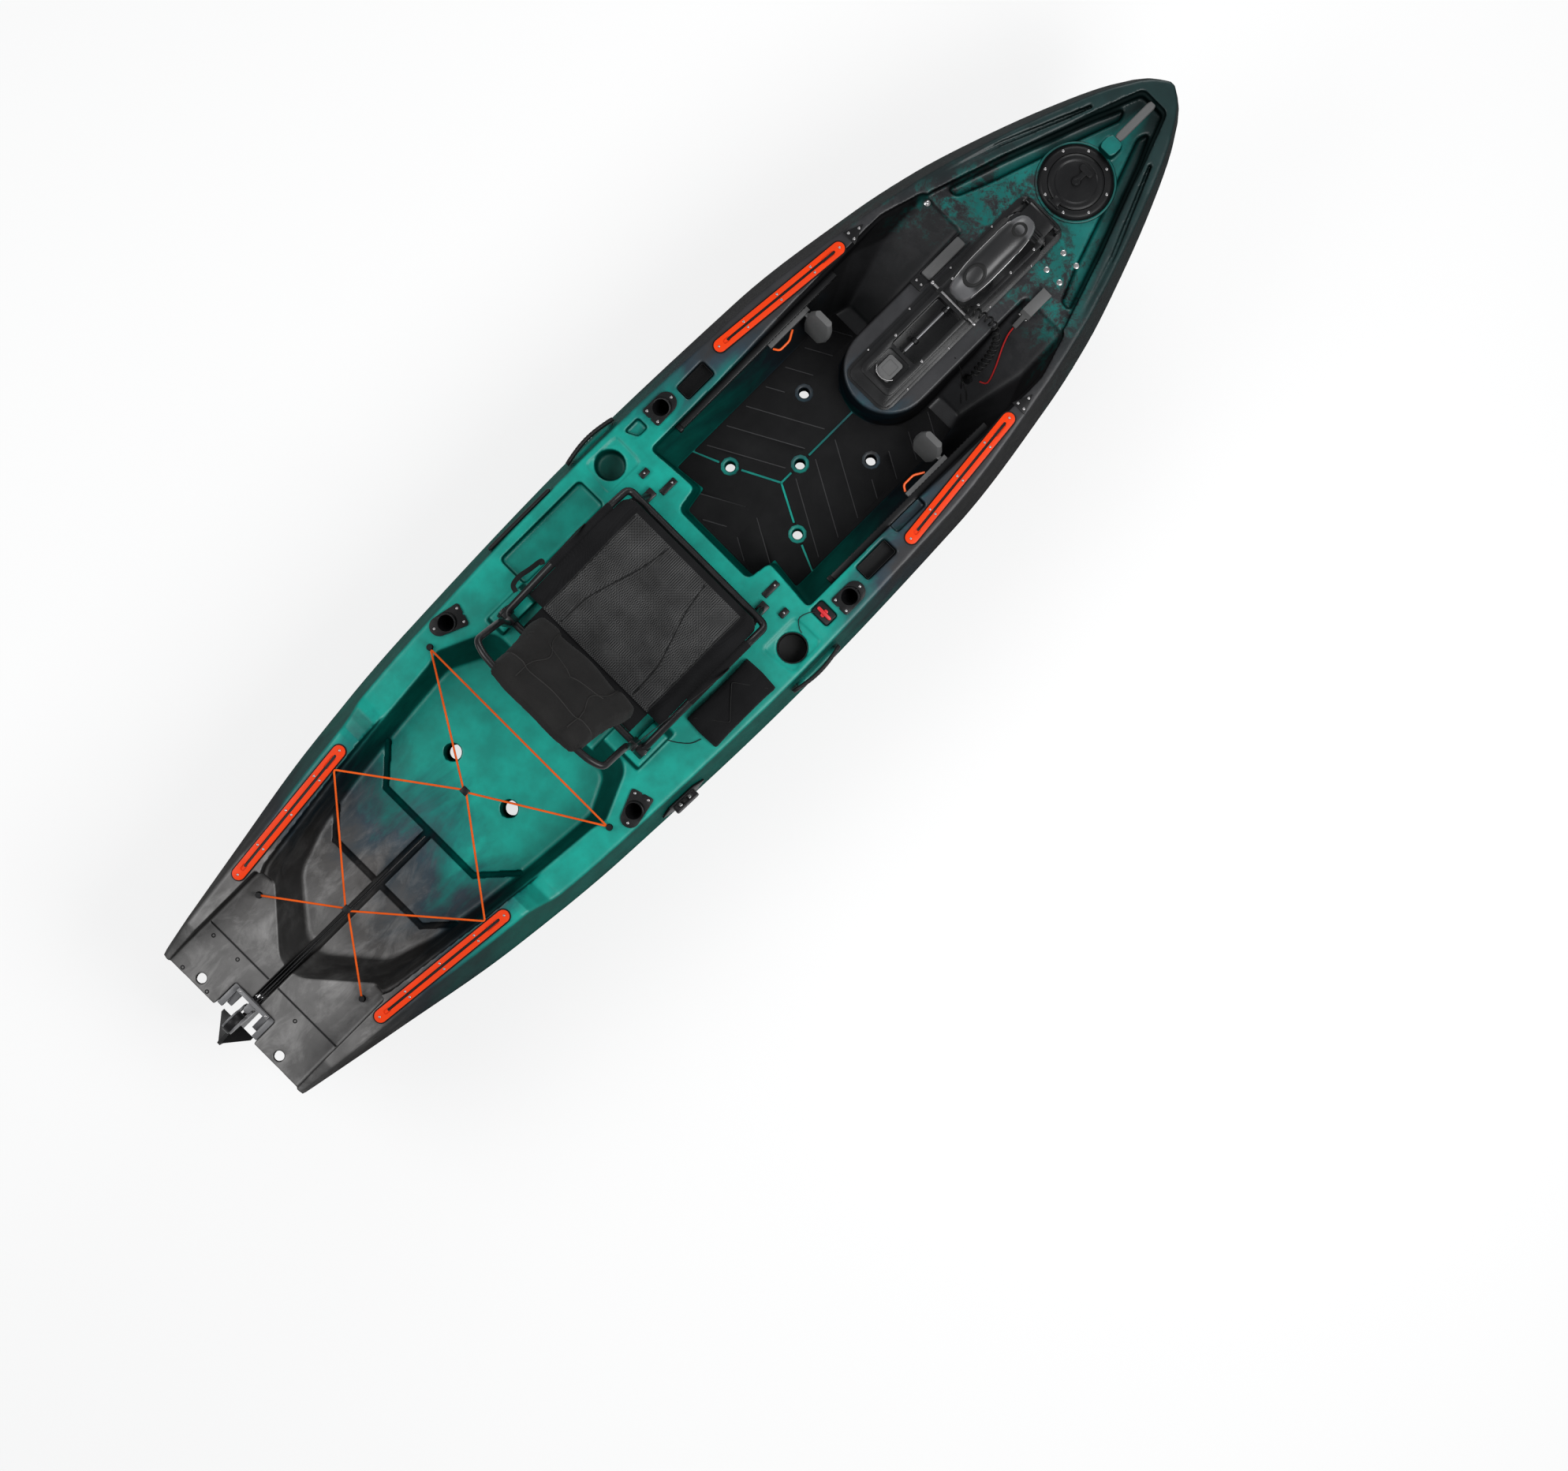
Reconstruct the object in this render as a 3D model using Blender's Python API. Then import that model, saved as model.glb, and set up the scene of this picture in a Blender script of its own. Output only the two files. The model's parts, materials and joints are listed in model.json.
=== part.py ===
# Motorized fishing kayak: a rotomoulded sit-on-top hull with a seat, a rudder and an electric
# drive that steers, lifts and tips up through a well between the legs.
# Metres, +X to the bow, +Y to port, +Z up. Station u is measured from the transom; z = 0 is the
# lowest point of the hull's bottom.

import math

import bmesh
import bpy
import numpy as np
from mathutils import Matrix, Vector

# Hull size
LENGTH = 3.66
BEAM = 0.914
WALL = 0.006
GAP = 0.0003
EDGE_RADIUS = 0.012

# Deck levels
DECK_Z = 0.358
STERN_RAIL_Z = 0.420
PLATFORM_Z = 0.325
CONSOLE_Z = 0.368
TANK_FLOOR_Z = 0.200
FOOTWELL_FLOOR_Z = 0.130
UNDER_SEAT_Z = 0.250
FORWARD_SLOPE = 0.045

# Wells and pockets
PLATFORM_HALF = BEAM / 2 - 0.207
PLATFORM_SEAM_U = 0.160
PLATFORM_STEP = 0.003
SCUPPER_R = 0.015
FOOTWELL_AFT_U = 1.880
FOOTWELL_HALF = BEAM / 2 - 0.149
FOOTWELL_SHELF_Z = 0.270
RAMP_TOE_U = 2.640
RAMP_HEAD_U = 2.970
CONSOLE_HALF = 0.128
CONSOLE_AFT_U = 2.437
CUP_U = 1.833
CUP_INBOARD = 0.10057
CUP_R = 0.043
CUP_DEPTH = 0.090
MAT_THICKNESS = 0.006

# Drive
HINGE_U = 3.155
HINGE_Z = 0.392
WELL_AFT_U = 2.476
WELL_FORE_U = 3.128
WELL_HALF = 0.069
TRAY_WALL = 0.003
TRAY_FLANGE = 0.012
TRAY_THICKNESS = 0.005
SHAFT_U = 2.9155
SHAFT_R = 0.0130
SHAFT_CLEARANCE = 0.0006
CARRIAGE_HALF = 0.058
CARRIAGE_Z0 = 0.338
CARRIAGE_Z1 = 0.3885
RELEASE_U = SHAFT_U - 0.1035
RELEASE_RISE = 0.012
COLLAR_R = 0.038
COLLAR_HEIGHT = 0.037
HEAD_BASE_Z = 0.548
HEAD_WIDTH = 0.085
STRUT_TOP_Z = -0.0175
UNIT_Z = -0.0955
UNIT_R = 0.0385
UNIT_AFT_U = SHAFT_U - 0.1755
UNIT_NOSE_U = SHAFT_U + 0.1235
PROP_R = 0.1095
PROP_HUB_R = 0.034
PROP_HUB_LENGTH = 0.036

# Rudder
NOTCH_U = 0.090
NOTCH_HALF = 0.077
RUDDER_PIN_U = 0.060
RUDDER_PIN_R = 0.005
RUDDER_LIFT_U = 0.014
RUDDER_LIFT_Z = 0.362
RUDDER_DISC_R = 0.034
RUDDER_THICKNESS = 0.020
RUDDER_BOTTOM_Z = -0.112

# Fittings; those ahead of the cups keep their distance from them
FRONT_HOLDER_U = CUP_U + 0.214
FRONT_RAIL_U = FRONT_HOLDER_U + 0.215
FRONT_RAIL_END_U = FRONT_RAIL_U + 0.453
RAIL_WIDTH = 0.036
RAIL_THICKNESS = 0.008
ROD_TUBE_R = 0.0245
ROD_BORE_R = 0.0215
ROD_TUBE_LENGTH = 0.180
ROD_TILT = math.radians(20)
HATCH_U = 3.290
HATCH_RING_R = 0.105
HATCH_HOLE_R = 0.084
HATCH_LID_R = 0.078
BUNGEE_R = 0.003
TRACK_START_U = 2.050
TRACK_END_U = 2.650
TRACK_Z = 0.300
TRACK_HEIGHT = 0.034
TRACK_DEPTH = 0.020

# Seat
SEAT_PIVOT_U = 1.341
SEAT_PIVOT_Z = 0.414
SEAT_HALF = 0.265
SEAT_TUBE_R = 0.011
RISER_Z = 0.395

# Faired lines of the hull: station u and value
BEAM_SHARES = [(0, 0.595186), (0.3, 0.722101), (0.7, 0.875274), (1.1, 0.956236), (1.75, 1.0),
               (2.4, 0.956236), (2.8, 0.833698), (3.0, 0.733042), (3.2, 0.586433), (3.4, 0.415755),
               (3.55, 0.256018), (3.64, 0.105033), (LENGTH, 0.026258)]
HALF_BEAM = [(station, share * BEAM / 2) for station, share in BEAM_SHARES]
TUMBLEHOME = [(0, 0.004), (0.127, 0.012), (0.3, 0.025), (0.5, 0.042), (0.8, 0.048), (0.9, 0.032),
              (2.8, 0.030), (3.2, 0.020), (3.55, 0.010), (LENGTH, 0.004)]
KEEL_Z = [(0, 0.150), (0.2, 0.133), (0.4, 0.098), (0.7, 0.050), (1.0, 0.026), (1.5, 0.009),
          (2.0, 0.0), (2.3, 0.005), (2.7, 0.025), (3.05, 0.055), (3.27, 0.068), (LENGTH, 0.055)]
CREASE_Z = [(0, 0.315), (0.3, 0.295), (0.7, 0.260), (1.1, 0.237), (1.5, 0.230), (2.0, 0.240),
            (2.5, 0.265), (2.8, 0.288), (3.0, 0.310), (3.2, 0.342), (3.4, 0.365), (LENGTH, 0.400)]
SHEER_Z = [(0, 0.330), (0.127, STERN_RAIL_Z), (0.81, STERN_RAIL_Z), (0.87, 0.368), (0.92, DECK_Z),
           (2.105, DECK_Z), (2.2, 0.361), (2.8, 0.388), (3.0, 0.396), (3.3, 0.408), (3.4, 0.412),
           (3.54, 0.428), (LENGTH, 0.430)]
TRANSOM_U = [(0.145, 0.090), (0.195, 0.085), (0.245, 0.058), (0.315, 0.002), (0.330, 0.0)]
STEM_U = [(0.050, 3.450), (0.070, 3.500), (0.145, 3.550), (0.235, 3.600), (0.345, 3.640),
          (0.430, LENGTH)]
STATIONS = [0, 0.127, 0.3, 0.5, 0.68, 0.81, 0.87, 0.92, 1.1, 1.4, 1.75, 2.105, 2.2, 2.4, 2.6, 2.8,
            3.0, 3.15, 3.3, 3.4, 3.47, 3.54, 3.6, 3.64, LENGTH]

# Fullness of the bottom: fractions of half beam and of height from keel to crease
MIDSHIP_SECTION = [(0.08, 0.0), (0.34, 0.12), (0.62, 0.06), (0.82, 0.18), (0.94, 0.50), (1.0, 1.0)]
BOW_SECTION = [(0.04, 0.0), (0.14, 0.22), (0.27, 0.42), (0.45, 0.62), (0.70, 0.83), (1.0, 1.0)]

COLOURS = {
    "hull_teal": ((0.0, 0.38, 0.34), 0.45, 0.0),
    "black_plastic": ((0.015, 0.015, 0.017), 0.45, 0.0),
    "black_foam": ((0.012, 0.012, 0.013), 0.85, 0.0),
    "orange_plastic": ((1.0, 0.09, 0.0), 0.40, 0.0),
    "orange_cord": ((0.9, 0.16, 0.02), 0.80, 0.0),
    "white_metal": ((0.78, 0.78, 0.78), 0.35, 0.0),
    "black_metal": ((0.02, 0.02, 0.022), 0.35, 0.6),
    "grey_plastic": ((0.16, 0.16, 0.16), 0.50, 0.0),
    "grey_mesh": ((0.07, 0.07, 0.07), 0.90, 0.0),
    "black_fabric": ((0.012, 0.012, 0.014), 0.85, 0.0),
    "red_plastic": ((0.75, 0.01, 0.02), 0.40, 0.0),
    "red_wire": ((0.6, 0.02, 0.02), 0.50, 0.0),
    "black_rubber": ((0.02, 0.02, 0.02), 0.70, 0.0),
    "steel": ((0.60, 0.60, 0.62), 0.30, 1.0),
}


def clear_scene():
    for item in list(bpy.data.objects):
        bpy.data.objects.remove(item, do_unlink=True)


def material(name):
    found = bpy.data.materials.get(name)
    if found:
        return found
    made = bpy.data.materials.new(name)
    made.use_nodes = True
    colour, roughness, metallic = COLOURS[name]
    shader = made.node_tree.nodes["Principled BSDF"]
    shader.inputs["Base Color"].default_value = (*colour, 1.0)
    shader.inputs["Roughness"].default_value = roughness
    shader.inputs["Metallic"].default_value = metallic
    made.diffuse_color = (*colour, 1.0)
    return made


def x_at(u):
    return u - LENGTH / 2


def point(u, v, z):
    return Vector((x_at(u), v, z))


def inboard(u, distance):
    """The v of a place that lies the distance inside the hull's widest line."""
    return faired(HALF_BEAM, u) - distance


def faired(rows, u):
    """A smooth curve through the rows that never overshoots them."""
    us = [row[0] for row in rows]
    vs = [row[1] for row in rows]
    if u <= us[0]:
        return vs[0]
    if u >= us[-1]:
        return vs[-1]
    steps = [(b - a) / (d - c) for a, b, c, d in zip(vs, vs[1:], us, us[1:])]
    slopes = [steps[0]]
    for before, after in zip(steps, steps[1:]):
        slopes.append(2 * before * after / (before + after) if before * after > 0 else 0.0)
    slopes.append(steps[-1])
    i = max(n for n, start in enumerate(us[:-1]) if start <= u)
    span = us[i + 1] - us[i]
    t = (u - us[i]) / span
    return (vs[i] * (1 + 2 * t) * (1 - t) ** 2 + slopes[i] * span * t * (1 - t) ** 2
            + vs[i + 1] * t * t * (3 - 2 * t) + slopes[i + 1] * span * t * t * (t - 1))


def straight(rows, u):
    return float(np.interp(u, [row[0] for row in rows], [row[1] for row in rows]))


def new_object(name, mesh, colour=None):
    made = bpy.data.objects.new(name, mesh)
    bpy.context.scene.collection.objects.link(made)
    if colour:
        made.data.materials.clear()
        made.data.materials.append(material(colour))
    return made


def bent(face):
    corners = [corner.co for corner in face.verts]
    return max(abs((c - corners[0]).dot(face.normal)) for c in corners) > 1e-6


def mesh_from(name, points, faces, colour=None):
    built = bmesh.new()
    corners = [built.verts.new(p) for p in points]
    for face in faces:
        built.faces.new([corners[i] for i in face])
    built.normal_update()
    bmesh.ops.triangulate(built, faces=[f for f in built.faces if len(f.verts) > 4 or bent(f)])
    bmesh.ops.recalc_face_normals(built, faces=built.faces)
    mesh = bpy.data.meshes.new(name)
    built.to_mesh(mesh)
    built.free()
    return new_object(name, mesh, colour)


def loft(name, rings, colour=None):
    """A closed body through rings that have the same number of points."""
    count = len(rings[0])
    points = [p for ring in rings for p in ring]
    faces = [list(range(count)), list(range((len(rings) - 1) * count, len(rings) * count))]
    for row in range(len(rings) - 1):
        for i in range(count):
            j = (i + 1) % count
            low, high = row * count, (row + 1) * count
            faces.append([low + i, low + j, high + j, high + i])
    return mesh_from(name, points, faces, colour)


def prism(name, outline, z0, z1, colour=None):
    return loft(name, [[point(u, v, z) for u, v in outline] for z in (z0, z1)], colour)


def side_prism(name, outline, v0, v1, colour=None):
    """An outline of station and height, extruded across the hull."""
    return loft(name, [[point(u, v, z) for u, z in outline] for v in (v0, v1)], colour)


def box(name, u0, u1, v0, v1, z0, z1, colour=None):
    return prism(name, [(u0, v0), (u1, v0), (u1, v1), (u0, v1)], z0, z1, colour)


def cylinder(name, start, end, radius, sides=20, colour=None, end_radius=None):
    start, end = Vector(start), Vector(end)
    axis = (end - start).normalized()
    across = axis.orthogonal().normalized()
    other = axis.cross(across)
    rings = []
    for centre, r in ((start, radius), (end, radius if end_radius is None else end_radius)):
        turns = [2 * math.pi * i / sides for i in range(sides)]
        rings.append([centre + across * r * math.cos(a) + other * r * math.sin(a) for a in turns])
    return loft(name, rings, colour)


def turned(name, profile, centre, axis, sides=24, colour=None):
    """A solid of revolution: profile rows are (distance along the axis, radius)."""
    axis = Vector(axis).normalized()
    across = axis.orthogonal().normalized()
    other = axis.cross(across)
    rings = []
    for along, r in profile:
        turns = [2 * math.pi * i / sides for i in range(sides)]
        middle = Vector(centre) + axis * along
        rings.append([middle + across * r * math.cos(a) + other * r * math.sin(a) for a in turns])
    return loft(name, rings, colour)


def tube(name, route, radius, colour, resolution=2, cyclic=False):
    """A round tube along a list of points, as a curve with filled ends."""
    curve = bpy.data.curves.new(name, "CURVE")
    curve.dimensions = "3D"
    curve.bevel_depth = radius
    curve.bevel_resolution = resolution
    curve.use_fill_caps = True
    spline = curve.splines.new("POLY")
    spline.points.add(len(route) - 1)
    for spot, p in zip(spline.points, route):
        spot.co = (*p, 1.0)
    spline.use_cyclic_u = cyclic
    curve.materials.append(material(colour))
    return new_object(name, curve)


def smooth_route(spots, per_span):
    """Points on a smooth curve through chosen spots."""
    spots = [Vector(s) for s in spots]
    padded = [2 * spots[0] - spots[1], *spots, 2 * spots[-1] - spots[-2]]
    route = []
    for a, b, c, d in zip(padded, padded[1:], padded[2:], padded[3:]):
        for step in range(per_span):
            t = step / per_span
            route.append(0.5 * (2 * b + (c - a) * t + (2 * a - 5 * b + 4 * c - d) * t * t
                                + (3 * b - a - 3 * c + d) * t ** 3))
    route.append(spots[-1])
    return route


def applied(target):
    graph = bpy.context.evaluated_depsgraph_get()
    mesh = bpy.data.meshes.new_from_object(target.evaluated_get(graph))
    target.modifiers.clear()
    if target.type == "MESH":
        target.data = mesh
        return target
    name = target.name
    bpy.data.objects.remove(target)
    return new_object(name, mesh)


def combine(target, tool, operation):
    step = target.modifiers.new("shape", "BOOLEAN")
    step.operation = operation
    step.solver = "EXACT"
    step.object = tool
    applied(target)
    bpy.data.objects.remove(tool)
    return target


def cut(target, *tools):
    for tool in tools:
        combine(target, tool, "DIFFERENCE")
    return target


def fuse(target, *tools):
    for tool in tools:
        combine(target, tool, "UNION")
    return target


def bevelled(target, width, segments=1, angle=35):
    step = target.modifiers.new("edges", "BEVEL")
    step.width = width
    step.segments = segments
    step.limit_method = "ANGLE"
    step.angle_limit = math.radians(angle)
    step.use_clamp_overlap = True
    return applied(target)


def placed(target, turn):
    target.data.transform(turn)
    return target


def origin_at(target, spot):
    """Moves an object's origin onto its joint's axis, with the piece left where it is."""
    target.data.transform(Matrix.Translation(-Vector(spot)))
    target.location = spot
    return target


def smooth(target, angle=35):
    target.data.shade_smooth()
    target.data.set_sharp_from_angle(angle=math.radians(angle))
    return target


def arc(centre_u, centre_v, radius, start, end, steps):
    turns = [math.radians(start + (end - start) * i / steps) for i in range(steps + 1)]
    return [(centre_u + radius * math.cos(a), centre_v + radius * math.sin(a)) for a in turns]


def rounded_outline(u0, u1, v0, v1, radius, steps=3):
    return (arc(u1 - radius, v1 - radius, radius, 0, 90, steps)
            + arc(u0 + radius, v1 - radius, radius, 90, 180, steps)
            + arc(u0 + radius, v0 + radius, radius, 180, 270, steps)
            + arc(u1 - radius, v0 + radius, radius, 270, 360, steps))


def grown(outline, distance):
    """The outline with each side moved outwards by the distance."""
    if distance == 0:
        return outline
    area = sum(a[0] * b[1] - b[0] * a[1] for a, b in zip(outline, outline[1:] + outline[:1]))
    side = math.copysign(1, area)
    moved = []
    for i, here in enumerate(outline):
        before = Vector(here) - Vector(outline[i - 1])
        after = Vector(outline[(i + 1) % len(outline)]) - Vector(here)
        first = Vector((before.y, -before.x)).normalized() * side
        second = Vector((after.y, -after.x)).normalized() * side
        both = (first + second).normalized()
        moved.append(tuple(Vector(here) + both * distance / max(both.dot(first), 0.4)))
    return moved


def stripe(start, end, half_width):
    """The outline of a straight band between two points, with its ends run on a little."""
    along = (Vector(end) - Vector(start)).normalized() * half_width
    across = Vector((-along.y, along.x))
    start, end = Vector(start) - along, Vector(end) + along
    return [tuple(start - across), tuple(end - across), tuple(end + across), tuple(start + across)]


def mirrored(half):
    """A closed outline from its port half."""
    return half + [(u, -v) for u, v in reversed(half) if v > 1e-6]


def section(u):
    """Half of the cross-section at a station, keel to middle of the deck."""
    half = faired(HALF_BEAM, u)
    top = straight(SHEER_Z, u)
    keel, crease = faired(KEEL_Z, u), faired(CREASE_Z, u)
    sharp = min(max((u - 2.3) / 1.2, 0), 1)
    sharp = sharp * sharp * (3 - 2 * sharp)
    rows = [(0, keel)]
    for full, fine in zip(MIDSHIP_SECTION, BOW_SECTION):
        across = full[0] + (fine[0] - full[0]) * sharp
        up = full[1] + (fine[1] - full[1]) * sharp
        rows.append((half * across, keel + (crease - keel) * up))
    edge = half - faired(TUMBLEHOME, u)
    radius = min(EDGE_RADIUS, edge * 0.5)
    rows.append(((half + edge) / 2 + 0.003, (crease + top) / 2))
    rows.append((edge, top - radius))
    rows.append((edge - 0.3 * radius, top - 0.3 * radius))
    rows.append((edge - radius, top))
    rows.append((0, top))
    return rows


def hull_ring(u, inset=0.0, shift=0.0):
    half = section(u)
    outline = half + [(-v, z) for v, z in reversed(half) if v > 1e-6]
    outline = grown(outline, -inset)
    stern = max(0.0, 1 - u / STATIONS[1])
    bow = max(0.0, (u - 3.1) / (LENGTH - 3.1)) ** 2
    ring = []
    for v, z in outline:
        moved = stern * straight(TRANSOM_U, z) - bow * (LENGTH - faired(STEM_U, z))
        ring.append(point(u + moved + shift, v, z))
    return ring


# The tank well's outline: its aft point, then station and distance inside the widest line
TANK_RIM = [(0.190, 0.020)] + [(u, inboard(u, d)) for u, d in (
    (0.370, 0.10821), (0.500, 0.11613), (0.700, 0.12200), (0.900, 0.12224), (1.100, 0.11900),
    (1.130, 0.10838), (1.265, 0.17445), (1.285, 0.20531))]
TANK_FLOOR = [(0.305, 0.012)] + [(u, inboard(u, d)) for u, d in (
    (0.420, 0.17787), (0.550, 0.15522), (0.700, 0.15200), (0.900, 0.15224), (1.080, 0.15101),
    (1.110, 0.15246), (1.200, 0.20158), (1.215, 0.22725))]


def footwell_outline(level):
    """The U-shaped well round the console, at the floor, the shelf or the deck."""
    climb = (level - FOOTWELL_FLOOR_Z) / (CONSOLE_Z - FOOTWELL_FLOOR_Z)
    on_floor = level <= FOOTWELL_FLOOR_Z
    aft = FOOTWELL_AFT_U + 0.020 * (1 - climb)
    side = FOOTWELL_HALF - (0.066 if on_floor else 0.0)
    front = RAMP_TOE_U + (RAMP_HEAD_U - RAMP_TOE_U) * climb
    inner = CONSOLE_HALF + 0.007 * (1 - climb)
    bend = CONSOLE_AFT_U + CONSOLE_HALF
    half = [(aft, 0.0), (aft, 0.134), (aft + 0.074, 0.146), (aft + 0.062, side),
            (2.50, side), (front - 0.130 + 0.05 * (1 - climb), side),
            (front, FOOTWELL_HALF - (0.083 if on_floor else 0.040)), (front, inner), (bend, inner)]
    return mirrored(half + arc(bend, 0.0, inner, 120, 180, 2))


def footwell(grow):
    levels = [FOOTWELL_FLOOR_Z, FOOTWELL_SHELF_Z, CONSOLE_Z]
    rings = []
    for n, level in enumerate(levels):
        drop = grow if n == 0 else 0.0
        rings.append([point(u, v, level - drop) for u, v in grown(footwell_outline(level), grow)])
    top = grown(footwell_outline(levels[-1]), grow)
    rings.append([point(u, v, 0.6) for u, v in top])
    return loft("footwell", rings)


def tank_well(grow):
    rings = [[point(u, v, TANK_FLOOR_Z - grow) for u, v in grown(mirrored(TANK_FLOOR), grow)]]
    for z in (PLATFORM_Z, 0.6):
        rings.append([point(u, v, z) for u, v in grown(mirrored(TANK_RIM), grow)])
    return loft("tank_well", rings)


def pocket(outline, floor, grow):
    return prism("pocket", grown(outline, grow), floor - grow, 0.6)


SCUPPERS = ([(0.030, side * 0.152) for side in (1, -1)] + [(0.955, side * 0.112) for side in (1, -1)]
            + [(2.075, side * 0.135) for side in (1, -1)] + [(2.370, side * 0.134) for side in (1, -1)]
            + [(2.220, 0.0)])
FOREDECK = [(2.925, 0.268), (2.985, 0.262), (3.200, 0.190), (3.450, 0.092), (3.585, 0.040)]
DECK_PITCH = math.atan2(FORWARD_SLOPE, 1.0)


def well_outline(clear=0.0):
    return rounded_outline(WELL_AFT_U + clear, WELL_FORE_U - clear, -WELL_HALF + clear,
                           WELL_HALF - clear, 0.030)


def switch_outline(clear):
    """The safety switch's recess beside the starboard cup, or the plate inside it."""
    out = inboard(CUP_U + 0.129, 0.07236)
    return rounded_outline(CUP_U + 0.107 + clear, CUP_U + 0.152 - clear, clear - out, 0.064 - out - clear,
                           0.006)


def paddle_ledge_v():
    return inboard(1.445, 0.02993)


def recesses(grow):
    """Everything hollowed out of the hull from outside, or the same grown by the wall."""
    yield prism("well", grown(well_outline(), grow), -0.2, 0.6)
    for aft, fore, floor in ((-0.10, PLATFORM_SEAM_U + 0.01, PLATFORM_Z),
                             (PLATFORM_SEAM_U, 0.36, PLATFORM_Z - PLATFORM_STEP)):
        yield pocket([(aft, -PLATFORM_HALF), (fore, -PLATFORM_HALF), (fore, PLATFORM_HALF),
                      (aft, PLATFORM_HALF)], floor, grow)
    yield tank_well(grow)
    yield pocket([(1.20, -0.165), (1.80, -0.165), (1.80, 0.165), (1.20, 0.165)], UNDER_SEAT_Z, grow)
    yield footwell(grow)
    yield pocket(mirrored([(CONSOLE_AFT_U - 0.01, 0.0), (CONSOLE_AFT_U - 0.01, 0.15), (2.60, 0.28),
                           (2.80, 0.28), (2.94, 0.268)]), CONSOLE_Z, grow)
    yield pocket(mirrored(FOREDECK), CONSOLE_Z, grow)
    yield box("notch", -0.1, NOTCH_U + grow, -NOTCH_HALF - grow, NOTCH_HALF + grow, -0.1, 0.6)
    middle = CUP_U + 0.007
    for side in (1, -1):
        centre = (CUP_U, side * inboard(CUP_U, CUP_INBOARD))
        cup = [point(*centre, DECK_Z - CUP_DEPTH - grow), point(*centre, 0.6)]
        yield cylinder("cup", *cup, CUP_R + grow, 16)
        hand = [(-0.070, 0.300), (-0.050, 0.287), (0.060, 0.287), (0.080, 0.300), (0.080, 0.326),
                (-0.070, 0.326)]
        hand = [(middle + a, z) for a, z in hand]
        outer = (side * (inboard(middle, 0.0385) - grow), side * 0.60)
        yield side_prism("hand_hold", grown(hand, grow), min(outer), max(outer))
    out = inboard(1.5885, 0.0693)
    yield pocket(rounded_outline(1.434, 1.743, out - 0.096, out, 0.012), DECK_Z - 0.030, grow)
    out = inboard(CUP_U + 0.117, 0.06063)
    yield pocket([(CUP_U + 0.092, out), (CUP_U + 0.112, out - 0.038), (CUP_U + 0.147, out - 0.038),
                  (CUP_U + 0.147, out)], DECK_Z - 0.025, grow)
    yield pocket(switch_outline(0.0), DECK_Z - 0.014, grow)
    aft = FRONT_HOLDER_U + 0.065
    out = inboard(aft + 0.051, 0.06986)
    yield pocket(rounded_outline(aft, aft + 0.103, out - 0.048, out, 0.006), DECK_Z - 0.050, grow)
    out = inboard(aft + 0.051, 0.07586)
    yield pocket(rounded_outline(aft, aft + 0.113, -out, 0.050 - out, 0.006), DECK_Z - 0.050, grow)
    yield box("paddle_ledge", 1.215 - grow, 1.675 + grow, paddle_ledge_v() - grow, 0.60,
              DECK_Z - 0.022 - grow, 0.6)
    for u, v in SCUPPERS:
        yield cylinder("scupper", point(u, v, -0.1), point(u, v, 0.6), SCUPPER_R + grow, 10)


def rod_holder_places():
    places = {}
    for side, word in ((1, "port"), (-1, "starboard")):
        places["rear_rod_holder_" + word] = (1.209, side * inboard(1.209, 0.07599))
        places["front_rod_holder_" + word] = (FRONT_HOLDER_U, side * inboard(FRONT_HOLDER_U, 0.08401))
    return places


def rod_axis():
    return Vector((math.sin(ROD_TILT), 0, -math.cos(ROD_TILT)))


def make_hull():
    hull = loft("hull", [hull_ring(u) for u in STATIONS], "hull_teal")
    forefoot = [(3.270, 0.085), (3.274, 0.024), (3.300, 0.018), (3.370, 0.018), (3.430, 0.030),
                (3.485, 0.070), (3.470, 0.110), (3.360, 0.110)]
    fuse(hull, side_prism("forefoot", forefoot, -0.020, 0.020))
    inner = [u for u in STATIONS if u <= 3.47]
    cavity = loft("cavity", [hull_ring(u, WALL, 0.012 if u == 0 else 0.0) for u in inner])
    for tool in recesses(0.0):
        cut(hull, tool)
    for tool in recesses(WALL):
        cut(cavity, tool)
    cut(hull, cavity)
    cut(hull, cylinder("hatch_hole", point(HATCH_U, 0, CONSOLE_Z - 0.03),
                       point(HATCH_U, 0, 0.6), HATCH_HOLE_R, 24))
    for u, v in rod_holder_places().values():
        top = point(u, v, DECK_Z)
        cut(hull, cylinder("rod_hole", top - rod_axis() * 0.04, top + rod_axis() * 0.03,
                           (ROD_TUBE_R + 2 * GAP) / math.cos(math.pi / 12), 12))
    for side in (1, -1):
        middle = side * (SEAT_HALF - 0.003)
        riser = [(1.290, DECK_Z - 0.004), (1.440, DECK_Z - 0.004), (1.415, RISER_Z), (1.300, RISER_Z)]
        fuse(hull, side_prism("riser", riser, middle - 0.030, middle + 0.030))
    fuse(hull, prism("handle_boss", rounded_outline(3.397, 3.447, -0.024, 0.024, 0.008),
                     CONSOLE_Z - 0.004, CONSOLE_Z + 0.052))
    return smooth(hull)


def keel_on_hull(u):
    """The keel's height between stations, where the faceted hull is straight."""
    rows = [(station, faired(KEEL_Z, station)) for station in STATIONS[1:]]
    return straight(rows, u)


def make_skeg():
    """The keel strip under the stern, below the hull's own keel line."""
    rings = []
    for u, low in ((0.127, 0.075), (0.150, 0.045), (0.170, 0.038), (0.3, 0.038), (0.5, 0.038), (0.68, 0.040)):
        top = keel_on_hull(u) - GAP
        wide = 0.5 * 0.022
        narrow = 0.5 * 0.014
        rings.append([point(u, wide, top), point(u, narrow, low), point(u, -narrow, low),
                      point(u, -wide, top)])
    return loft("stern_skeg", rings, "black_plastic")


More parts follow.
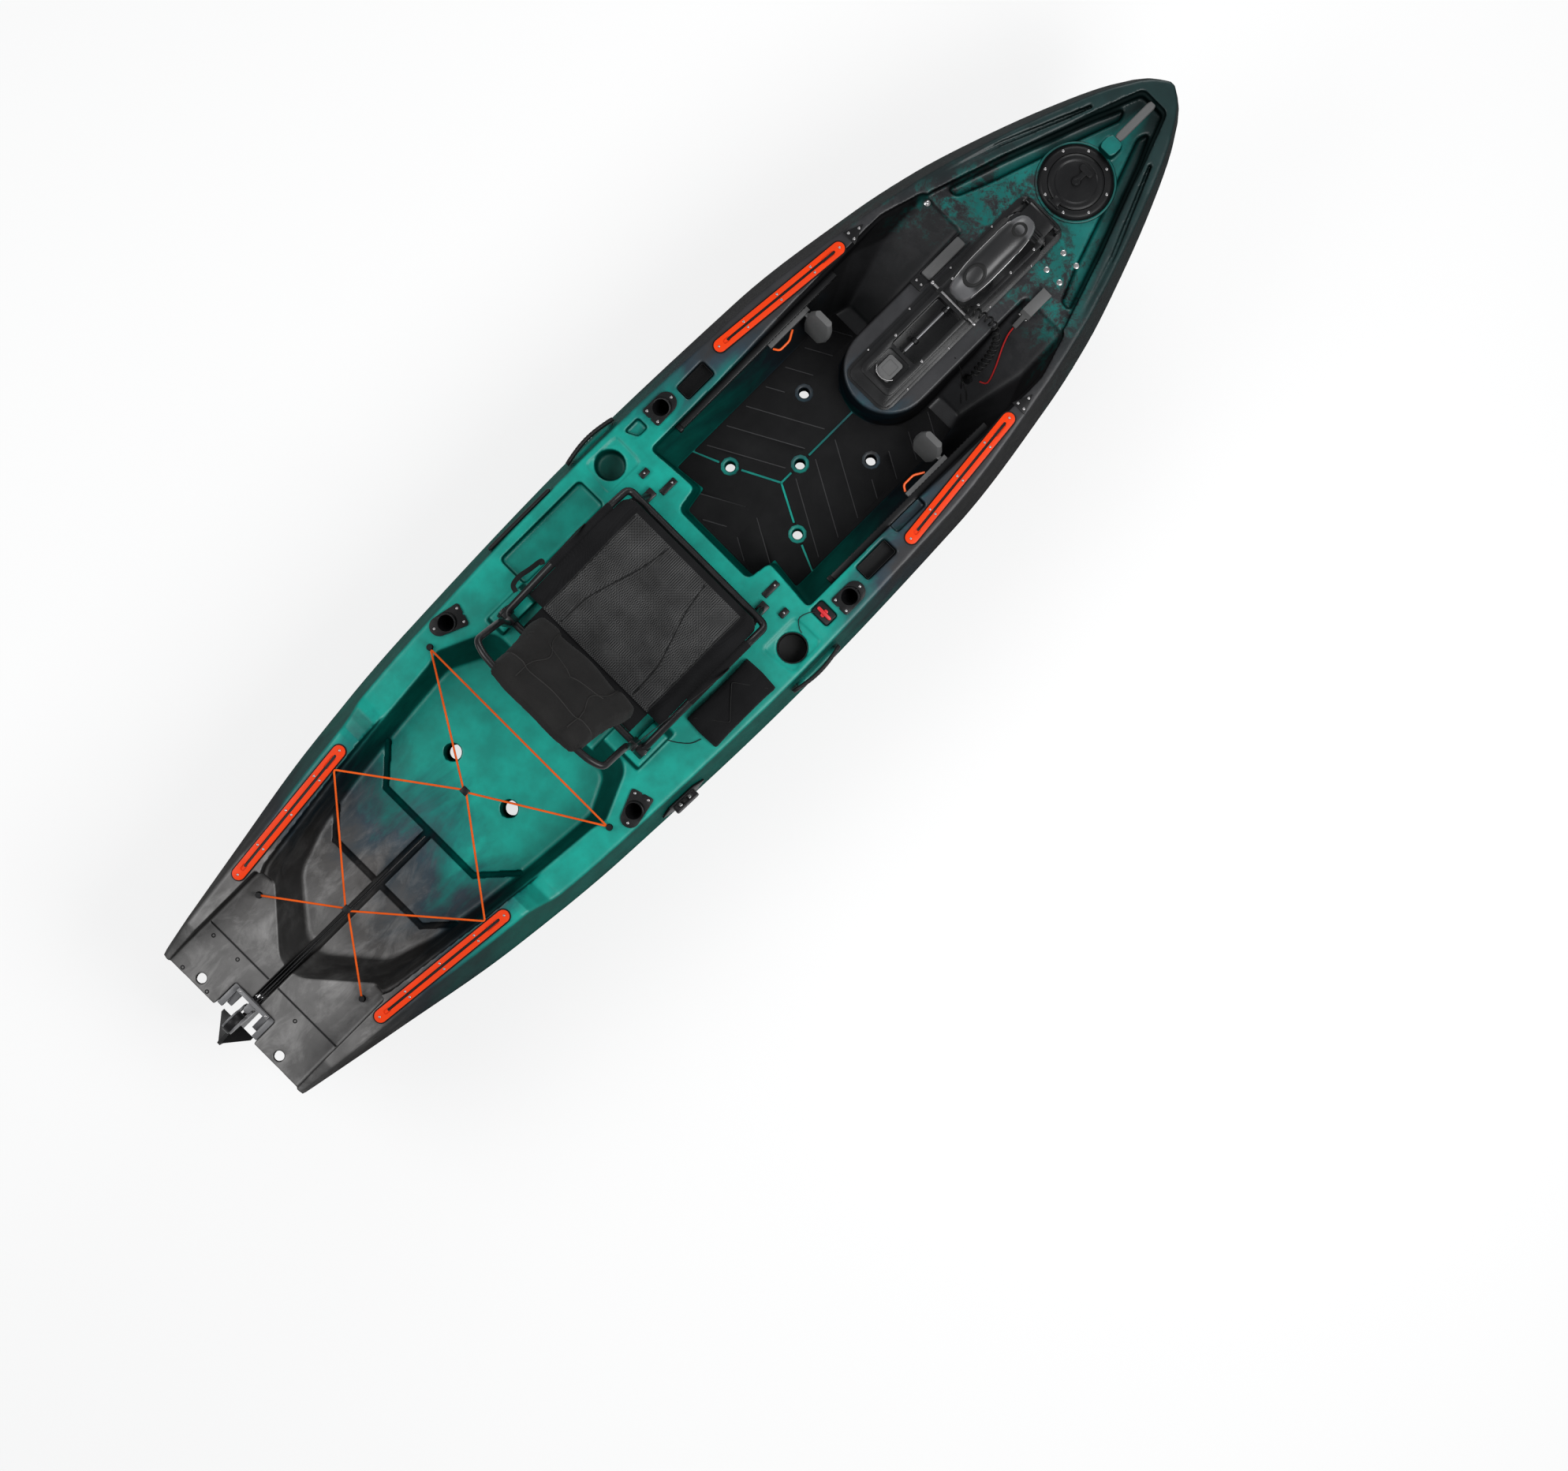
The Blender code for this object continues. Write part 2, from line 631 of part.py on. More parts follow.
def make_mat():
    """The foam mat on the footwell's floor, with a Y-shaped groove routed in its top."""
    floor = FOOTWELL_FLOOR_Z + GAP
    rim = 0.004
    side = FOOTWELL_HALF - 0.066 - rim
    aft = FOOTWELL_AFT_U + 0.020 + rim
    fore = RAMP_TOE_U - 0.050
    bend = CONSOLE_AFT_U + CONSOLE_HALF
    half = [(aft, 0.0), (aft, 0.130), (aft + 0.074, 0.142), (aft + 0.064, side),
            (fore - 0.035, side), (fore, side - 0.008), (fore, 0.140), (bend, 0.140)]
    half += arc(bend, 0.0, CONSOLE_HALF + 0.012, 120, 180, 2)
    mat = prism("floor_mat", mirrored(half), floor, floor + MAT_THICKNESS, "black_foam")
    deep = floor + MAT_THICKNESS * 0.4
    fork = (2.145, 0.0)
    for start, end in ((fork, (2.45, 0.0)), (fork, (2.075, 0.135)), (fork, (2.075, -0.135)),
                       ((2.075, 0.135), (2.024, 0.26)), ((2.075, -0.135), (2.024, -0.26))):
        cut(mat, prism("groove", stripe(start, end, 0.004), deep, 0.2))
    for u, v in SCUPPERS[4:]:
        cut(mat, cylinder("ring", point(u, v, floor - 0.01), point(u, v, floor + 0.02), 0.027, 10))
    return mat


def rail_outline(length):
    end = RAIL_WIDTH / 2
    return (arc(length / 2 - end, 0.0, end, -90, 90, 6) + arc(end - length / 2, 0.0, end, 90, 270, 6))


def make_rail(name, start, end):
    """A slotted accessory rail laid on the gunwale between two points."""
    (u0, v0), (u1, v1) = start, end
    length = math.hypot(u1 - u0, v1 - v0)
    outline = rail_outline(length)
    rail = loft(name, [[Vector((a, b, z)) for a, b in outline] for z in (0.0, RAIL_THICKNESS)],
                "orange_plastic")
    slot = [(a, b) for a, b in rounded_outline(-length / 2 + 0.055, length / 2 - 0.03, -0.004, 0.004, 0.0035, 2)]
    key = rounded_outline(-length / 2 + 0.028, -length / 2 + 0.062, -0.0075, 0.0075, 0.006, 2)
    for hole in (slot, key):
        ends = (RAIL_THICKNESS - 0.0045, 0.05)
        cut(rail, loft("slot", [[Vector((a, b, z)) for a, b in hole] for z in ends]))
    middle_u, middle_v = (u0 + u1) / 2, (v0 + v1) / 2
    z0, z1 = straight(SHEER_Z, u0), straight(SHEER_Z, u1)
    place = (Matrix.Translation(point(middle_u, middle_v, (z0 + z1) / 2 + GAP))
             @ Matrix.Rotation(-math.atan2(z1 - z0, u1 - u0), 4, "Y")
             @ Matrix.Rotation(math.atan2(v1 - v0, u1 - u0), 4, "Z"))
    return placed(rail, place)


def make_rails():
    for side, word in ((1, "port"), (-1, "starboard")):
        make_rail("rear_rail_" + word, (0.305, side * inboard(0.305, 0.05742)),
                  (0.770, side * inboard(0.770, 0.08830)))
        make_rail("front_rail_" + word, (FRONT_RAIL_U, side * inboard(FRONT_RAIL_U, 0.06864)),
                  (FRONT_RAIL_END_U, side * inboard(FRONT_RAIL_END_U, 0.06697)))


def make_rod_holder(name, u, v):
    """A flush rod holder: a three-screw plate on deck and a closed tube inside the hull."""
    top = straight(SHEER_Z, u) + GAP
    turn = 0.30 if name.startswith("rear") else 0.0
    turn = -turn if v > 0 else turn
    half_long, half_wide = (0.052, 0.034) if name.startswith("rear") else (0.047, 0.031)
    plate_outline = [(-half_long, -half_wide * 0.7), (-half_long * 0.5, -half_wide),
                     (half_long * 0.55, -half_wide), (half_long, -half_wide * 0.35),
                     (half_long, half_wide * 0.35), (half_long * 0.55, half_wide),
                     (-half_long * 0.5, half_wide), (-half_long, half_wide * 0.7)]
    swung = [(u + a * math.cos(turn) - b * math.sin(turn), v + a * math.sin(turn) + b * math.cos(turn))
             for a, b in plate_outline]
    holder = prism(name, swung, top, top + 0.006, "black_plastic")
    axis = rod_axis()
    mouth = point(u, v, DECK_Z)
    fuse(holder, cylinder("body", mouth - axis * 0.016, mouth + axis * ROD_TUBE_LENGTH, ROD_TUBE_R, 12))
    cut(holder, cylinder("bore", mouth - axis * 0.05, mouth + axis * (ROD_TUBE_LENGTH - 0.004),
                         ROD_BORE_R, 12))
    return holder


def make_hatch():
    seat = CONSOLE_Z + GAP
    centre = point(HATCH_U, 0, seat)
    profile = [(0, HATCH_RING_R), (0.006, HATCH_RING_R), (0.012, HATCH_RING_R - 0.010),
               (0.012, HATCH_RING_R - 0.018)]
    ring = turned("hatch_ring", profile, centre, (0, 0, 1), 24, "black_plastic")
    skirt = cylinder("skirt", centre - Vector((0, 0, 0.020)), centre + Vector((0, 0, 0.004)),
                     HATCH_HOLE_R - 2 * GAP, 24)
    fuse(ring, skirt)
    cut(ring, cylinder("mouth", centre - Vector((0, 0, 0.05)), centre + Vector((0, 0, 0.05)),
                       HATCH_LID_R - 0.004, 24))
    cut(ring, cylinder("seat", centre + Vector((0, 0, 0.003)), centre + Vector((0, 0, 0.05)),
                       HATCH_LID_R + 0.001, 24))
    lid_base = 0.003 + GAP
    lid_profile = [(lid_base, HATCH_LID_R), (0.012, HATCH_LID_R), (0.015, HATCH_LID_R - 0.006),
                   (0.015, 0.060), (0.012, 0.056), (0.012, 0.020)]
    lid = turned("hatch_lid", lid_profile, centre, (0, 0, 1), 24, "black_plastic")
    hinge = centre + Vector((-HATCH_LID_R - 0.010, 0, 0.0170))
    fuse(lid, cylinder("knuckle", hinge - Vector((0, 0.012, 0)), hinge + Vector((0, 0.012, 0)), 0.0042, 12))
    fuse(lid, box("tongue", hinge.x + LENGTH / 2, HATCH_U - HATCH_LID_R + 0.012, -0.012, 0.012,
                  seat + 0.0130, hinge.z + 0.0030))
    cut(lid, cylinder("bore", hinge - Vector((0, 0.02, 0)), hinge + Vector((0, 0.02, 0)), 0.0026, 10))
    origin_at(smooth(lid), hinge)
    latch_z = seat + 0.012 + GAP
    latch = prism("hatch_latch", rounded_outline(HATCH_U - 0.008, HATCH_U + 0.045, -0.008, 0.008, 0.005, 2),
                  latch_z, latch_z + 0.010, "black_plastic")
    fuse(latch, prism("grip", rounded_outline(HATCH_U + 0.030, HATCH_U + 0.048, -0.022, 0.022, 0.006, 2),
                      latch_z, latch_z + 0.012))
    origin_at(latch, point(HATCH_U, 0, latch_z))
    for side in (1, -1):
        lug = arc(hinge.x + LENGTH / 2, hinge.z, 0.0045, 0, 180, 5)
        lug += [(lug[-1][0], seat + 0.010), (lug[0][0], seat + 0.010)]
        fuse(ring, side_prism("lug", lug, *sorted((side * 0.0125, side * 0.0190))))
    fuse(ring, cylinder("pin", hinge - Vector((0, 0.014, 0)), hinge + Vector((0, 0.014, 0)), 0.0020, 10))
    smooth(ring)


def make_handles():
    fore = 3.585
    bar = prism("bow_handle", rounded_outline(3.447 + GAP, fore - GAP, -0.0125, 0.0125, 0.006),
                CONSOLE_Z + 0.030, CONSOLE_Z + 0.052, "grey_plastic")
    bevelled(bar, 0.004)
    for side, word in ((1, "port"), (-1, "starboard")):
        grip_z = 0.3115
        outline = []
        for i in range(9):
            t = i / 8
            u = CUP_U - 0.083 + 0.180 * t
            outline.append((u, side * (inboard(CUP_U + 0.007, 0.0111) + 0.012 * math.sin(math.pi * t))))
        inner = [(u, v - side * 0.008) for u, v in reversed(outline)]
        grip = prism("side_handle_" + word, outline + inner, grip_z, grip_z + 0.034, "black_plastic")
        smooth(bevelled(grip, 0.003))


def make_foot_braces():
    wall = FOOTWELL_HALF - GAP
    for side, word in ((1, "port"), (-1, "starboard")):
        z0, z1 = TRACK_Z - TRACK_HEIGHT / 2, TRACK_Z + TRACK_HEIGHT / 2
        faces = sorted((side * wall, side * (wall - TRACK_DEPTH)))
        track = box("foot_track_" + word, TRACK_START_U, TRACK_END_U, *faces, z0, z1, "black_plastic")
        lip = sorted((side * (wall - TRACK_DEPTH - 0.01), side * (wall - TRACK_DEPTH + 0.012)))
        cut(track, box("channel", TRACK_START_U + 0.02, TRACK_END_U - 0.02, *lip, TRACK_Z - 0.006,
                       TRACK_Z + 0.006))
        shift = 0.0 if side > 0 else -0.020
        start, end = 2.378 + shift, 2.530 + shift
        inner = wall - TRACK_DEPTH - GAP
        block = sorted((side * inner, side * (inner - 0.014)))
        pedal = box("foot_pedal_" + word, start, end, *block, z0 + 0.004, z1 - 0.004, "grey_plastic")
        tongue = sorted((side * (inner - 0.004), side * (inner + 0.009)))
        fuse(pedal, box("tongue", start + 0.01, end - 0.01, *tongue, TRACK_Z - 0.005, TRACK_Z + 0.005))
        rings = []
        for step, rise in ((0, -0.075), (1, -0.040), (2, 0.0), (3, 0.035), (4, 0.060)):
            wide = (0.030, 0.042, 0.044, 0.040, 0.028)[step]
            lean = 0.010 * (step - 2)
            middle = side * (FOOTWELL_HALF - 0.083)
            ring = rounded_outline(2.506 + shift + lean, 2.524 + shift + lean, middle - wide,
                                   middle + wide, 0.006, 1)
            rings.append([point(u, v, TRACK_Z + rise) for u, v in ring])
        fuse(pedal, loft("plate", rings))
        arm = sorted((side * (inner - 0.006), side * (FOOTWELL_HALF - 0.083)))
        fuse(pedal, box("arm", 2.509 + shift, 2.521 + shift, *arm, TRACK_Z - 0.008, TRACK_Z + 0.008))
        origin_at(pedal, point((start + end) / 2, side * inner, TRACK_Z))
        hinge_v = inner - 0.014 - GAP
        wire = 0.0032
        spots = [(start + 0.004, hinge_v - wire, 0), (start + 0.014, hinge_v - 0.020, 0.002),
                 (start + 0.052, hinge_v - 0.020, 0.002), (start + 0.080, hinge_v - wire, 0)]
        route = [point(u, side * v, TRACK_Z + z) for u, v, z in spots]
        lever = applied(tube("pedal_lever_" + word, route, wire, "orange_plastic", 1))
        lever.data.materials.clear()
        lever.data.materials.append(material("orange_plastic"))
        origin_at(lever, point(start + 0.042, side * hinge_v, TRACK_Z))


def make_motor_tray():
    """A flanged liner in the mouth of the well, with an ear each side for the carriage's hinge."""
    seat = CONSOLE_Z + GAP
    outer = rounded_outline(WELL_AFT_U - TRAY_FLANGE, WELL_FORE_U + 0.046, -WELL_HALF - TRAY_FLANGE,
                            WELL_HALF + TRAY_FLANGE, 0.032)
    tray = prism("motor_tray", outer, seat, seat + TRAY_THICKNESS, "black_plastic")
    fuse(tray, prism("liner", well_outline(2 * GAP), seat - 0.040, seat + 0.003))
    cut(tray, prism("mouth", well_outline(2 * GAP + TRAY_WALL), 0.2, 0.5))
    for side in (1, -1):
        ear = [(HINGE_U - 0.014, seat + 0.002), (HINGE_U + 0.014, seat + 0.002)]
        ear += [(u, z) for u, z in arc(HINGE_U, HINGE_Z, 0.012, 0, 180, 4)]
        faces = sorted((side * (CARRIAGE_HALF + 0.0010), side * (CARRIAGE_HALF + 0.0080)))
        fuse(tray, side_prism("ear", ear, *faces))
    fuse(tray, cylinder("hinge_pin", point(HINGE_U, -CARRIAGE_HALF - 0.004, HINGE_Z),
                        point(HINGE_U, CARRIAGE_HALF + 0.004, HINGE_Z), 0.0040, 12))
    return tray


def make_carriage():
    """The frame that holds the drive over the well and tips about the hinge at its fore end."""
    z0, z1 = CARRIAGE_Z0, CARRIAGE_Z1
    inside = WELL_HALF - 2 * GAP - TRAY_WALL - 0.0012
    half = min(CARRIAGE_HALF, inside)
    aft = WELL_AFT_U + 2 * GAP + TRAY_WALL + 0.024
    fore = WELL_FORE_U - 2 * GAP - TRAY_WALL - 0.0012
    frame = prism("motor_carriage", rounded_outline(aft, fore, -half, half, 0.020), z0, z1, "black_metal")
    web = z0 + 0.004
    bays = ((aft + 0.115, SHAFT_U - 0.1155, half - 0.014), (SHAFT_U + 0.0495, fore - 0.030, half - 0.012))
    for start, end, wide in bays:
        cut(frame, prism("bay", rounded_outline(start, end, -wide, wide, 0.006), web, 0.5))
    lip = CONSOLE_Z + TRAY_THICKNESS + 2 * GAP
    rim = rounded_outline(WELL_AFT_U - 0.004, fore - 0.030, -WELL_HALF - 0.004, WELL_HALF + 0.004, 0.024)
    rim = prism("rim", rim, lip, lip + 0.003)
    fuse(frame, cut(rim, prism("inside", rounded_outline(aft + 0.004, fore - 0.006, -half + 0.004, half - 0.004,
                                                         0.018), 0.2, 0.5)))
    cut(frame, prism("dish", rounded_outline(aft + 0.016, aft + 0.104, -half + 0.018, half - 0.018, 0.008),
                     z1 - 0.014, 0.5))
    knuckle = [(fore - 0.012, CONSOLE_Z + TRAY_THICKNESS + 0.003)]
    knuckle += arc(HINGE_U, HINGE_Z, 0.010, -90, 90, 5) + [(fore - 0.012, z1)]
    fuse(frame, side_prism("knuckle", knuckle, -half + 0.012, half - 0.012))
    cut(frame, cylinder("pin_bore", point(HINGE_U, -half - 0.01, HINGE_Z),
                        point(HINGE_U, half + 0.01, HINGE_Z), 0.0044, 12))
    cut(frame, cylinder("shaft_bore", point(SHAFT_U, 0, 0.2), point(SHAFT_U, 0, 0.5),
                        SHAFT_R + SHAFT_CLEARANCE, 16))
    rod = [point(2.663, 0.004, z1 - 0.016), point(2.783, 0.004, z1 - 0.016)]
    ends = [point(aft + 0.110, 0.004, z1 - 0.016), point(SHAFT_U - 0.1095, 0.004, z1 - 0.016)]
    fuse(frame, cylinder("rod", ends[0], ends[1], 0.005, 10))
    fuse(frame, cylinder("sleeve", rod[0], rod[0] + Vector((0.010, 0, 0)), 0.010, 10))
    for side in (1, -1):
        post = sorted((side * (half - 0.012), side * half))
        fuse(frame, box("lug", RELEASE_U - 0.008, RELEASE_U + 0.008, *post, z1 - 0.004, z1 + 0.020))
    cut(frame, cylinder("handle_bore", point(RELEASE_U, -half - 0.01, z1 + RELEASE_RISE),
                        point(RELEASE_U, half + 0.01, z1 + RELEASE_RISE), 0.0046, 12))
    return origin_at(frame, point(HINGE_U, 0, HINGE_Z))


def make_release_handle():
    """The cross bar behind the shaft that frees the carriage, turning in two lugs."""
    z = CARRIAGE_Z1 + RELEASE_RISE
    half = 0.080
    bar = cylinder("release_handle", point(RELEASE_U, -half, z), point(RELEASE_U, half, z), 0.0040, 12,
                   "steel")
    for side in (1, -1):
        tip = point(RELEASE_U, side * half, z)
        fuse(bar, cylinder("knob", tip - Vector((0, 0.006 * side, 0)), tip + Vector((0, 0.004 * side, 0)),
                           0.0065, 12))
    return origin_at(bar, point(RELEASE_U, 0, z))


def make_drive():
    base = CARRIAGE_Z1 + GAP
    dome = [(0, COLLAR_R), (0.010, COLLAR_R), (0.024, COLLAR_R * 0.86), (0.033, COLLAR_R * 0.62),
            (COLLAR_HEIGHT, COLLAR_R * 0.55)]
    collar = turned("depth_collar", dome, point(SHAFT_U, 0, base), (0, 0, 1), 20, "black_plastic")
    knob = point(SHAFT_U - COLLAR_R + 0.006, 0, base + 0.012)
    fuse(collar, cylinder("screw", knob, knob - Vector((0.014, 0, 0)), 0.007, 12))
    cut(collar, cylinder("bore", point(SHAFT_U, 0, base - 0.01), point(SHAFT_U, 0, base + 0.06),
                         SHAFT_R + SHAFT_CLEARANCE, 16))
    origin_at(smooth(collar), point(SHAFT_U, 0, base))

    shaft = cylinder("motor_shaft", point(SHAFT_U, 0, STRUT_TOP_Z + GAP),
                     point(SHAFT_U, 0, HEAD_BASE_Z - 0.025 - GAP), SHAFT_R, 16, "black_metal")
    origin_at(smooth(shaft), point(SHAFT_U, 0, base))
    make_control_head()
    make_lower_unit()
    make_propeller()


def make_control_head():
    """The housing over the shaft: how far ahead of it, lowest and highest z, share of the full width."""
    base = HEAD_BASE_Z
    lengths = [(-0.1125, 0.026, 0.044, 0.30), (-0.1035, 0.008, 0.058, 0.66), (-0.0655, 0.0, 0.080, 0.90),
               (-0.0105, 0.0, 0.097, 1.0), (0.0395, 0.004, 0.104, 1.0), (0.0945, 0.029, 0.106, 0.94),
               (0.1395, 0.044, 0.102, 0.80), (0.1645, 0.054, 0.092, 0.58), (0.1735, 0.064, 0.082, 0.30)]
    rings = []
    for ahead, low, high, share in lengths:
        u, low, high = SHAFT_U + ahead, base + low, base + high
        half_v, half_z = HEAD_WIDTH / 2 * share, (high - low) / 2
        ring = []
        for i in range(14):
            a = 2 * math.pi * i / 14
            c, s = math.cos(a), math.sin(a)
            ring.append(point(u, half_v * math.copysign(abs(c) ** 0.75, c),
                              low + half_z + half_z * math.copysign(abs(s) ** 0.75, s)))
        rings.append(ring)
    head = loft("control_head", rings, "black_plastic")
    stem = turned("stem", [(0, 0.030), (0.004, 0.036), (0.030, 0.036)],
                  point(SHAFT_U, 0, HEAD_BASE_Z - 0.025), (0, 0, 1), 20)
    fuse(head, stem)
    relief_top = point(SHAFT_U - 0.0835, 0, HEAD_BASE_Z + 0.020)
    relief = [(0, 0.009), (0.022, 0.009), (0.024, 0.0075), (0.034, 0.0075), (0.036, 0.009),
              (0.044, 0.009), (0.046, 0.0068), (0.056, 0.0068), (0.058, 0.008), (0.066, 0.008),
              (0.068, 0.006), (0.076, 0.006)]
    fuse(head, turned("relief", relief, relief_top, (-0.10, 0, -1), 10))
    return origin_at(smooth(head), point(SHAFT_U, 0, CARRIAGE_Z1 + GAP))


def make_lower_unit():
    """The submerged motor: strut, torpedo body with a pointed nose, and the fin below."""
    body = [(0, 0.030), (0.006, UNIT_R), (0.215, UNIT_R), (0.245, 0.034), (0.270, 0.026),
            (0.288, 0.015), (UNIT_NOSE_U - UNIT_AFT_U, 0.004)]
    unit = turned("lower_unit", body, point(UNIT_AFT_U, 0, UNIT_Z), (1, 0, 0), 20, "white_metal")
    strut = [(0, 0.0165), (0.040, 0.0165), (0.052, 0.021)]
    fuse(unit, turned("strut", strut, point(SHAFT_U, 0, STRUT_TOP_Z), (0, 0, -1), 16))
    fairing = [(SHAFT_U - 0.0305, UNIT_Z + 0.020), (SHAFT_U + 0.0395, UNIT_Z + 0.020),
               (SHAFT_U + 0.0195, STRUT_TOP_Z - 0.035), (SHAFT_U - 0.0155, STRUT_TOP_Z - 0.035)]
    fuse(unit, side_prism("fairing", fairing, -0.012, 0.012))
    fin = [(-0.0185, -0.011), (0.0855, -0.011), (0.0725, -0.042), (-0.008, -0.1075), (-0.0465, -0.1075),
           (-0.0275, -0.060)]
    fin = [(SHAFT_U + ahead, UNIT_Z + up) for ahead, up in fin]
    fuse(unit, side_prism("fin", fin, -0.0041, 0.0041))
    return origin_at(smooth(unit), point(SHAFT_U, 0, CARRIAGE_Z1 + GAP))


def make_propeller():
    """Two swept blades with pitch, on a round hub behind the lower unit."""
    fore = UNIT_AFT_U - 0.0008
    hub = [(0, PROP_HUB_R), (PROP_HUB_LENGTH - 0.008, PROP_HUB_R - 0.002), (PROP_HUB_LENGTH, 0.022),
           (PROP_HUB_LENGTH + 0.003, 0.010)]
    prop = turned("propeller", hub, point(fore, 0, UNIT_Z), (-1, 0, 0), 20, "black_plastic")
    middle = Vector(point(fore - PROP_HUB_LENGTH * 0.55, 0, UNIT_Z))
    for half_turn in (0, math.pi):
        rings = []
        for r, chord, pitch in ((PROP_HUB_R - 0.008, 0.030, 52), (0.052, 0.040, 40), (0.080, 0.040, 28),
                                (0.100, 0.030, 22), (PROP_R, 0.012, 20)):
            angle = math.radians(pitch)
            sweep = 0.10 * (r - PROP_HUB_R) / PROP_R
            ring = []
            for share, thick in ((-0.5, 0.0006), (0, 0.0018), (0.5, 0.0006), (0.5, -0.0006),
                                 (0, -0.0018), (-0.5, -0.0006)):
                across = chord * share + sweep * 0.10
                along = across * math.sin(angle) + thick * math.cos(angle)
                side = across * math.cos(angle) - thick * math.sin(angle)
                ring.append(Vector((along, side, r)))
            rings.append(ring)
        blade = placed(loft("blade", rings), Matrix.Rotation(half_turn, 4, "X"))
        fuse(prop, placed(blade, Matrix.Translation(middle)))
    return origin_at(prop, point(UNIT_AFT_U, 0, UNIT_Z))


def ramp_z(u):
    share = (u - RAMP_TOE_U) / (RAMP_HEAD_U - RAMP_TOE_U)
    return FOOTWELL_FLOOR_Z + (CONSOLE_Z - FOOTWELL_FLOOR_Z) * share


CURL_TURNS = 17
CURL_STEPS = 9
CURL_R = 0.0105
CURL_WIRE_R = 0.0028
CURL_ROUTE = [(SHAFT_U - 0.096, 0.0, 0.486), (SHAFT_U - 0.1035, -0.020, 0.452), (2.838, -0.068, 0.428),
              (2.848, -0.115, 0.408), (2.832, -0.152, 0.370), (2.794, -0.168, 0.312),
              (2.752, -0.170, 0.262), (2.722, -0.167, 0.226)]


def make_curly_cord():
    """The drive's cable: one tube that runs straight, curls along its route and ends straight."""
    path = smooth_route([point(*spot) for spot in CURL_ROUTE], 12)
    lengths = [0.0]
    for a, b in zip(path, path[1:]):
        lengths.append(lengths[-1] + (b - a).length)
    total = lengths[-1]
    lead_in, lead_out = 0.045, 0.010
    xs = [[p[i] for p in path] for i in range(3)]

    def spot(distance):
        return Vector([float(np.interp(distance, lengths, axis)) for axis in xs])

    route = [spot(0.0), spot(0.006), spot(lead_in * 0.6)]
    count = CURL_TURNS * CURL_STEPS
    normal = Vector((0, 0, 1))
    for i in range(count + 1):
        distance = lead_in + (total - lead_in - lead_out) * i / count
        along = (spot(min(distance + 0.004, total)) - spot(distance - 0.004)).normalized()
        normal = (normal - along * normal.dot(along)).normalized()
        turn = 2 * math.pi * i / CURL_STEPS
        grow = min(1.0, i / CURL_STEPS, (count - i) / CURL_STEPS)
        out = normal * math.cos(turn) + along.cross(normal) * math.sin(turn)
        route.append(spot(distance) + out * CURL_R * grow)
    route += [spot(total - 0.004), spot(total)]
    least = math.inf
    for i, a in enumerate(route):
        for b in route[i + CURL_STEPS // 2:]:
            least = min(least, (a - b).length - 2 * CURL_WIRE_R)
    print("curly cord: least gap between curls", round(least * 1000, 2), "mm")
    tube("motor_cable", route, CURL_WIRE_R, "black_rubber", 1)
    return route[-1], (route[-1] - route[-2]).normalized()


LEAD_ROUTE = [(2.735, -0.196), (2.748, -0.214), (2.790, -0.200), (2.837, -0.176), (2.870, -0.163),
              (2.8925, -0.160)]


def make_wiring(end, way):
    """The gland in the ramp that the cable enters, and the power plug with its lead beside it."""
    gland = point(2.722, -0.167, ramp_z(2.722))
    normal = Vector((-(CONSOLE_Z - FOOTWELL_FLOOR_Z), 0, RAMP_HEAD_U - RAMP_TOE_U)).normalized()
    socket = cylinder("cable_gland", gland + normal * 0.0004, gland + normal * 0.012, 0.013, 12,
                      "black_plastic")
    fuse(socket, cylinder("elbow", end + way * 0.008, gland + normal * 0.004, 0.0068, 10))
    fuse(socket, cylinder("neck", end + way * GAP, end + way * 0.011, 0.0072, 10))
    route = smooth_route([point(u, v, ramp_z(u) + 0.0055) for u, v in LEAD_ROUTE], 3)
    tube("power_lead", route, 0.0025, "red_wire", 2)
    start, finish = 2.894 + GAP, 3.020
    rows = [(start, 0.008), (2.930, 0.008), (2.932, 0.018), (2.962, 0.018)]
    low = [(u, ramp_z(u) + 0.0006) for u in (start, 2.962)]
    shape = [low[0], low[1], (RAMP_HEAD_U, CONSOLE_Z + 0.0006), (finish, CONSOLE_Z + 0.0006),
             (finish, CONSOLE_Z + 0.024),
             (2.940, CONSOLE_Z + 0.010), (2.932, ramp_z(2.932) + 0.020), (start, ramp_z(start) + 0.014)]
    plug = side_prism("power_connector", shape, -0.176, -0.144, "grey_plastic")
    for side in (-0.176, -0.152):
        cheek = [(start - 0.01, 0.2), (rows[1][0], 0.2), (rows[1][0], 0.5), (start - 0.01, 0.5)]
        cut(plug, side_prism("cheek", cheek, side - 0.001, side + 0.009))
    pad = box("transducer_pad", 2.812, 2.955, 0.0925, 0.1245, CONSOLE_Z + GAP, CONSOLE_Z + 0.012,
              "grey_plastic")
    return bevelled(pad, 0.003)


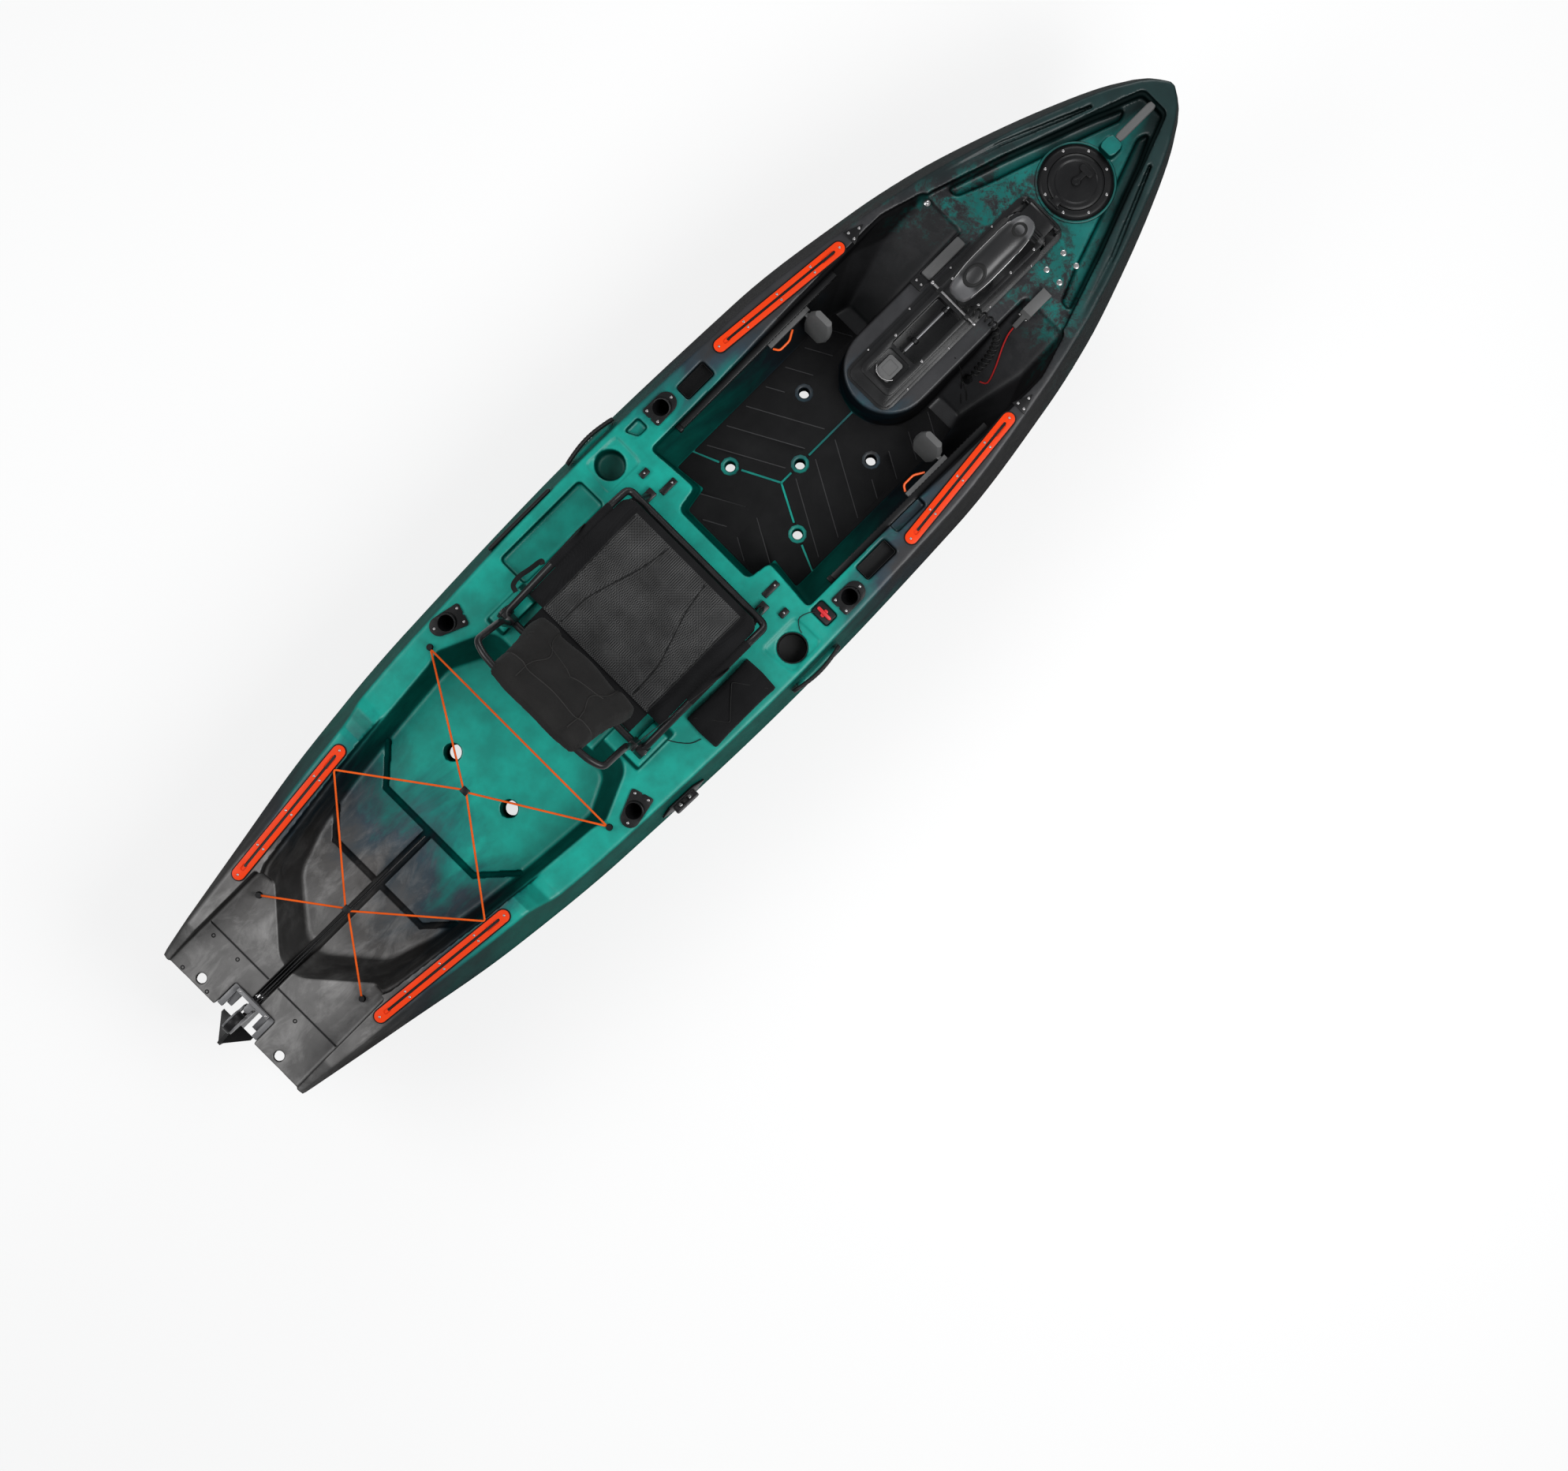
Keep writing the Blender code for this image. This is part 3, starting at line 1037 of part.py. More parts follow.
def make_rudder():
    pin = point(RUDDER_PIN_U, 0, 0)
    low, high = 0.268, 0.331
    bracket = box("rudder_bracket", 0.079, NOTCH_U - GAP, -0.058, 0.058, 0.250, 0.345, "grey_plastic")
    for side in (1, -1):
        wedge = [(0.079, 0.250), (0.079, 0.318), (0.030, 0.300), (0.030, 0.282)]
        faces = sorted((side * 0.041, side * 0.058))
        fuse(bracket, side_prism("wedge", wedge, *faces))
    for z0, z1 in ((low - 0.007, low), (high, high + 0.007)):
        outline = arc(RUDDER_PIN_U, 0, 0.010, 90, 270, 6) + [(0.082, -0.010), (0.082, 0.010)]
        fuse(bracket, prism("lug", outline, z0, z1))
    fuse(bracket, cylinder("pin", pin + Vector((0, 0, low - 0.004)), pin + Vector((0, 0, high + 0.004)),
                           RUDDER_PIN_R, 12))

    inner = RUDDER_THICKNESS / 2 + 0.0010
    outer = inner + 0.006
    head = cylinder("rudder_head", pin + Vector((0, 0, low + 0.0004)), pin + Vector((0, 0, high - 0.0004)),
                    0.011, 16, "black_plastic")
    for side in (1, -1):
        plate = [(0.062, low + 0.004), (0.062, high - 0.004), (0.046, high + 0.004)]
        plate += arc(RUDDER_LIFT_U, RUDDER_LIFT_Z, RUDDER_DISC_R - 0.004, -15, 215, 8)
        plate += [(0.044, low + 0.004)]
        fuse(head, side_prism("cheek", plate, *sorted((side * inner, side * outer))))
    fuse(head, box("bridge", 0.0525, 0.062, -outer, outer, low + 0.006, high - 0.006))
    cut(head, cylinder("bore", pin + Vector((0, 0, 0.2)), pin + Vector((0, 0, 0.4)),
                       RUDDER_PIN_R + 0.0005, 12))
    axle = point(RUDDER_LIFT_U, 0, RUDDER_LIFT_Z)
    fuse(head, cylinder("axle", axle - Vector((0, outer - 0.001, 0)), axle + Vector((0, outer - 0.001, 0)),
                        0.0055, 12))
    origin_at(head, point(RUDDER_PIN_U, 0, low))

    half = RUDDER_THICKNESS / 2
    arm = [(-0.012, 0.330), (-0.010, 0.240), (-0.030, 0.205), (-0.085, 0.172), (-0.098, 0.150),
           (-0.098, -0.085)]
    arm += arc(-0.075, -0.089, 0.023, 180, 270, 3) + arc(0.040, -0.085, 0.027, 270, 345, 3)
    arm += [(0.078, 0.040), (0.080, 0.172), (0.060, 0.205), (0.030, 0.300), (0.034, 0.340)]
    blade = side_prism("rudder_blade", arm, -half * 0.55, half * 0.55, "black_plastic")
    slot = [(0.002, 0.292), (0.014, 0.292), (0.038, 0.214), (0.006, 0.214)]
    cut(blade, side_prism("slot", slot, -0.05, 0.05))
    fuse(blade, cylinder("disc", axle - Vector((0, half, 0)), axle + Vector((0, half, 0)),
                         RUDDER_DISC_R, 24))
    for side in (1, -1):
        wing = [(-0.092, side * 0.003), (-0.014, side * 0.003), (-0.014, side * 0.058),
                (-0.024, side * 0.058)]
        fuse(blade, prism("wing", wing, 0.160, 0.165))
    cut(blade, cylinder("bore", axle - Vector((0, 0.05, 0)), axle + Vector((0, 0.05, 0)), 0.0060, 12))
    origin_at(blade, axle)


SEAT_SIDE = [(SEAT_PIVOT_U, SEAT_PIVOT_Z), (1.490, 0.455), (1.625, 0.490), (1.700, 0.500), (1.765, 0.487),
             (1.822, 0.450)]


def make_seat():
    """The base frame is one closed loop of tube; the pan hangs inside it, the back folds behind."""
    half = SEAT_HALF
    loop = [(u, half, z) for u, z in SEAT_SIDE] + [(u, -half, z) for u, z in reversed(SEAT_SIDE)]
    frame = applied(tube("seat_frame", [point(*p) for p in loop], SEAT_TUBE_R, "black_metal", 2, True))
    for side in (1, -1):
        foot_top = point(SEAT_PIVOT_U, side * half, SEAT_PIVOT_Z)
        foot = [(1.318, RISER_Z + GAP), (1.364, RISER_Z + GAP), (1.358, 0.408), (1.352, 0.424),
                (1.330, 0.424), (1.324, 0.408)]
        faces = sorted((side * (half - 0.014), side * (half + 0.014)))
        fuse(frame, side_prism("foot", foot, *faces))
        leg = [point(1.800, side * (half - 0.030), 0.462), point(1.848, side * (half - 0.045), DECK_Z + 0.012)]
        fuse(frame, cylinder("leg", leg[0], leg[1], 0.009, 10))
        shoe = box("shoe", 1.832, 1.868, side * (half - 0.045) - 0.014, side * (half - 0.045) + 0.014,
                   DECK_Z + GAP, DECK_Z + 0.016)
        fuse(frame, shoe)
    fuse(frame, cylinder("cross", point(1.800, -half + 0.028, 0.463), point(1.800, half - 0.028, 0.463), 0.009, 10))
    frame.data.materials.clear()
    frame.data.materials.append(material("black_metal"))
    make_seat_pan()
    make_seat_back()


def pan_height(u):
    return faired([(1.425, 0.424), (1.50, 0.428), (1.60, 0.444), (1.70, 0.468), (1.78, 0.470), (1.808, 0.462)], u)


def make_seat_pan():
    """A sprung mesh pan with a crown, drawn-in channels and raised side wings."""
    reach = SEAT_HALF - SEAT_TUBE_R - 2 * GAP
    columns = [-reach, -0.225, -0.196, -0.186, -0.115, -0.105, 0.0, 0.105, 0.115, 0.186, 0.196, 0.225, reach]
    lifts = [0.020, 0.030, 0.010, 0.012, 0.014, 0.009, 0.014, 0.009, 0.014, 0.012, 0.010, 0.030, 0.020]
    stations = [1.425, 1.435, 1.50, 1.56, 1.63, 1.70, 1.76, 1.782]
    rings = []
    for n, u in enumerate(stations):
        edge = 0.5 if n in (0, len(stations) - 1) else 1.0
        top = []
        low = []
        for v, lift in zip(columns, lifts):
            drawn = 1.0 - 0.25 * (u - 1.425) if abs(abs(v) - 0.11) < 0.01 else 1.0
            base = pan_height(u)
            if abs(v) == reach:
                base = straight(SEAT_SIDE, u) - 0.008
            top.append(point(u, v * drawn, base + min(lift, 0.012 if abs(v) == reach else lift) * edge))
            low.append(point(u, v * drawn, base - 0.008 * edge))
        rings.append(top + low[::-1])
    pan = loft("seat_pan", rings, "grey_mesh")
    return smooth(pan, 60)


BACK_SIDE = [(SEAT_PIVOT_U - 0.012, SEAT_PIVOT_Z + 0.030), (1.326, 0.560), (1.328, 0.690), (1.290, 0.755),
             (1.252, 0.800)]


def make_seat_back():
    half = SEAT_HALF - 0.030
    port = [(u, half, z) for u, z in BACK_SIDE]
    top = [(1.240, half - 0.035, 0.812), (1.236, half - 0.080, 0.815)]
    route = port + top + [(u, -v, z) for u, v, z in reversed(port + top)]
    frame = applied(tube("seat_back_frame", [point(*p) for p in route], SEAT_TUBE_R - 0.001, "black_metal", 2))
    for side in (1, -1):
        low, high = sorted((side * (SEAT_HALF - 0.040), side * (SEAT_HALF - 0.0150)))
        lug = [(SEAT_PIVOT_U - 0.020, SEAT_PIVOT_Z + 0.036)]
        lug += arc(SEAT_PIVOT_U, SEAT_PIVOT_Z, 0.0165, 170, 370, 8) + [(SEAT_PIVOT_U + 0.004, SEAT_PIVOT_Z + 0.040)]
        fuse(frame, side_prism("lug", lug, low, high))
    cut(frame, cylinder("bore", point(SEAT_PIVOT_U, -SEAT_HALF, SEAT_PIVOT_Z),
                        point(SEAT_PIVOT_U, SEAT_HALF, SEAT_PIVOT_Z), SEAT_TUBE_R + 0.0006, 16))
    frame.data.materials.clear()
    frame.data.materials.append(material("black_metal"))
    pivot = point(SEAT_PIVOT_U, 0, SEAT_PIVOT_Z)
    origin_at(frame, pivot)

    rows = [(1.392, 0.492, 0.178, 0.016), (1.398, 0.505, 0.186, 0.024), (1.392, 0.560, 0.190, 0.034),
            (1.374, 0.620, 0.188, 0.030), (1.352, 0.672, 0.180, 0.026), (1.318, 0.722, 0.172, 0.028),
            (1.275, 0.780, 0.168, 0.034), (1.244, 0.812, 0.164, 0.036), (1.226, 0.826, 0.150, 0.020)]
    rings = []
    for n, (u, z, wide, thick) in enumerate(rows):
        after = rows[min(n + 1, len(rows) - 1)]
        before = rows[max(n - 1, 0)]
        along = Vector((after[0] - before[0], after[1] - before[1])).normalized()
        out = Vector((along.y, -along.x))
        ring = []
        for share, push in ((-1.0, 0.0), (-0.92, 0.8), (-0.62, 1.0), (-0.56, 0.72), (0.0, 1.0), (0.56, 0.72),
                            (0.62, 1.0), (0.92, 0.8), (1.0, 0.0), (0.9, -0.45), (0.0, -0.5), (-0.9, -0.45)):
            offset = thick * push
            ring.append(point(u + out.x * offset - 0.012, wide * share, z + out.y * offset))
        rings.append(ring)
    pad = loft("seat_back_pad", rings, "black_fabric")
    sleeve = tube("sleeve", [point(*p) for p in route], SEAT_TUBE_R - 0.001 + 0.0006, "black_fabric", 2)
    cut(pad, applied(sleeve))
    origin_at(smooth(pad, 60), pivot)
    for side, word in ((1, "port"), (-1, "starboard")):
        upper = (BACK_SIDE[2][0] + 0.004, half + SEAT_TUBE_R + 0.0009, BACK_SIDE[2][1])
        lower = (1.670, SEAT_HALF + SEAT_TUBE_R + 0.0017, straight(SEAT_SIDE, 1.670))
        rings = []
        share = (1.640 - upper[0]) / (lower[0] - upper[0])
        middle = (1.640, lower[1], upper[2] + (lower[2] - upper[2]) * share)
        for u, v, z in (upper, middle, lower):
            rings.append([point(u, side * (v + out), z + up)
                          for out, up in ((-0.0012, -0.010), (0.0012, -0.010), (0.0012, 0.010), (-0.0012, 0.010))])
        origin_at(loft("seat_strap_" + word, rings, "black_fabric"), pivot)


def make_deck_fittings():
    pouch_rows = [(1.486, 0.30), (1.494, 0.85), (1.545, 1.0), (1.606, 0.82), (1.667, 1.0), (1.718, 0.85),
                  (1.726, 0.30)]
    rings = []
    for u, share in pouch_rows:
        top = DECK_Z + 0.036 * share
        base = DECK_Z + GAP
        middle = -inboard(1.606, 0.11164)
        ring = [point(u, middle + a, z) for a, z in ((-0.056, base), (0.056, base),
                                                     (0.058, base + 0.5 * (top - base)), (0.048, top - 0.004),
                                                     (0.0, top), (-0.048, top - 0.004),
                                                     (-0.058, base + 0.5 * (top - base)))]
        rings.append(ring)
    smooth(loft("tackle_pouch", rings, "black_fabric"), 60)
    floor = DECK_Z - 0.014 + GAP
    plate = prism("safety_switch", switch_outline(0.002), floor, floor + 0.008, "black_plastic")
    bevelled(plate, 0.0015)
    clip_z = floor + 0.008 + GAP
    u, v = CUP_U + 0.129, -inboard(CUP_U + 0.129, 0.10336)
    clip = prism("safety_clip", rounded_outline(u - 0.005, u + 0.005, v - 0.025, v + 0.025, 0.004, 2), clip_z,
                 clip_z + 0.010, "red_plastic")
    fuse(clip, prism("stem", rounded_outline(u - 0.012, u + 0.012, v - 0.006, v + 0.006, 0.004, 2), clip_z,
                     clip_z + 0.006))
    origin_at(clip, point(u, v, clip_z))
    keeper_z = DECK_Z - 0.022 + GAP
    inner = paddle_ledge_v() + GAP
    keeper = box("paddle_keeper", 1.430, 1.668, inner, inner + 0.0117, keeper_z, keeper_z + 0.016,
                 "black_rubber")
    bevelled(keeper, 0.004)
    for side, word in ((1, "port"), (-1, "starboard")):
        anchor_u = FRONT_RAIL_END_U + 0.045
        middle = (anchor_u, side * inboard(anchor_u, 0.05803))
        seat = straight(SHEER_Z, middle[0]) + GAP
        outline = [(-0.020, -0.018), (0.022, 0.0), (-0.020, 0.018)]
        shape = grown([(a, b * side) for a, b in outline], 0.004)
        plate = loft("anchor_plate_" + word, [[Vector((a, b, z)) for a, b in shape] for z in (0.0, 0.004)],
                     "black_plastic")
        placed(plate, Matrix.Translation(point(middle[0], middle[1], seat))
               @ Matrix.Rotation(-DECK_PITCH, 4, "Y"))
    make_side_cleat()


def make_side_cleat():
    """A padeye on the starboard side, leaning with the hull."""
    u0, u1 = 1.252, 1.398
    z = 0.298
    shape = grown([(u0 - 1.325, 0.0), (-0.045, -0.020), (0.045, -0.020), (u1 - 1.325, 0.0), (0.045, 0.020),
                   (-0.045, 0.020)], 0.003)
    plate = loft("side_cleat", [[Vector((a, b, h)) for a, b in shape] for h in (0.0, 0.006)], "black_plastic")
    arch = loft("arch", [[Vector((a, b, h)) for a, b in rounded_outline(-0.040, 0.040, -0.012, 0.012, 0.008, 2)]
                         for h in (0.004, 0.024)])
    fuse(plate, arch)
    cut(plate, loft("eye", [[Vector((a, b, h)) for a, h in rounded_outline(-0.022, 0.022, 0.008, 0.018, 0.004, 2)]
                            for b in (-0.03, 0.03)]))
    lean = math.atan2(0.030, 0.115)
    face = Matrix.Rotation(math.pi / 2 - lean, 4, "X")
    sweep = Matrix.Rotation(-0.028, 4, "Z")
    return placed(plate, Matrix.Translation(point(1.325, -inboard(1.325, 0.01247), z)) @ sweep @ face)


BUNGEE_STOPS = [(0.310, inboard(0.310, 0.13485), PLATFORM_Z - PLATFORM_STEP + 0.014), (0.455, 0.005, 0.368),
                (0.708, inboard(0.708, 0.10847), STERN_RAIL_Z + 0.0065), (0.918, 0.005, 0.395),
                (1.125, inboard(1.125, 0.09415), DECK_Z + 0.014)]
BUNGEE_BEND = 0.006


def laced(stops, bend, spacing):
    """A route of straight runs with a short rounded turn at each stop."""
    route = [stops[0]]
    for before, here, after in zip(stops, stops[1:], stops[2:]):
        start = here + (before - here).normalized() * bend
        end = here + (after - here).normalized() * bend
        steps = round((start - route[-1]).length / spacing)
        route += [route[-1].lerp(start, (i + 1) / (steps + 1)) for i in range(steps)]
        route += [start, start * 0.25 + here * 0.5 + end * 0.25, end]
    return route + [stops[-1]]


def make_bungee():
    """One elastic cord laced across the tank well, meeting itself in two clips."""
    stops = [point(*stop) for stop in BUNGEE_STOPS]
    stops += [Vector((p.x, -p.y, p.z)) for p in reversed(stops)]
    tube("bungee", laced(stops, BUNGEE_BEND, 0.40), BUNGEE_R, "orange_cord", 2)
    for side, word in ((1, "port"), (-1, "starboard")):
        for place, (u, v, z), step in (("rear", BUNGEE_STOPS[0], (-0.0040, 0.0053)),
                                       ("front", BUNGEE_STOPS[-1], (0.0017, 0.0065))):
            rows = [(0, 0.010), (0.004, 0.010), (0.008, 0.006), (0.018, 0.006), (0.021, 0.008)]
            foot = point(u + step[0], side * (v + step[1]), z - 0.014 + GAP)
            smooth(turned("bungee_eye_" + place + "_" + word, rows, foot, (0, 0, 1), 12, "black_plastic"))
    for place, (u, v, z) in (("rear", BUNGEE_STOPS[1]), ("front", BUNGEE_STOPS[3])):
        clip = box("bungee_clip_" + place, u - 0.010, u + 0.010, -0.011, 0.011, z - 0.0065, z + 0.0065,
                   "black_plastic")
        for side in (1, -1):
            faces = sorted((side * 0.0034, side * 0.02))
            cut(clip, box("groove", u - 0.02, u + 0.02, *faces, z - 0.0042, z + 0.0042))


def make_kayak():
    clear_scene()
    make_hull()
    make_skeg()
    make_mat()
    make_rails()
    for name, (u, v) in rod_holder_places().items():
        make_rod_holder(name, u, v)
    make_hatch()
    make_handles()
    make_foot_braces()
    make_motor_tray()
    make_carriage()
    make_release_handle()
    make_drive()
    make_wiring(*make_curly_cord())
    make_rudder()
    make_seat()
    make_deck_fittings()
    make_bungee()


make_kayak()
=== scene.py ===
# Motorized fishing kayak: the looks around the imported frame. Metres, +X to the bow, +Y to port.
# Station u runs from the transom to the bow, v to port from the middle line, z up from the keel.

import json
import math

import bmesh
import bpy
import numpy as np
from mathutils import Matrix, Vector
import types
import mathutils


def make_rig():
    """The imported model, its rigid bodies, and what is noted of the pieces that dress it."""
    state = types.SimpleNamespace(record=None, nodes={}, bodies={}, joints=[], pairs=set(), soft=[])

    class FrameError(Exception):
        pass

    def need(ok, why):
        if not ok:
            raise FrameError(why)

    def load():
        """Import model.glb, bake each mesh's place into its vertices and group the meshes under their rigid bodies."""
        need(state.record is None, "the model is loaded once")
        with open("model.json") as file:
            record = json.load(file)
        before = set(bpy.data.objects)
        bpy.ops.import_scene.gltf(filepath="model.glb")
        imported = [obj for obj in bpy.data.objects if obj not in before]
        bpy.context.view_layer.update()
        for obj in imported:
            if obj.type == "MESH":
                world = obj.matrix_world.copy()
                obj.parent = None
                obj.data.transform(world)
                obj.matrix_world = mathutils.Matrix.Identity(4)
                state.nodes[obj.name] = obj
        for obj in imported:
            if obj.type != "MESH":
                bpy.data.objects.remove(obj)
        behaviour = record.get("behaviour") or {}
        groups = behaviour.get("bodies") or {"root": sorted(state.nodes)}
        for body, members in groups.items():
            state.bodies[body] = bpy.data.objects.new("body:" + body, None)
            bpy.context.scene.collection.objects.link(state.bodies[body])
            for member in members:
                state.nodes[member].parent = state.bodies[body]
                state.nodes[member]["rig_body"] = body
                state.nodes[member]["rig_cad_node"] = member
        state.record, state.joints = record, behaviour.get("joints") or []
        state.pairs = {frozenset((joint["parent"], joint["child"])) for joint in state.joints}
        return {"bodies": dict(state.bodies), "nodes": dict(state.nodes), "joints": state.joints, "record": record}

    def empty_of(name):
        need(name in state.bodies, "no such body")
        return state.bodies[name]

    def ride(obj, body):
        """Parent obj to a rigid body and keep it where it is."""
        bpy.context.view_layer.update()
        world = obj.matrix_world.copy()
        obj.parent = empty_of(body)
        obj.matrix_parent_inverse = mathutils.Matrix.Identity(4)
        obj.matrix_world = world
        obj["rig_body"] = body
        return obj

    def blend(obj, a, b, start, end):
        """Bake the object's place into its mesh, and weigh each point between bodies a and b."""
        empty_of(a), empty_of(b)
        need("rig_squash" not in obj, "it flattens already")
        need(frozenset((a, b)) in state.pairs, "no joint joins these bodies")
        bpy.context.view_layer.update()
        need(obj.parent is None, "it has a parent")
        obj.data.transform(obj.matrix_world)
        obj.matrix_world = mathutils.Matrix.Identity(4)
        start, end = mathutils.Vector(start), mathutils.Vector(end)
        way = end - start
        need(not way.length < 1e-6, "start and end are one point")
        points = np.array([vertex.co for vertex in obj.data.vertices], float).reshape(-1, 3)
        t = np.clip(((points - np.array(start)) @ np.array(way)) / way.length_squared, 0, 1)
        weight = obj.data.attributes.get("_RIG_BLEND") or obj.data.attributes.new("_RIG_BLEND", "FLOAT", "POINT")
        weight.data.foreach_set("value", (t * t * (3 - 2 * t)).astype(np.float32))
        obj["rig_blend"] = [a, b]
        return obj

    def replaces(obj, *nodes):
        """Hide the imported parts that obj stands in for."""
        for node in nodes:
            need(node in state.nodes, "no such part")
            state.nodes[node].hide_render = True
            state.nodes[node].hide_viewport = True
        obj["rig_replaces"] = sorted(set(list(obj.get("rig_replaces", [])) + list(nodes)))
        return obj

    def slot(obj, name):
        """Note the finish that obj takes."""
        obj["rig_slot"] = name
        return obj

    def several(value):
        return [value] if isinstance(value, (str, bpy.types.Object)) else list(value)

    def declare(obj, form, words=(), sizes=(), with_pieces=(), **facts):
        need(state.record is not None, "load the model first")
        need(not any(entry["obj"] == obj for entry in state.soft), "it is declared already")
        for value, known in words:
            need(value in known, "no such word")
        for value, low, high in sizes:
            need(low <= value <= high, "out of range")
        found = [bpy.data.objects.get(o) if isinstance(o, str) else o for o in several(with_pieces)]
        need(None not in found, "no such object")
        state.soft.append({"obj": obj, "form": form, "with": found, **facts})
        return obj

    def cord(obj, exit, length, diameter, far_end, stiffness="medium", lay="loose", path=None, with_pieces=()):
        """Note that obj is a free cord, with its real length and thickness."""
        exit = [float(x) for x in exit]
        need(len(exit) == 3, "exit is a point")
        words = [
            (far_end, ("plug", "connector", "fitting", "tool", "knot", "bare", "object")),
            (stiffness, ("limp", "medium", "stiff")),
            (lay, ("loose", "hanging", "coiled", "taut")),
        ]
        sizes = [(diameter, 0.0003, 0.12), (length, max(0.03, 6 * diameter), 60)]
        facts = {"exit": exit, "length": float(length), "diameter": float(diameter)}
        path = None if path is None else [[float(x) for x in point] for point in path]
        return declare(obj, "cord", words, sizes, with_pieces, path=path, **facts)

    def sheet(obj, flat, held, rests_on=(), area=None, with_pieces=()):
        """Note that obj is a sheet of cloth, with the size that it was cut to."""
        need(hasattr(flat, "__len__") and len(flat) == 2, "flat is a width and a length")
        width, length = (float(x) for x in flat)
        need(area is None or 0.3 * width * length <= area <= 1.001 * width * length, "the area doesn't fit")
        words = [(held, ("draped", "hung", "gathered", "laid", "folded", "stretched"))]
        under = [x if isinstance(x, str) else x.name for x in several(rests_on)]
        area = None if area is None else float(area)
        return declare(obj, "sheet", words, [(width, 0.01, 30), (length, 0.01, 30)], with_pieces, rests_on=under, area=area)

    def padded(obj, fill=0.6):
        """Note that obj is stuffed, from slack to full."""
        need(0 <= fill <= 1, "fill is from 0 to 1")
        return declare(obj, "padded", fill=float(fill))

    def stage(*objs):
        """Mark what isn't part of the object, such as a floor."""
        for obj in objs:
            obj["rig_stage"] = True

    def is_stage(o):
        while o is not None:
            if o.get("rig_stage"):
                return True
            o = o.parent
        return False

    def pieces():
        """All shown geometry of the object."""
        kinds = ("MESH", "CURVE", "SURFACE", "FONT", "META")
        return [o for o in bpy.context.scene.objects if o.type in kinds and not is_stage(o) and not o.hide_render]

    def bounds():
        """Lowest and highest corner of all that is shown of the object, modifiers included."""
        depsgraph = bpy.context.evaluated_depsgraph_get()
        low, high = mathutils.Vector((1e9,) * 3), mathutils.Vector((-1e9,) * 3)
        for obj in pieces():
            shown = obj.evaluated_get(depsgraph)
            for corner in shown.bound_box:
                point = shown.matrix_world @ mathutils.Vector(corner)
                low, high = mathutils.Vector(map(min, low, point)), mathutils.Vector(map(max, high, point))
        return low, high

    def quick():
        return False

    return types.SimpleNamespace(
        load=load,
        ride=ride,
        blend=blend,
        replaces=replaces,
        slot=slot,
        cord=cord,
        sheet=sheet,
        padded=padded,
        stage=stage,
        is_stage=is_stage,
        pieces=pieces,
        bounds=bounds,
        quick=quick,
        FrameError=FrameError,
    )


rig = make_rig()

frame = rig.load()
cadBox = [list(corner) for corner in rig.bounds()]
nodes = frame["nodes"]
hullLength = 3.66
bothSides = ((1, "port"), (-1, "starboard"))
upward = (0, 0, 1)
clearZ = 0.62  # above everything that is cut from the deck
for spare in ("Cube", "Light", "Camera"):
    if spare in bpy.data.objects:
        bpy.data.objects.remove(bpy.data.objects[spare])


def at(u, v, z):
    return Vector((u - hullLength / 2, v, z))


def between(side, a, b):
    # two distances from the middle line on one side, the smaller v first
    return sorted((side * a, side * b))


def lengthOf(route):
    return sum((b - a).length for a, b in zip(route, route[1:]))


def cornerBend(start, corner, end, steps):
    # points from start to end, drawn towards the corner between them
    shares = [n / steps for n in range(steps + 1)]
    return [start * (1 - t) ** 2 + corner * 2 * t * (1 - t) + end * t * t for t in shares]


def fullOval(steps, acrossPower, upPower):
    # the cosines and sines of an oval that is fuller towards its corners
    turns = [2 * math.pi * i / steps for i in range(steps)]
    return [(math.copysign(abs(math.cos(a)) ** acrossPower, math.cos(a)),
             math.copysign(abs(math.sin(a)) ** upPower, math.sin(a))) for a in turns]


def addObject(name, mesh):
    made = bpy.data.objects.new(name, mesh)
    bpy.context.scene.collection.objects.link(made)
    return made


def meshFrom(name, points, faces):
    built = bmesh.new()
    corners = [built.verts.new(p) for p in points]
    for face in faces:
        built.faces.new([corners[i] for i in face])
    built.normal_update()
    bmesh.ops.triangulate(built, faces=[f for f in built.faces if len(f.verts) > 4])
    bmesh.ops.recalc_face_normals(built, faces=built.faces)
    mesh = bpy.data.meshes.new(name)
    built.to_mesh(mesh)
    built.free()
    return addObject(name, mesh)


def loft(name, rings, capped=True):
    count = len(rings[0])
    points = [p for ring in rings for p in ring]
    faces = []
    if capped:
        faces = [list(range(count)), list(range((len(rings) - 1) * count, len(rings) * count))]
    for row in range(len(rings) - 1):
        for i in range(count):
            j = (i + 1) % count
            low, high = row * count, (row + 1) * count
            faces.append([low + i, low + j, high + j, high + i])
    return meshFrom(name, points, faces)


def prism(name, outline, z0, z1):
    return loft(name, [[at(u, v, z) for u, v in outline] for z in (z0, z1)])


def sidePrism(name, outline, v0, v1):
    return loft(name, [[at(u, v, z) for u, z in outline] for v in (v0, v1)])


def block(name, u0, u1, v0, v1, z0, z1):
    return prism(name, [(u0, v0), (u1, v0), (u1, v1), (u0, v1)], z0, z1)


def turned(name, profile, centre, axis, sides=32):
    # profile rows are the distance along the axis and the radius there
    axis = Vector(axis).normalized()
    across = axis.orthogonal().normalized()
    other = axis.cross(across)
    turns = [2 * math.pi * i / sides for i in range(sides)]
    rings = []
    for along, radius in profile:
        middle = Vector(centre) + axis * along
        rings.append([middle + across * radius * math.cos(a) + other * radius * math.sin(a) for a in turns])
    return loft(name, rings)


def rod(name, start, end, radius, sides=24):
    start, end = Vector(start), Vector(end)
    return turned(name, [(0, radius), ((end - start).length, radius)], start, end - start, sides)


def arc(u, v, radius, start, end, steps):
    turns = [math.radians(start + (end - start) * i / steps) for i in range(steps + 1)]
    return [(u + radius * math.cos(a), v + radius * math.sin(a)) for a in turns]


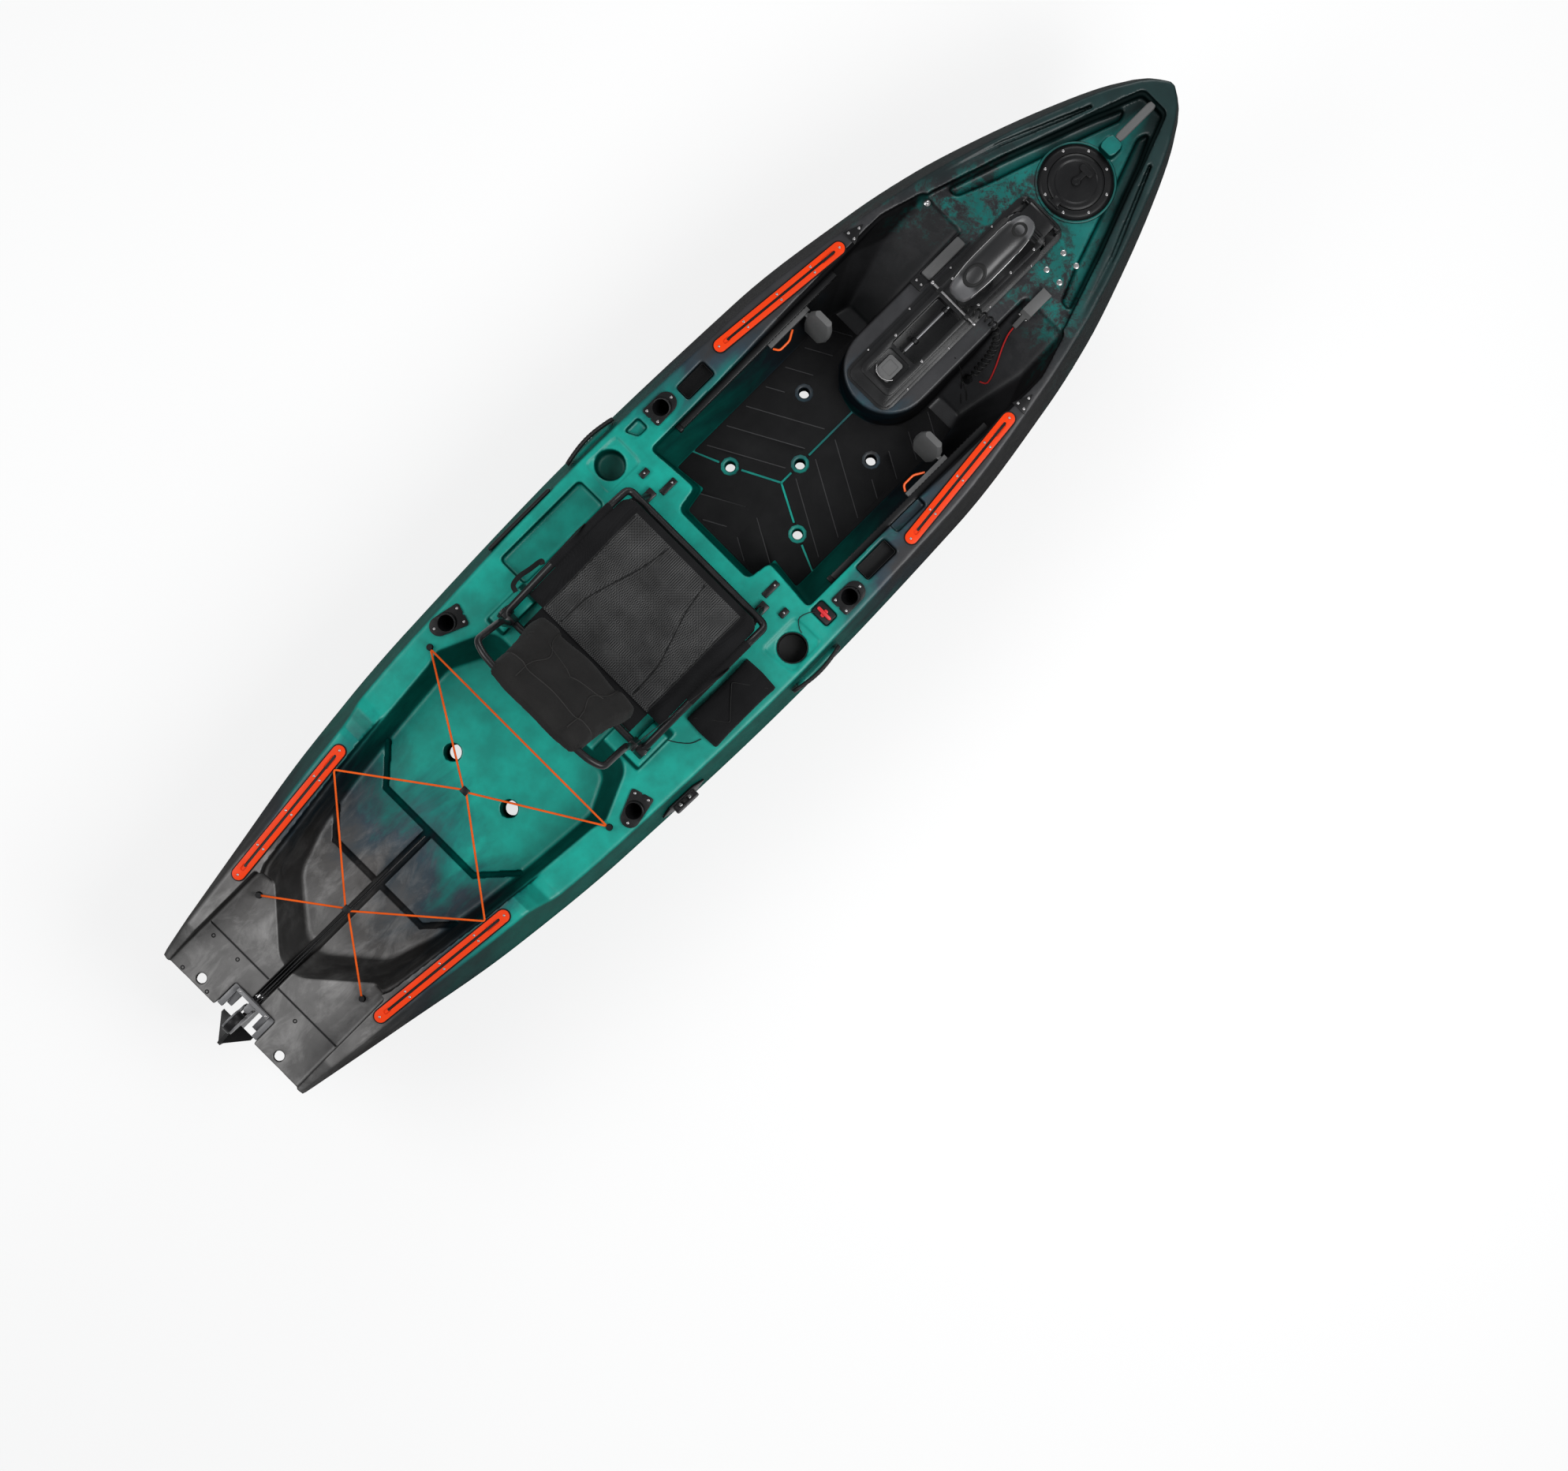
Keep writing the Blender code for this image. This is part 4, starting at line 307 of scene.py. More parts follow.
def roundedOutline(u0, u1, v0, v1, radius, steps=6):
    return (arc(u1 - radius, v1 - radius, radius, 0, 90, steps)
            + arc(u0 + radius, v1 - radius, radius, 90, 180, steps)
            + arc(u0 + radius, v0 + radius, radius, 180, 270, steps)
            + arc(u1 - radius, v0 + radius, radius, 270, 360, steps))


def mirrored(half):
    return half + [(u, -v) for u, v in reversed(half) if v > 1e-6]


def evaluated(target):
    # the modifiers' result as a plain mesh
    graph = bpy.context.evaluated_depsgraph_get()
    mesh = bpy.data.meshes.new_from_object(target.evaluated_get(graph))
    target.modifiers.clear()
    if target.type == "MESH":
        target.data = mesh
        return target
    name = target.name
    bpy.data.objects.remove(target)
    return addObject(name, mesh)


def combined(target, tools, operation):
    for tool in tools:
        step = target.modifiers.new("shape", "BOOLEAN")
        step.operation = operation
        step.solver = "EXACT"
        step.object = tool
        evaluated(target)
        bpy.data.objects.remove(tool)
    return target


def cut(target, *tools):
    return combined(target, tools, "DIFFERENCE")


def fuse(target, *tools):
    return combined(target, tools, "UNION")


def softEdges(target, width, segments=2, angle=32):
    step = target.modifiers.new("edges", "BEVEL")
    step.width = width
    step.segments = segments
    step.limit_method = "ANGLE"
    step.angle_limit = math.radians(angle)
    step.use_clamp_overlap = True
    step.harden_normals = False
    evaluated(target)
    return shaded(target, 40)


def shaded(target, angle=35):
    target.data.shade_smooth()
    target.data.set_sharp_from_angle(angle=math.radians(angle))
    return target


def joined(name, pieces):
    # several meshes as one object, their finishes kept
    mesh = bpy.data.meshes.new(name)
    built = bmesh.new()
    kept = []
    for piece in pieces:
        start = len(built.faces)
        built.from_mesh(piece.data)
        built.faces.ensure_lookup_table()
        slots = []
        for finish in piece.data.materials or [None]:
            if finish not in kept:
                kept.append(finish)
            slots.append(kept.index(finish))
        for face in built.faces[start:]:
            face.material_index = slots[min(face.material_index, len(slots) - 1)]
    built.to_mesh(mesh)
    built.free()
    for finish in filter(None, kept):
        mesh.materials.append(finish)
    for piece in pieces:
        bpy.data.objects.remove(piece)
    return addObject(name, mesh)


def merged(node, name):
    # a CAD node's loose triangles as a copy with shared corners
    built = bmesh.new()
    built.from_mesh(nodes[node].data)
    built.transform(nodes[node].matrix_world)
    bmesh.ops.remove_doubles(built, verts=built.verts, dist=1e-6)
    bmesh.ops.dissolve_limit(built, angle_limit=math.radians(1.0), verts=built.verts, edges=built.edges)
    mesh = bpy.data.meshes.new(name)
    built.to_mesh(mesh)
    built.free()
    return addObject(name, mesh)


bodyOf = {n: body for body, group in frame["record"]["behaviour"]["bodies"].items() for n in group}
slotOf = {row["node"]: row["material_slot"] for row in frame["record"]["subparts"]}


def painted(piece, finish):
    # no finish means that the piece keeps those it has
    if finish:
        piece.data.materials.clear()
        piece.data.materials.append(finishes[finish])
    return piece


def dress(piece, finish, node):
    # the piece stands for its CAD node, in that node's body and slot
    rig.replaces(painted(piece, finish), node)
    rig.slot(piece, slotOf[node])
    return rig.ride(piece, bodyOf[node])


def trim(piece, finish, body="kayak"):
    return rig.ride(painted(piece, finish), body)


def bend(piece, finish, bodies, start, end, node=None):
    # a soft piece that follows the first body at its start and the second at its end
    painted(piece, finish)
    if node:
        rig.replaces(piece, node)
        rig.slot(piece, slotOf[node])
    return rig.blend(piece, *bodies, tuple(start), tuple(end))


def wire(tree, kind, inputs=None, **settings):
    # one node with its settings; an input is a value or another node's socket
    made = tree.nodes.new(kind)
    for key, value in settings.items():
        setattr(made, key, value)
    for key, value in (inputs or {}).items():
        if isinstance(value, bpy.types.NodeSocket):
            tree.links.new(value, made.inputs[key])
        else:
            made.inputs[key].default_value = value
    return made


def math2(tree, operation, a, b):
    return wire(tree, "ShaderNodeMath", {0: a, 1: b}, operation=operation).outputs[0]


# Camera straight above the deck, turned so that the bow points up and right
viewSet = {"height": 9.0, "deckZ": 0.36, "pixelsPerMetre": 460.0, "pixelsWide": 1988,
           "centre": (-0.184, -0.511), "turn": -44.93}


def addCamera():
    lens = bpy.data.cameras.new("viewCamera")
    lens.sensor_width = 36
    lens.lens = 36 * viewSet["height"] * viewSet["pixelsPerMetre"] / viewSet["pixelsWide"]
    lens.clip_start, lens.clip_end = 0.1, 50
    camera = addObject("viewCamera", lens)
    camera.location = (*viewSet["centre"], viewSet["deckZ"] + viewSet["height"])
    camera.rotation_euler = (0, 0, math.radians(viewSet["turn"]))
    bpy.context.scene.camera = camera


stageSet = {"floorZ": -0.245, "floorReach": 40, "floorColour": (0.86, 0.86, 0.855), "floorGlow": 0.72,
            "worldColour": (0.95, 0.97, 1.0), "worldStrength": 0.38,
            "lights": [((0.6, -2.6, 4.2), 2.6, 170), ((-2.4, 2.2, 4.0), 2.4, 90), ((3.4, 1.6, 2.4), 1.6, 45)]}


def addStage():
    side = stageSet["floorReach"]
    floor = addObject("studioFloor", bpy.data.meshes.new("studioFloor"))
    corners = [(-side, -side), (side, -side), (side, side), (-side, side)]
    floor.data.from_pydata([(x, y, stageSet["floorZ"]) for x, y in corners], [], [(0, 1, 2, 3)])
    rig.stage(floor)
    paint = bpy.data.materials.new("studioFloor")
    paint.use_nodes = True
    tree = paint.node_tree
    shader = tree.nodes["Principled BSDF"]
    shader.inputs["Base Color"].default_value = (*stageSet["floorColour"], 1)
    shader.inputs["Roughness"].default_value = 0.9
    shader.inputs["Specular IOR Level"].default_value = 0.1
    glow = wire(tree, "ShaderNodeEmission", {"Color": (1, 1, 1, 1)})
    seen = wire(tree, "ShaderNodeLightPath").outputs["Is Camera Ray"]
    share = math2(tree, "MULTIPLY", seen, stageSet["floorGlow"])
    mix = wire(tree, "ShaderNodeMixShader", {0: share, 1: shader.outputs[0], 2: glow.outputs[0]})
    tree.links.new(mix.outputs[0], tree.nodes["Material Output"].inputs["Surface"])
    floor.data.materials.append(paint)
    world = bpy.data.worlds.new("studio")
    world.use_nodes = True
    sky = world.node_tree.nodes["Background"]
    sky.inputs["Color"].default_value = (*stageSet["worldColour"], 1)
    sky.inputs["Strength"].default_value = stageSet["worldStrength"]
    bpy.context.scene.world = world
    for number, (place, size, watts) in enumerate(stageSet["lights"]):
        lamp = bpy.data.lights.new(f"softLight{number}", "AREA")
        lamp.size = size
        lamp.energy = watts
        light = addObject(lamp.name, lamp)
        light.location = place
        light.rotation_euler = (-Vector(place)).to_track_quat("-Z", "Y").to_euler()
    bpy.context.scene.view_settings.view_transform = "Standard"


addCamera()
addStage()
print("stage and camera ready")


def nodeGroup(name, inputs, outputs):
    group = bpy.data.node_groups.new(name, "ShaderNodeTree")
    for label, kind, value in inputs:
        socket = group.interface.new_socket(name=label, in_out="INPUT", socket_type=kind)
        if value is not None:
            socket.default_value = value
    for label, kind in outputs:
        group.interface.new_socket(name=label, in_out="OUTPUT", socket_type=kind)
    return group, group.nodes.new("NodeGroupInput"), group.nodes.new("NodeGroupOutput")


def timesPlus(tree, value, factor, shift):
    steps = {0: value, 1: factor, 2: shift}
    return wire(tree, "ShaderNodeMath", steps, operation="MULTIPLY_ADD").outputs[0]


def absolute(tree, value):
    return wire(tree, "ShaderNodeMath", {0: value}, operation="ABSOLUTE").outputs[0]


def ranged(tree, value, low, high, start=0.0, end=1.0):
    # the value's span from low to high carried to start and end, and held there beyond it
    ends = {"Value": value, "From Min": low, "From Max": high, "To Min": start, "To Max": end}
    return wire(tree, "ShaderNodeMapRange", ends).outputs[0]


def noise(tree, place, scale, detail, roughness, distortion=0.0):
    made = wire(tree, "ShaderNodeTexNoise", {"Vector": place, "Scale": scale, "Detail": detail,
                                             "Roughness": roughness, "Distortion": distortion})
    return made.outputs["Fac"]


def mixColour(tree, factor, a, b, blend="MIX"):
    made = wire(tree, "ShaderNodeMix", {"Factor": factor}, data_type="RGBA", blend_type=blend)
    for socket, value in ((made.inputs[6], a), (made.inputs[7], b)):
        if isinstance(value, bpy.types.NodeSocket):
            tree.links.new(value, socket)
        else:
            socket.default_value = (*value, 1)
    return made.outputs[2]


def rampOf(tree, factor, stops):
    made = wire(tree, "ShaderNodeValToRGB", {"Fac": factor})
    made.color_ramp.interpolation = "LINEAR"
    points = made.color_ramp.elements
    while len(points) < len(stops):
        points.new(0.5)
    for point, (place, colour) in zip(points, stops):
        point.position = place
        point.color = (*colour, 1)
    return made.outputs["Color"]


def makeGrain():
    # fine moulded grain and broad mottling on Object coordinates
    group, given, put = nodeGroup("mouldedGrain",
                                  [("Vector", "NodeSocketVector", None), ("Scale", "NodeSocketFloat", 900.0)],
                                  [("Height", "NodeSocketFloat"), ("Mottle", "NodeSocketFloat")])
    group.links.new(noise(group, given.outputs[0], given.outputs[1], 3.0, 0.6), put.inputs[0])
    group.links.new(noise(group, given.outputs[0], 14.0, 4.0, 0.55), put.inputs[1])
    return group


def makeWeave():
    # crossing threads: height, and a mask that is light on the upper thread
    group, given, put = nodeGroup("clothWeave",
                                  [("Vector", "NodeSocketVector", None), ("Scale", "NodeSocketFloat", 450.0)],
                                  [("Height", "NodeSocketFloat"), ("Thread", "NodeSocketFloat")])
    scaled = wire(group, "ShaderNodeVectorMath", {0: given.outputs[0]}, operation="SCALE")
    group.links.new(given.outputs[1], scaled.inputs["Scale"])
    parts = wire(group, "ShaderNodeSeparateXYZ", {0: scaled.outputs[0]})
    waves = [wire(group, "ShaderNodeMath", {0: parts.outputs[axis]}, operation="SINE").outputs[0]
             for axis in (0, 1, 2)]
    flat = math2(group, "ADD", waves[0], waves[2])
    cross = math2(group, "MULTIPLY", flat, waves[1])
    group.links.new(timesPlus(group, cross, 0.25, 0.5), put.inputs[0])
    group.links.new(math2(group, "GREATER_THAN", cross, 0.0), put.inputs[1])
    return group


def makeScuffs():
    # thin worn marks and dust, denser as Amount grows
    group, given, put = nodeGroup("scuffMarks",
                                  [("Vector", "NodeSocketVector", None), ("Scale", "NodeSocketFloat", 30.0),
                                   ("Amount", "NodeSocketFloat", 0.2)],
                                  [("Mask", "NodeSocketFloat")])
    stretched = wire(group, "ShaderNodeMapping", {"Vector": given.outputs[0], "Scale": (1.0, 4.0, 2.0)})
    marks = ranged(group, noise(group, stretched.outputs[0], given.outputs[1], 8.0, 0.75), 0.58, 0.76)
    group.links.new(math2(group, "MULTIPLY", marks, given.outputs[2]), put.inputs[0])
    return group


grainGroup, weaveGroup, scuffGroup = makeGrain(), makeWeave(), makeScuffs()
finishes = {}


def startFinish(name, roughness, metallic=0.0, specular=0.5):
    made = bpy.data.materials.new(name)
    made.use_nodes = True
    tree = made.node_tree
    shader = tree.nodes["Principled BSDF"]
    shader.inputs["Roughness"].default_value = roughness
    shader.inputs["Metallic"].default_value = metallic
    shader.inputs["Specular IOR Level"].default_value = specular
    finishes[name] = made
    place = wire(tree, "ShaderNodeTexCoord").outputs["Object"]
    return tree, shader, place


def use(tree, group, **values):
    made = tree.nodes.new("ShaderNodeGroup")
    made.node_tree = group
    for key, value in values.items():
        if isinstance(value, bpy.types.NodeSocket):
            tree.links.new(value, made.inputs[key])
        else:
            made.inputs[key].default_value = value
    return made


def bumped(tree, shader, height, distance, strength=1.0):
    bump = wire(tree, "ShaderNodeBump", {"Height": height, "Distance": distance, "Strength": strength})
    tree.links.new(bump.outputs[0], shader.inputs["Normal"])


def moulded(name, colour, wornColour, roughness, grainScale=900.0, depth=0.00012, scuffs=0.25,
            metallic=0.0, specular=0.5):
    # plastic or powder coat: grain, broad mottling and pale scuffs
    tree, shader, place = startFinish(name, roughness, metallic, specular)
    grain = use(tree, grainGroup, Vector=place, Scale=grainScale)
    scuff = use(tree, scuffGroup, Vector=place, Amount=scuffs)
    darker = tuple(c * 0.72 for c in colour)
    base = mixColour(tree, grain.outputs["Mottle"], colour, darker)
    tree.links.new(mixColour(tree, scuff.outputs[0], base, wornColour), shader.inputs["Base Color"])
    rough = ranged(tree, grain.outputs["Mottle"], 0.3, 0.7, roughness - 0.07, roughness + 0.09)
    tree.links.new(rough, shader.inputs["Roughness"])
    bumped(tree, shader, grain.outputs["Height"], depth)


# the stern's grey is its charcoal resin lightened with painted sheen, and the pale colour is painted sheen
hullPaint = {"teal": (0.0, 0.26, 0.205), "deepTeal": (0.0, 0.13, 0.115), "navy": (0.018, 0.036, 0.050),
             "charcoal": (0.026, 0.026, 0.028), "bowTeal": (0.002, 0.120, 0.108),
             "sternGrey": (0.115, 0.112, 0.110), "brownGrey": (0.070, 0.066, 0.064),
             "black": (0.012, 0.013, 0.015), "pale": (0.26, 0.255, 0.25), "rim": (0.006, 0.014, 0.015),
             "roughness": 0.36, "grain": 420.0,
             "bands": [(0.0, "sternGrey"), (0.075, "sternGrey"), (0.12, "brownGrey"), (0.175, "navy"),
                       (0.215, "deepTeal"), (0.255, "teal"), (0.565, "teal"), (0.605, "deepTeal"),
                       (0.65, "navy"), (0.69, "charcoal"), (0.81, "charcoal"), (0.855, "bowTeal"),
                       (1.0, "bowTeal")]}


def makeHullPaint():
    # resins that ran together in the mould, in bands along the hull, the stern's band lightened with painted sheen
    tree, shader, place = startFinish("hullPlastic", hullPaint["roughness"])
    parts = wire(tree, "ShaderNodeSeparateXYZ", {0: place})
    along = timesPlus(tree, parts.outputs[0], 1 / hullLength, 0.5)
    side = absolute(tree, parts.outputs[1])
    stretched = wire(tree, "ShaderNodeMapping", {"Vector": place, "Scale": (1.0, 2.2, 2.2),
                                                 "Rotation": (0, 0, math.radians(28))}).outputs[0]
    speckle = noise(tree, place, 11.0, 12.0, 0.80, 0.3)
    inBow = ranged(tree, along, 0.72, 0.82)

    # the bands' place, moved by broad clouds, by the distance from the middle line and by the bow's speckle
    shift = ranged(tree, noise(tree, stretched, 2.6, 6.0, 0.62, 0.7), 0.25, 0.75, -0.055, 0.055)
    where = math2(tree, "ADD", math2(tree, "ADD", along, shift), ranged(tree, side, 0.27, 0.40, 0.0, 0.055))
    fray = math2(tree, "MULTIPLY", ranged(tree, speckle, 0.40, 0.60, 0.045, -0.045), inBow)
    where = math2(tree, "ADD", where, fray)
    base = rampOf(tree, where, [(share, hullPaint[colour]) for share, colour in hullPaint["bands"]])

    # black spots in the bow, fewer at its end, and a dark rim along its edge
    dark = math2(tree, "MULTIPLY", ranged(tree, speckle, 0.49, 0.56), inBow)
    dark = math2(tree, "MULTIPLY", dark, ranged(tree, along, 0.84, 0.94, 1.0, 0.15))
    base = mixColour(tree, math2(tree, "MULTIPLY", dark, 0.9), base, hullPaint["black"])
    ahead = timesPlus(tree, parts.outputs[0], 0.5, -0.335 - 0.5 * (3.0 - hullLength / 2))
    rim = ranged(tree, math2(tree, "ADD", side, ahead), -0.085, -0.035, 0.0, 0.92)
    base = mixColour(tree, math2(tree, "MULTIPLY", rim, inBow), base, hullPaint["rim"])

    # pale streaks at the stern: painted sheen
    pale = ranged(tree, noise(tree, stretched, 7.0, 10.0, 0.66, 0.6), 0.48, 0.72, 0.0, 0.75)
    pale = math2(tree, "MULTIPLY", pale, ranged(tree, where, 0.20, 0.10))
    base = mixColour(tree, pale, base, hullPaint["pale"])

    # what doesn't face up is darker, as painted shade, and duller; the tank's grooves and the cups take painted shade
    # too
    grain = use(tree, grainGroup, Vector=place, Scale=hullPaint["grain"])
    mottle = ranged(tree, grain.outputs["Mottle"], 0.35, 0.65, 0.80, 1.12)
    base = mixColour(tree, 1.0, base, mottle, "MULTIPLY")
    ledge = wire(tree, "ShaderNodeAttribute", attribute_name="ledge").outputs["Fac"]
    # painted shade: the base darkened where the corners face away from up
    base = mixColour(tree, 1.0, base, ranged(tree, ledge, 0.55, 0.98, 0.22, 1.0), "MULTIPLY")
    tree.links.new(base, shader.inputs["Base Color"])
    tree.links.new(ranged(tree, ledge, 0.1, 0.9, 0.0, 0.30), shader.inputs["Specular IOR Level"])
    rough = ranged(tree, ledge, 0.1, 0.8, 0.85, hullPaint["roughness"])
    tree.links.new(rough, shader.inputs["Roughness"])
    bumped(tree, shader, grain.outputs["Height"], 0.0002, 0.8)


makeHullPaint()
moulded("rudderGrey", (0.16, 0.16, 0.165), (0.30, 0.30, 0.30), 0.34, 1200.0, 0.00006, 0.3)
moulded("blackPlastic", (0.0050, 0.0050, 0.0055), (0.045, 0.045, 0.045), 0.36, specular=0.24)
moulded("blackMetal", (0.0065, 0.0065, 0.007), (0.05, 0.05, 0.05), 0.30, 1500.0, 0.00005, 0.15, specular=0.34)
moulded("darkSteel", (0.16, 0.16, 0.165), (0.08, 0.08, 0.08), 0.42, 1500.0, 0.00003, 0.2, 1.0)
moulded("orangeRail", (0.80, 0.046, 0.003), (0.85, 0.16, 0.04), 0.38, 1400.0, 0.00004, 0.2, specular=0.16)
moulded("orangeWire", (0.92, 0.12, 0.01), (0.9, 0.3, 0.1), 0.35, 1400.0, 0.00004, 0.1)
moulded("greyPlastic", (0.105, 0.105, 0.105), (0.22, 0.22, 0.22), 0.5, specular=0.3)
moulded("whitePaint", (0.74, 0.74, 0.74), (0.45, 0.45, 0.45), 0.28, 1500.0, 0.00002, 0.12)
moulded("blackRubber", (0.0065, 0.0065, 0.0065), (0.03, 0.03, 0.03), 0.5, 1200.0, 0.0001, 0.1, specular=0.25)
moulded("redWire", (0.42, 0.012, 0.012), (0.3, 0.05, 0.05), 0.45, 1200.0, 0.00003, 0.1)
moulded("redPlastic", (0.62, 0.012, 0.018), (0.5, 0.1, 0.1), 0.32, 1200.0, 0.00004, 0.1)
moulded("blackFoam", (0.0085, 0.0085, 0.009), (0.02, 0.02, 0.02), 0.8, 1600.0, 0.0003, 0.15, specular=0.15)
# a lighter grey for the floors of the mat's grooves: painted highlight
moulded("foamGroove", (0.060, 0.060, 0.062), (0.05, 0.05, 0.05), 0.8, 1600.0, 0.0002, 0.1, specular=0.15)
moulded("piping", (0.026, 0.025, 0.024), (0.05, 0.05, 0.05), 0.6, 2400.0, 0.00005, 0.1, specular=0.2)
moulded("steel", (0.46, 0.45, 0.45), (0.25, 0.25, 0.26), 0.32, 1800.0, 0.00002, 0.2, 1.0)


def cloth(name, colour, thread, scale, roughness, depth, sheen=0.02):
    tree, shader, place = startFinish(name, roughness, specular=0.15)
    weave = use(tree, weaveGroup, Vector=place, Scale=scale)
    grain = use(tree, grainGroup, Vector=place, Scale=300.0)
    base = mixColour(tree, weave.outputs["Thread"], colour, thread)
    worn = mixColour(tree, grain.outputs["Mottle"], base, tuple(c * 0.6 for c in colour))
    tree.links.new(worn, shader.inputs["Base Color"])
    shader.inputs["Sheen Weight"].default_value = sheen
    bumped(tree, shader, weave.outputs["Height"], depth)


cloth("greyMesh", (0.008, 0.008, 0.0082), (0.105, 0.105, 0.105), 1050.0, 0.8, 0.0004)
cloth("blackFabric", (0.0045, 0.0045, 0.005), (0.011, 0.011, 0.012), 2600.0, 0.85, 0.0002)
cloth("padFabric", (0.0085, 0.0080, 0.0078), (0.024, 0.023, 0.022), 2600.0, 0.8, 0.0002, 0.03)
cloth("webbing", (0.006, 0.006, 0.0065), (0.018, 0.018, 0.018), 3600.0, 0.7, 0.0003)
cloth("orangeCord", (0.78, 0.085, 0.004), (0.95, 0.170, 0.015), 2400.0, 0.7, 0.0003)
finishOfSlot = {"hull_plastic": "hullPlastic", "black_plastic": "blackPlastic", "orange_rail": "orangeRail",
                "orange_wire": "orangeWire", "orange_cord": "orangeCord", "black_foam": "blackFoam",
                "grey_plastic": "greyPlastic", "black_metal": "blackMetal", "steel": "steel",
                "white_metal": "whitePaint", "black_rubber": "blackRubber", "red_wire": "redWire",
                "grey_mesh": "greyMesh", "black_fabric": "blackFabric", "red_plastic": "redPlastic"}
for name, node in nodes.items():
    painted(node, finishOfSlot[slotOf[name]])
print("finishes ready:", len(finishes))


# The hull's lines along the stations, its ends by height, its sections as shares, and its levels
hullLines = {
    "halfBeam": [(0, 0.272), (0.3, 0.330), (0.7, 0.400), (1.1, 0.437), (1.75, 0.457), (2.4, 0.437),
                 (2.8, 0.381), (3.0, 0.335), (3.2, 0.268), (3.4, 0.190), (3.55, 0.117), (3.64, 0.048),
                 (3.66, 0.012)],
    "tumblehome": [(0, 0.004), (0.127, 0.012), (0.3, 0.025), (0.5, 0.042), (0.8, 0.048), (0.9, 0.032),
                   (2.8, 0.030), (3.2, 0.020), (3.55, 0.010), (3.66, 0.004)],
    "keel": [(0, 0.150), (0.2, 0.133), (0.4, 0.098), (0.7, 0.050), (1.0, 0.026), (1.5, 0.009), (2.0, 0.0),
             (2.3, 0.005), (2.7, 0.025), (3.05, 0.055), (3.27, 0.068), (3.66, 0.055)],
    "crease": [(0, 0.315), (0.3, 0.295), (0.7, 0.260), (1.1, 0.237), (1.5, 0.230), (2.0, 0.240),
               (2.5, 0.265), (2.8, 0.288), (3.0, 0.310), (3.2, 0.342), (3.4, 0.365), (3.66, 0.400)],
    "sheer": [(0, 0.330), (0.127, 0.420), (0.79, 0.420), (0.81, 0.416), (0.84, 0.395), (0.87, 0.370),
              (0.90, 0.3595), (0.93, 0.358), (2.105, 0.358), (2.2, 0.361), (2.8, 0.388), (3.0, 0.396),
              (3.3, 0.408), (3.4, 0.412), (3.54, 0.428), (3.66, 0.430)],
    "transom": [(0.145, 0.090), (0.195, 0.085), (0.245, 0.058), (0.315, 0.002), (0.330, 0.0)],
    "stem": [(0.050, 3.450), (0.070, 3.500), (0.145, 3.550), (0.235, 3.600), (0.345, 3.640), (0.430, 3.66)],
    "midship": [(0.08, 0.0), (0.34, 0.12), (0.62, 0.06), (0.82, 0.18), (0.94, 0.50), (1.0, 1.0)],
    "bow": [(0.04, 0.0), (0.14, 0.22), (0.27, 0.42), (0.45, 0.62), (0.70, 0.83), (1.0, 1.0)],
    "deck": 0.358, "platform": 0.325, "console": 0.368, "footFloor": 0.130, "edge": 0.012, "spacing": 0.036,
}
deckZ, consoleZ, platformZ = hullLines["deck"], hullLines["console"], hullLines["platform"]
footZ = hullLines["footFloor"]
rampU, rampRun = 2.640, 0.330  # the footwell's fore end climbs to the console
cupU, cupV, cupFloorZ = 1.833, 0.356, deckZ - 0.090
hatchU = 3.29
rodSpots = {"rear": (1.209, 0.366), "front": (2.047, 0.368)}
rodAxis = Vector((math.sin(math.radians(20)), 0, -math.cos(math.radians(20))))


def faired(rows, u):
    # a smooth curve through the rows that never overshoots them
    us, vs = zip(*rows)
    if u <= us[0]:
        return vs[0]
    if u >= us[-1]:
        return vs[-1]
    steps = [(b - a) / (d - c) for a, b, c, d in zip(vs, vs[1:], us, us[1:])]
    slopes = [steps[0]]
    for before, after in zip(steps, steps[1:]):
        slopes.append(2 * before * after / (before + after) if before * after > 0 else 0.0)
    slopes.append(steps[-1])
    i = max(n for n, start in enumerate(us[:-1]) if start <= u)
    span = us[i + 1] - us[i]
    t = (u - us[i]) / span
    return (vs[i] * (1 + 2 * t) * (1 - t) ** 2 + slopes[i] * span * t * (1 - t) ** 2
            + vs[i + 1] * t * t * (3 - 2 * t) + slopes[i + 1] * span * t * t * (t - 1))


def straight(rows, u):
    return float(np.interp(u, [row[0] for row in rows], [row[1] for row in rows]))


def sheerZ(u):
    return straight(hullLines["sheer"], u)


def grown(outline, distance):
    # the outline with each side moved outwards by the distance
    area = sum(a[0] * b[1] - b[0] * a[1] for a, b in zip(outline, outline[1:] + outline[:1]))
    side = math.copysign(1, area)
    moved = []
    for i, here in enumerate(outline):
        before = Vector(here) - Vector(outline[i - 1])
        after = Vector(outline[(i + 1) % len(outline)]) - Vector(here)
        first = Vector((before.y, -before.x)).normalized() * side
        second = Vector((after.y, -after.x)).normalized() * side
        both = (first + second).normalized()
        moved.append(tuple(Vector(here) + both * distance / max(both.dot(first), 0.4)))
    return moved


def rounded(outline, radius, steps=5):
    # the outline with an arc in each corner, the same number of points whatever its shape
    made = []
    for i, here in enumerate(outline):
        here = Vector(here)
        back = Vector(outline[i - 1]) - here
        ahead = Vector(outline[(i + 1) % len(outline)]) - here
        reach = min(radius, back.length * 0.48, ahead.length * 0.48)
        start, end = here + back.normalized() * reach, here + ahead.normalized() * reach
        made += [tuple(p) for p in cornerBend(start, here, end, steps)]
    return made


def through(spots, perSpan):
    # points on a smooth curve through chosen spots
    spots = [Vector(s) for s in spots]
    padded = [2 * spots[0] - spots[1], *spots, 2 * spots[-1] - spots[-2]]
    route = []
    for a, b, c, d in zip(padded, padded[1:], padded[2:], padded[3:]):
        for step in range(perSpan):
            t = step / perSpan
            route.append(0.5 * (2 * b + (c - a) * t + (2 * a - 5 * b + 4 * c - d) * t * t
                                + (3 * b - a - 3 * c + d) * t ** 3))
    route.append(spots[-1])
    return route


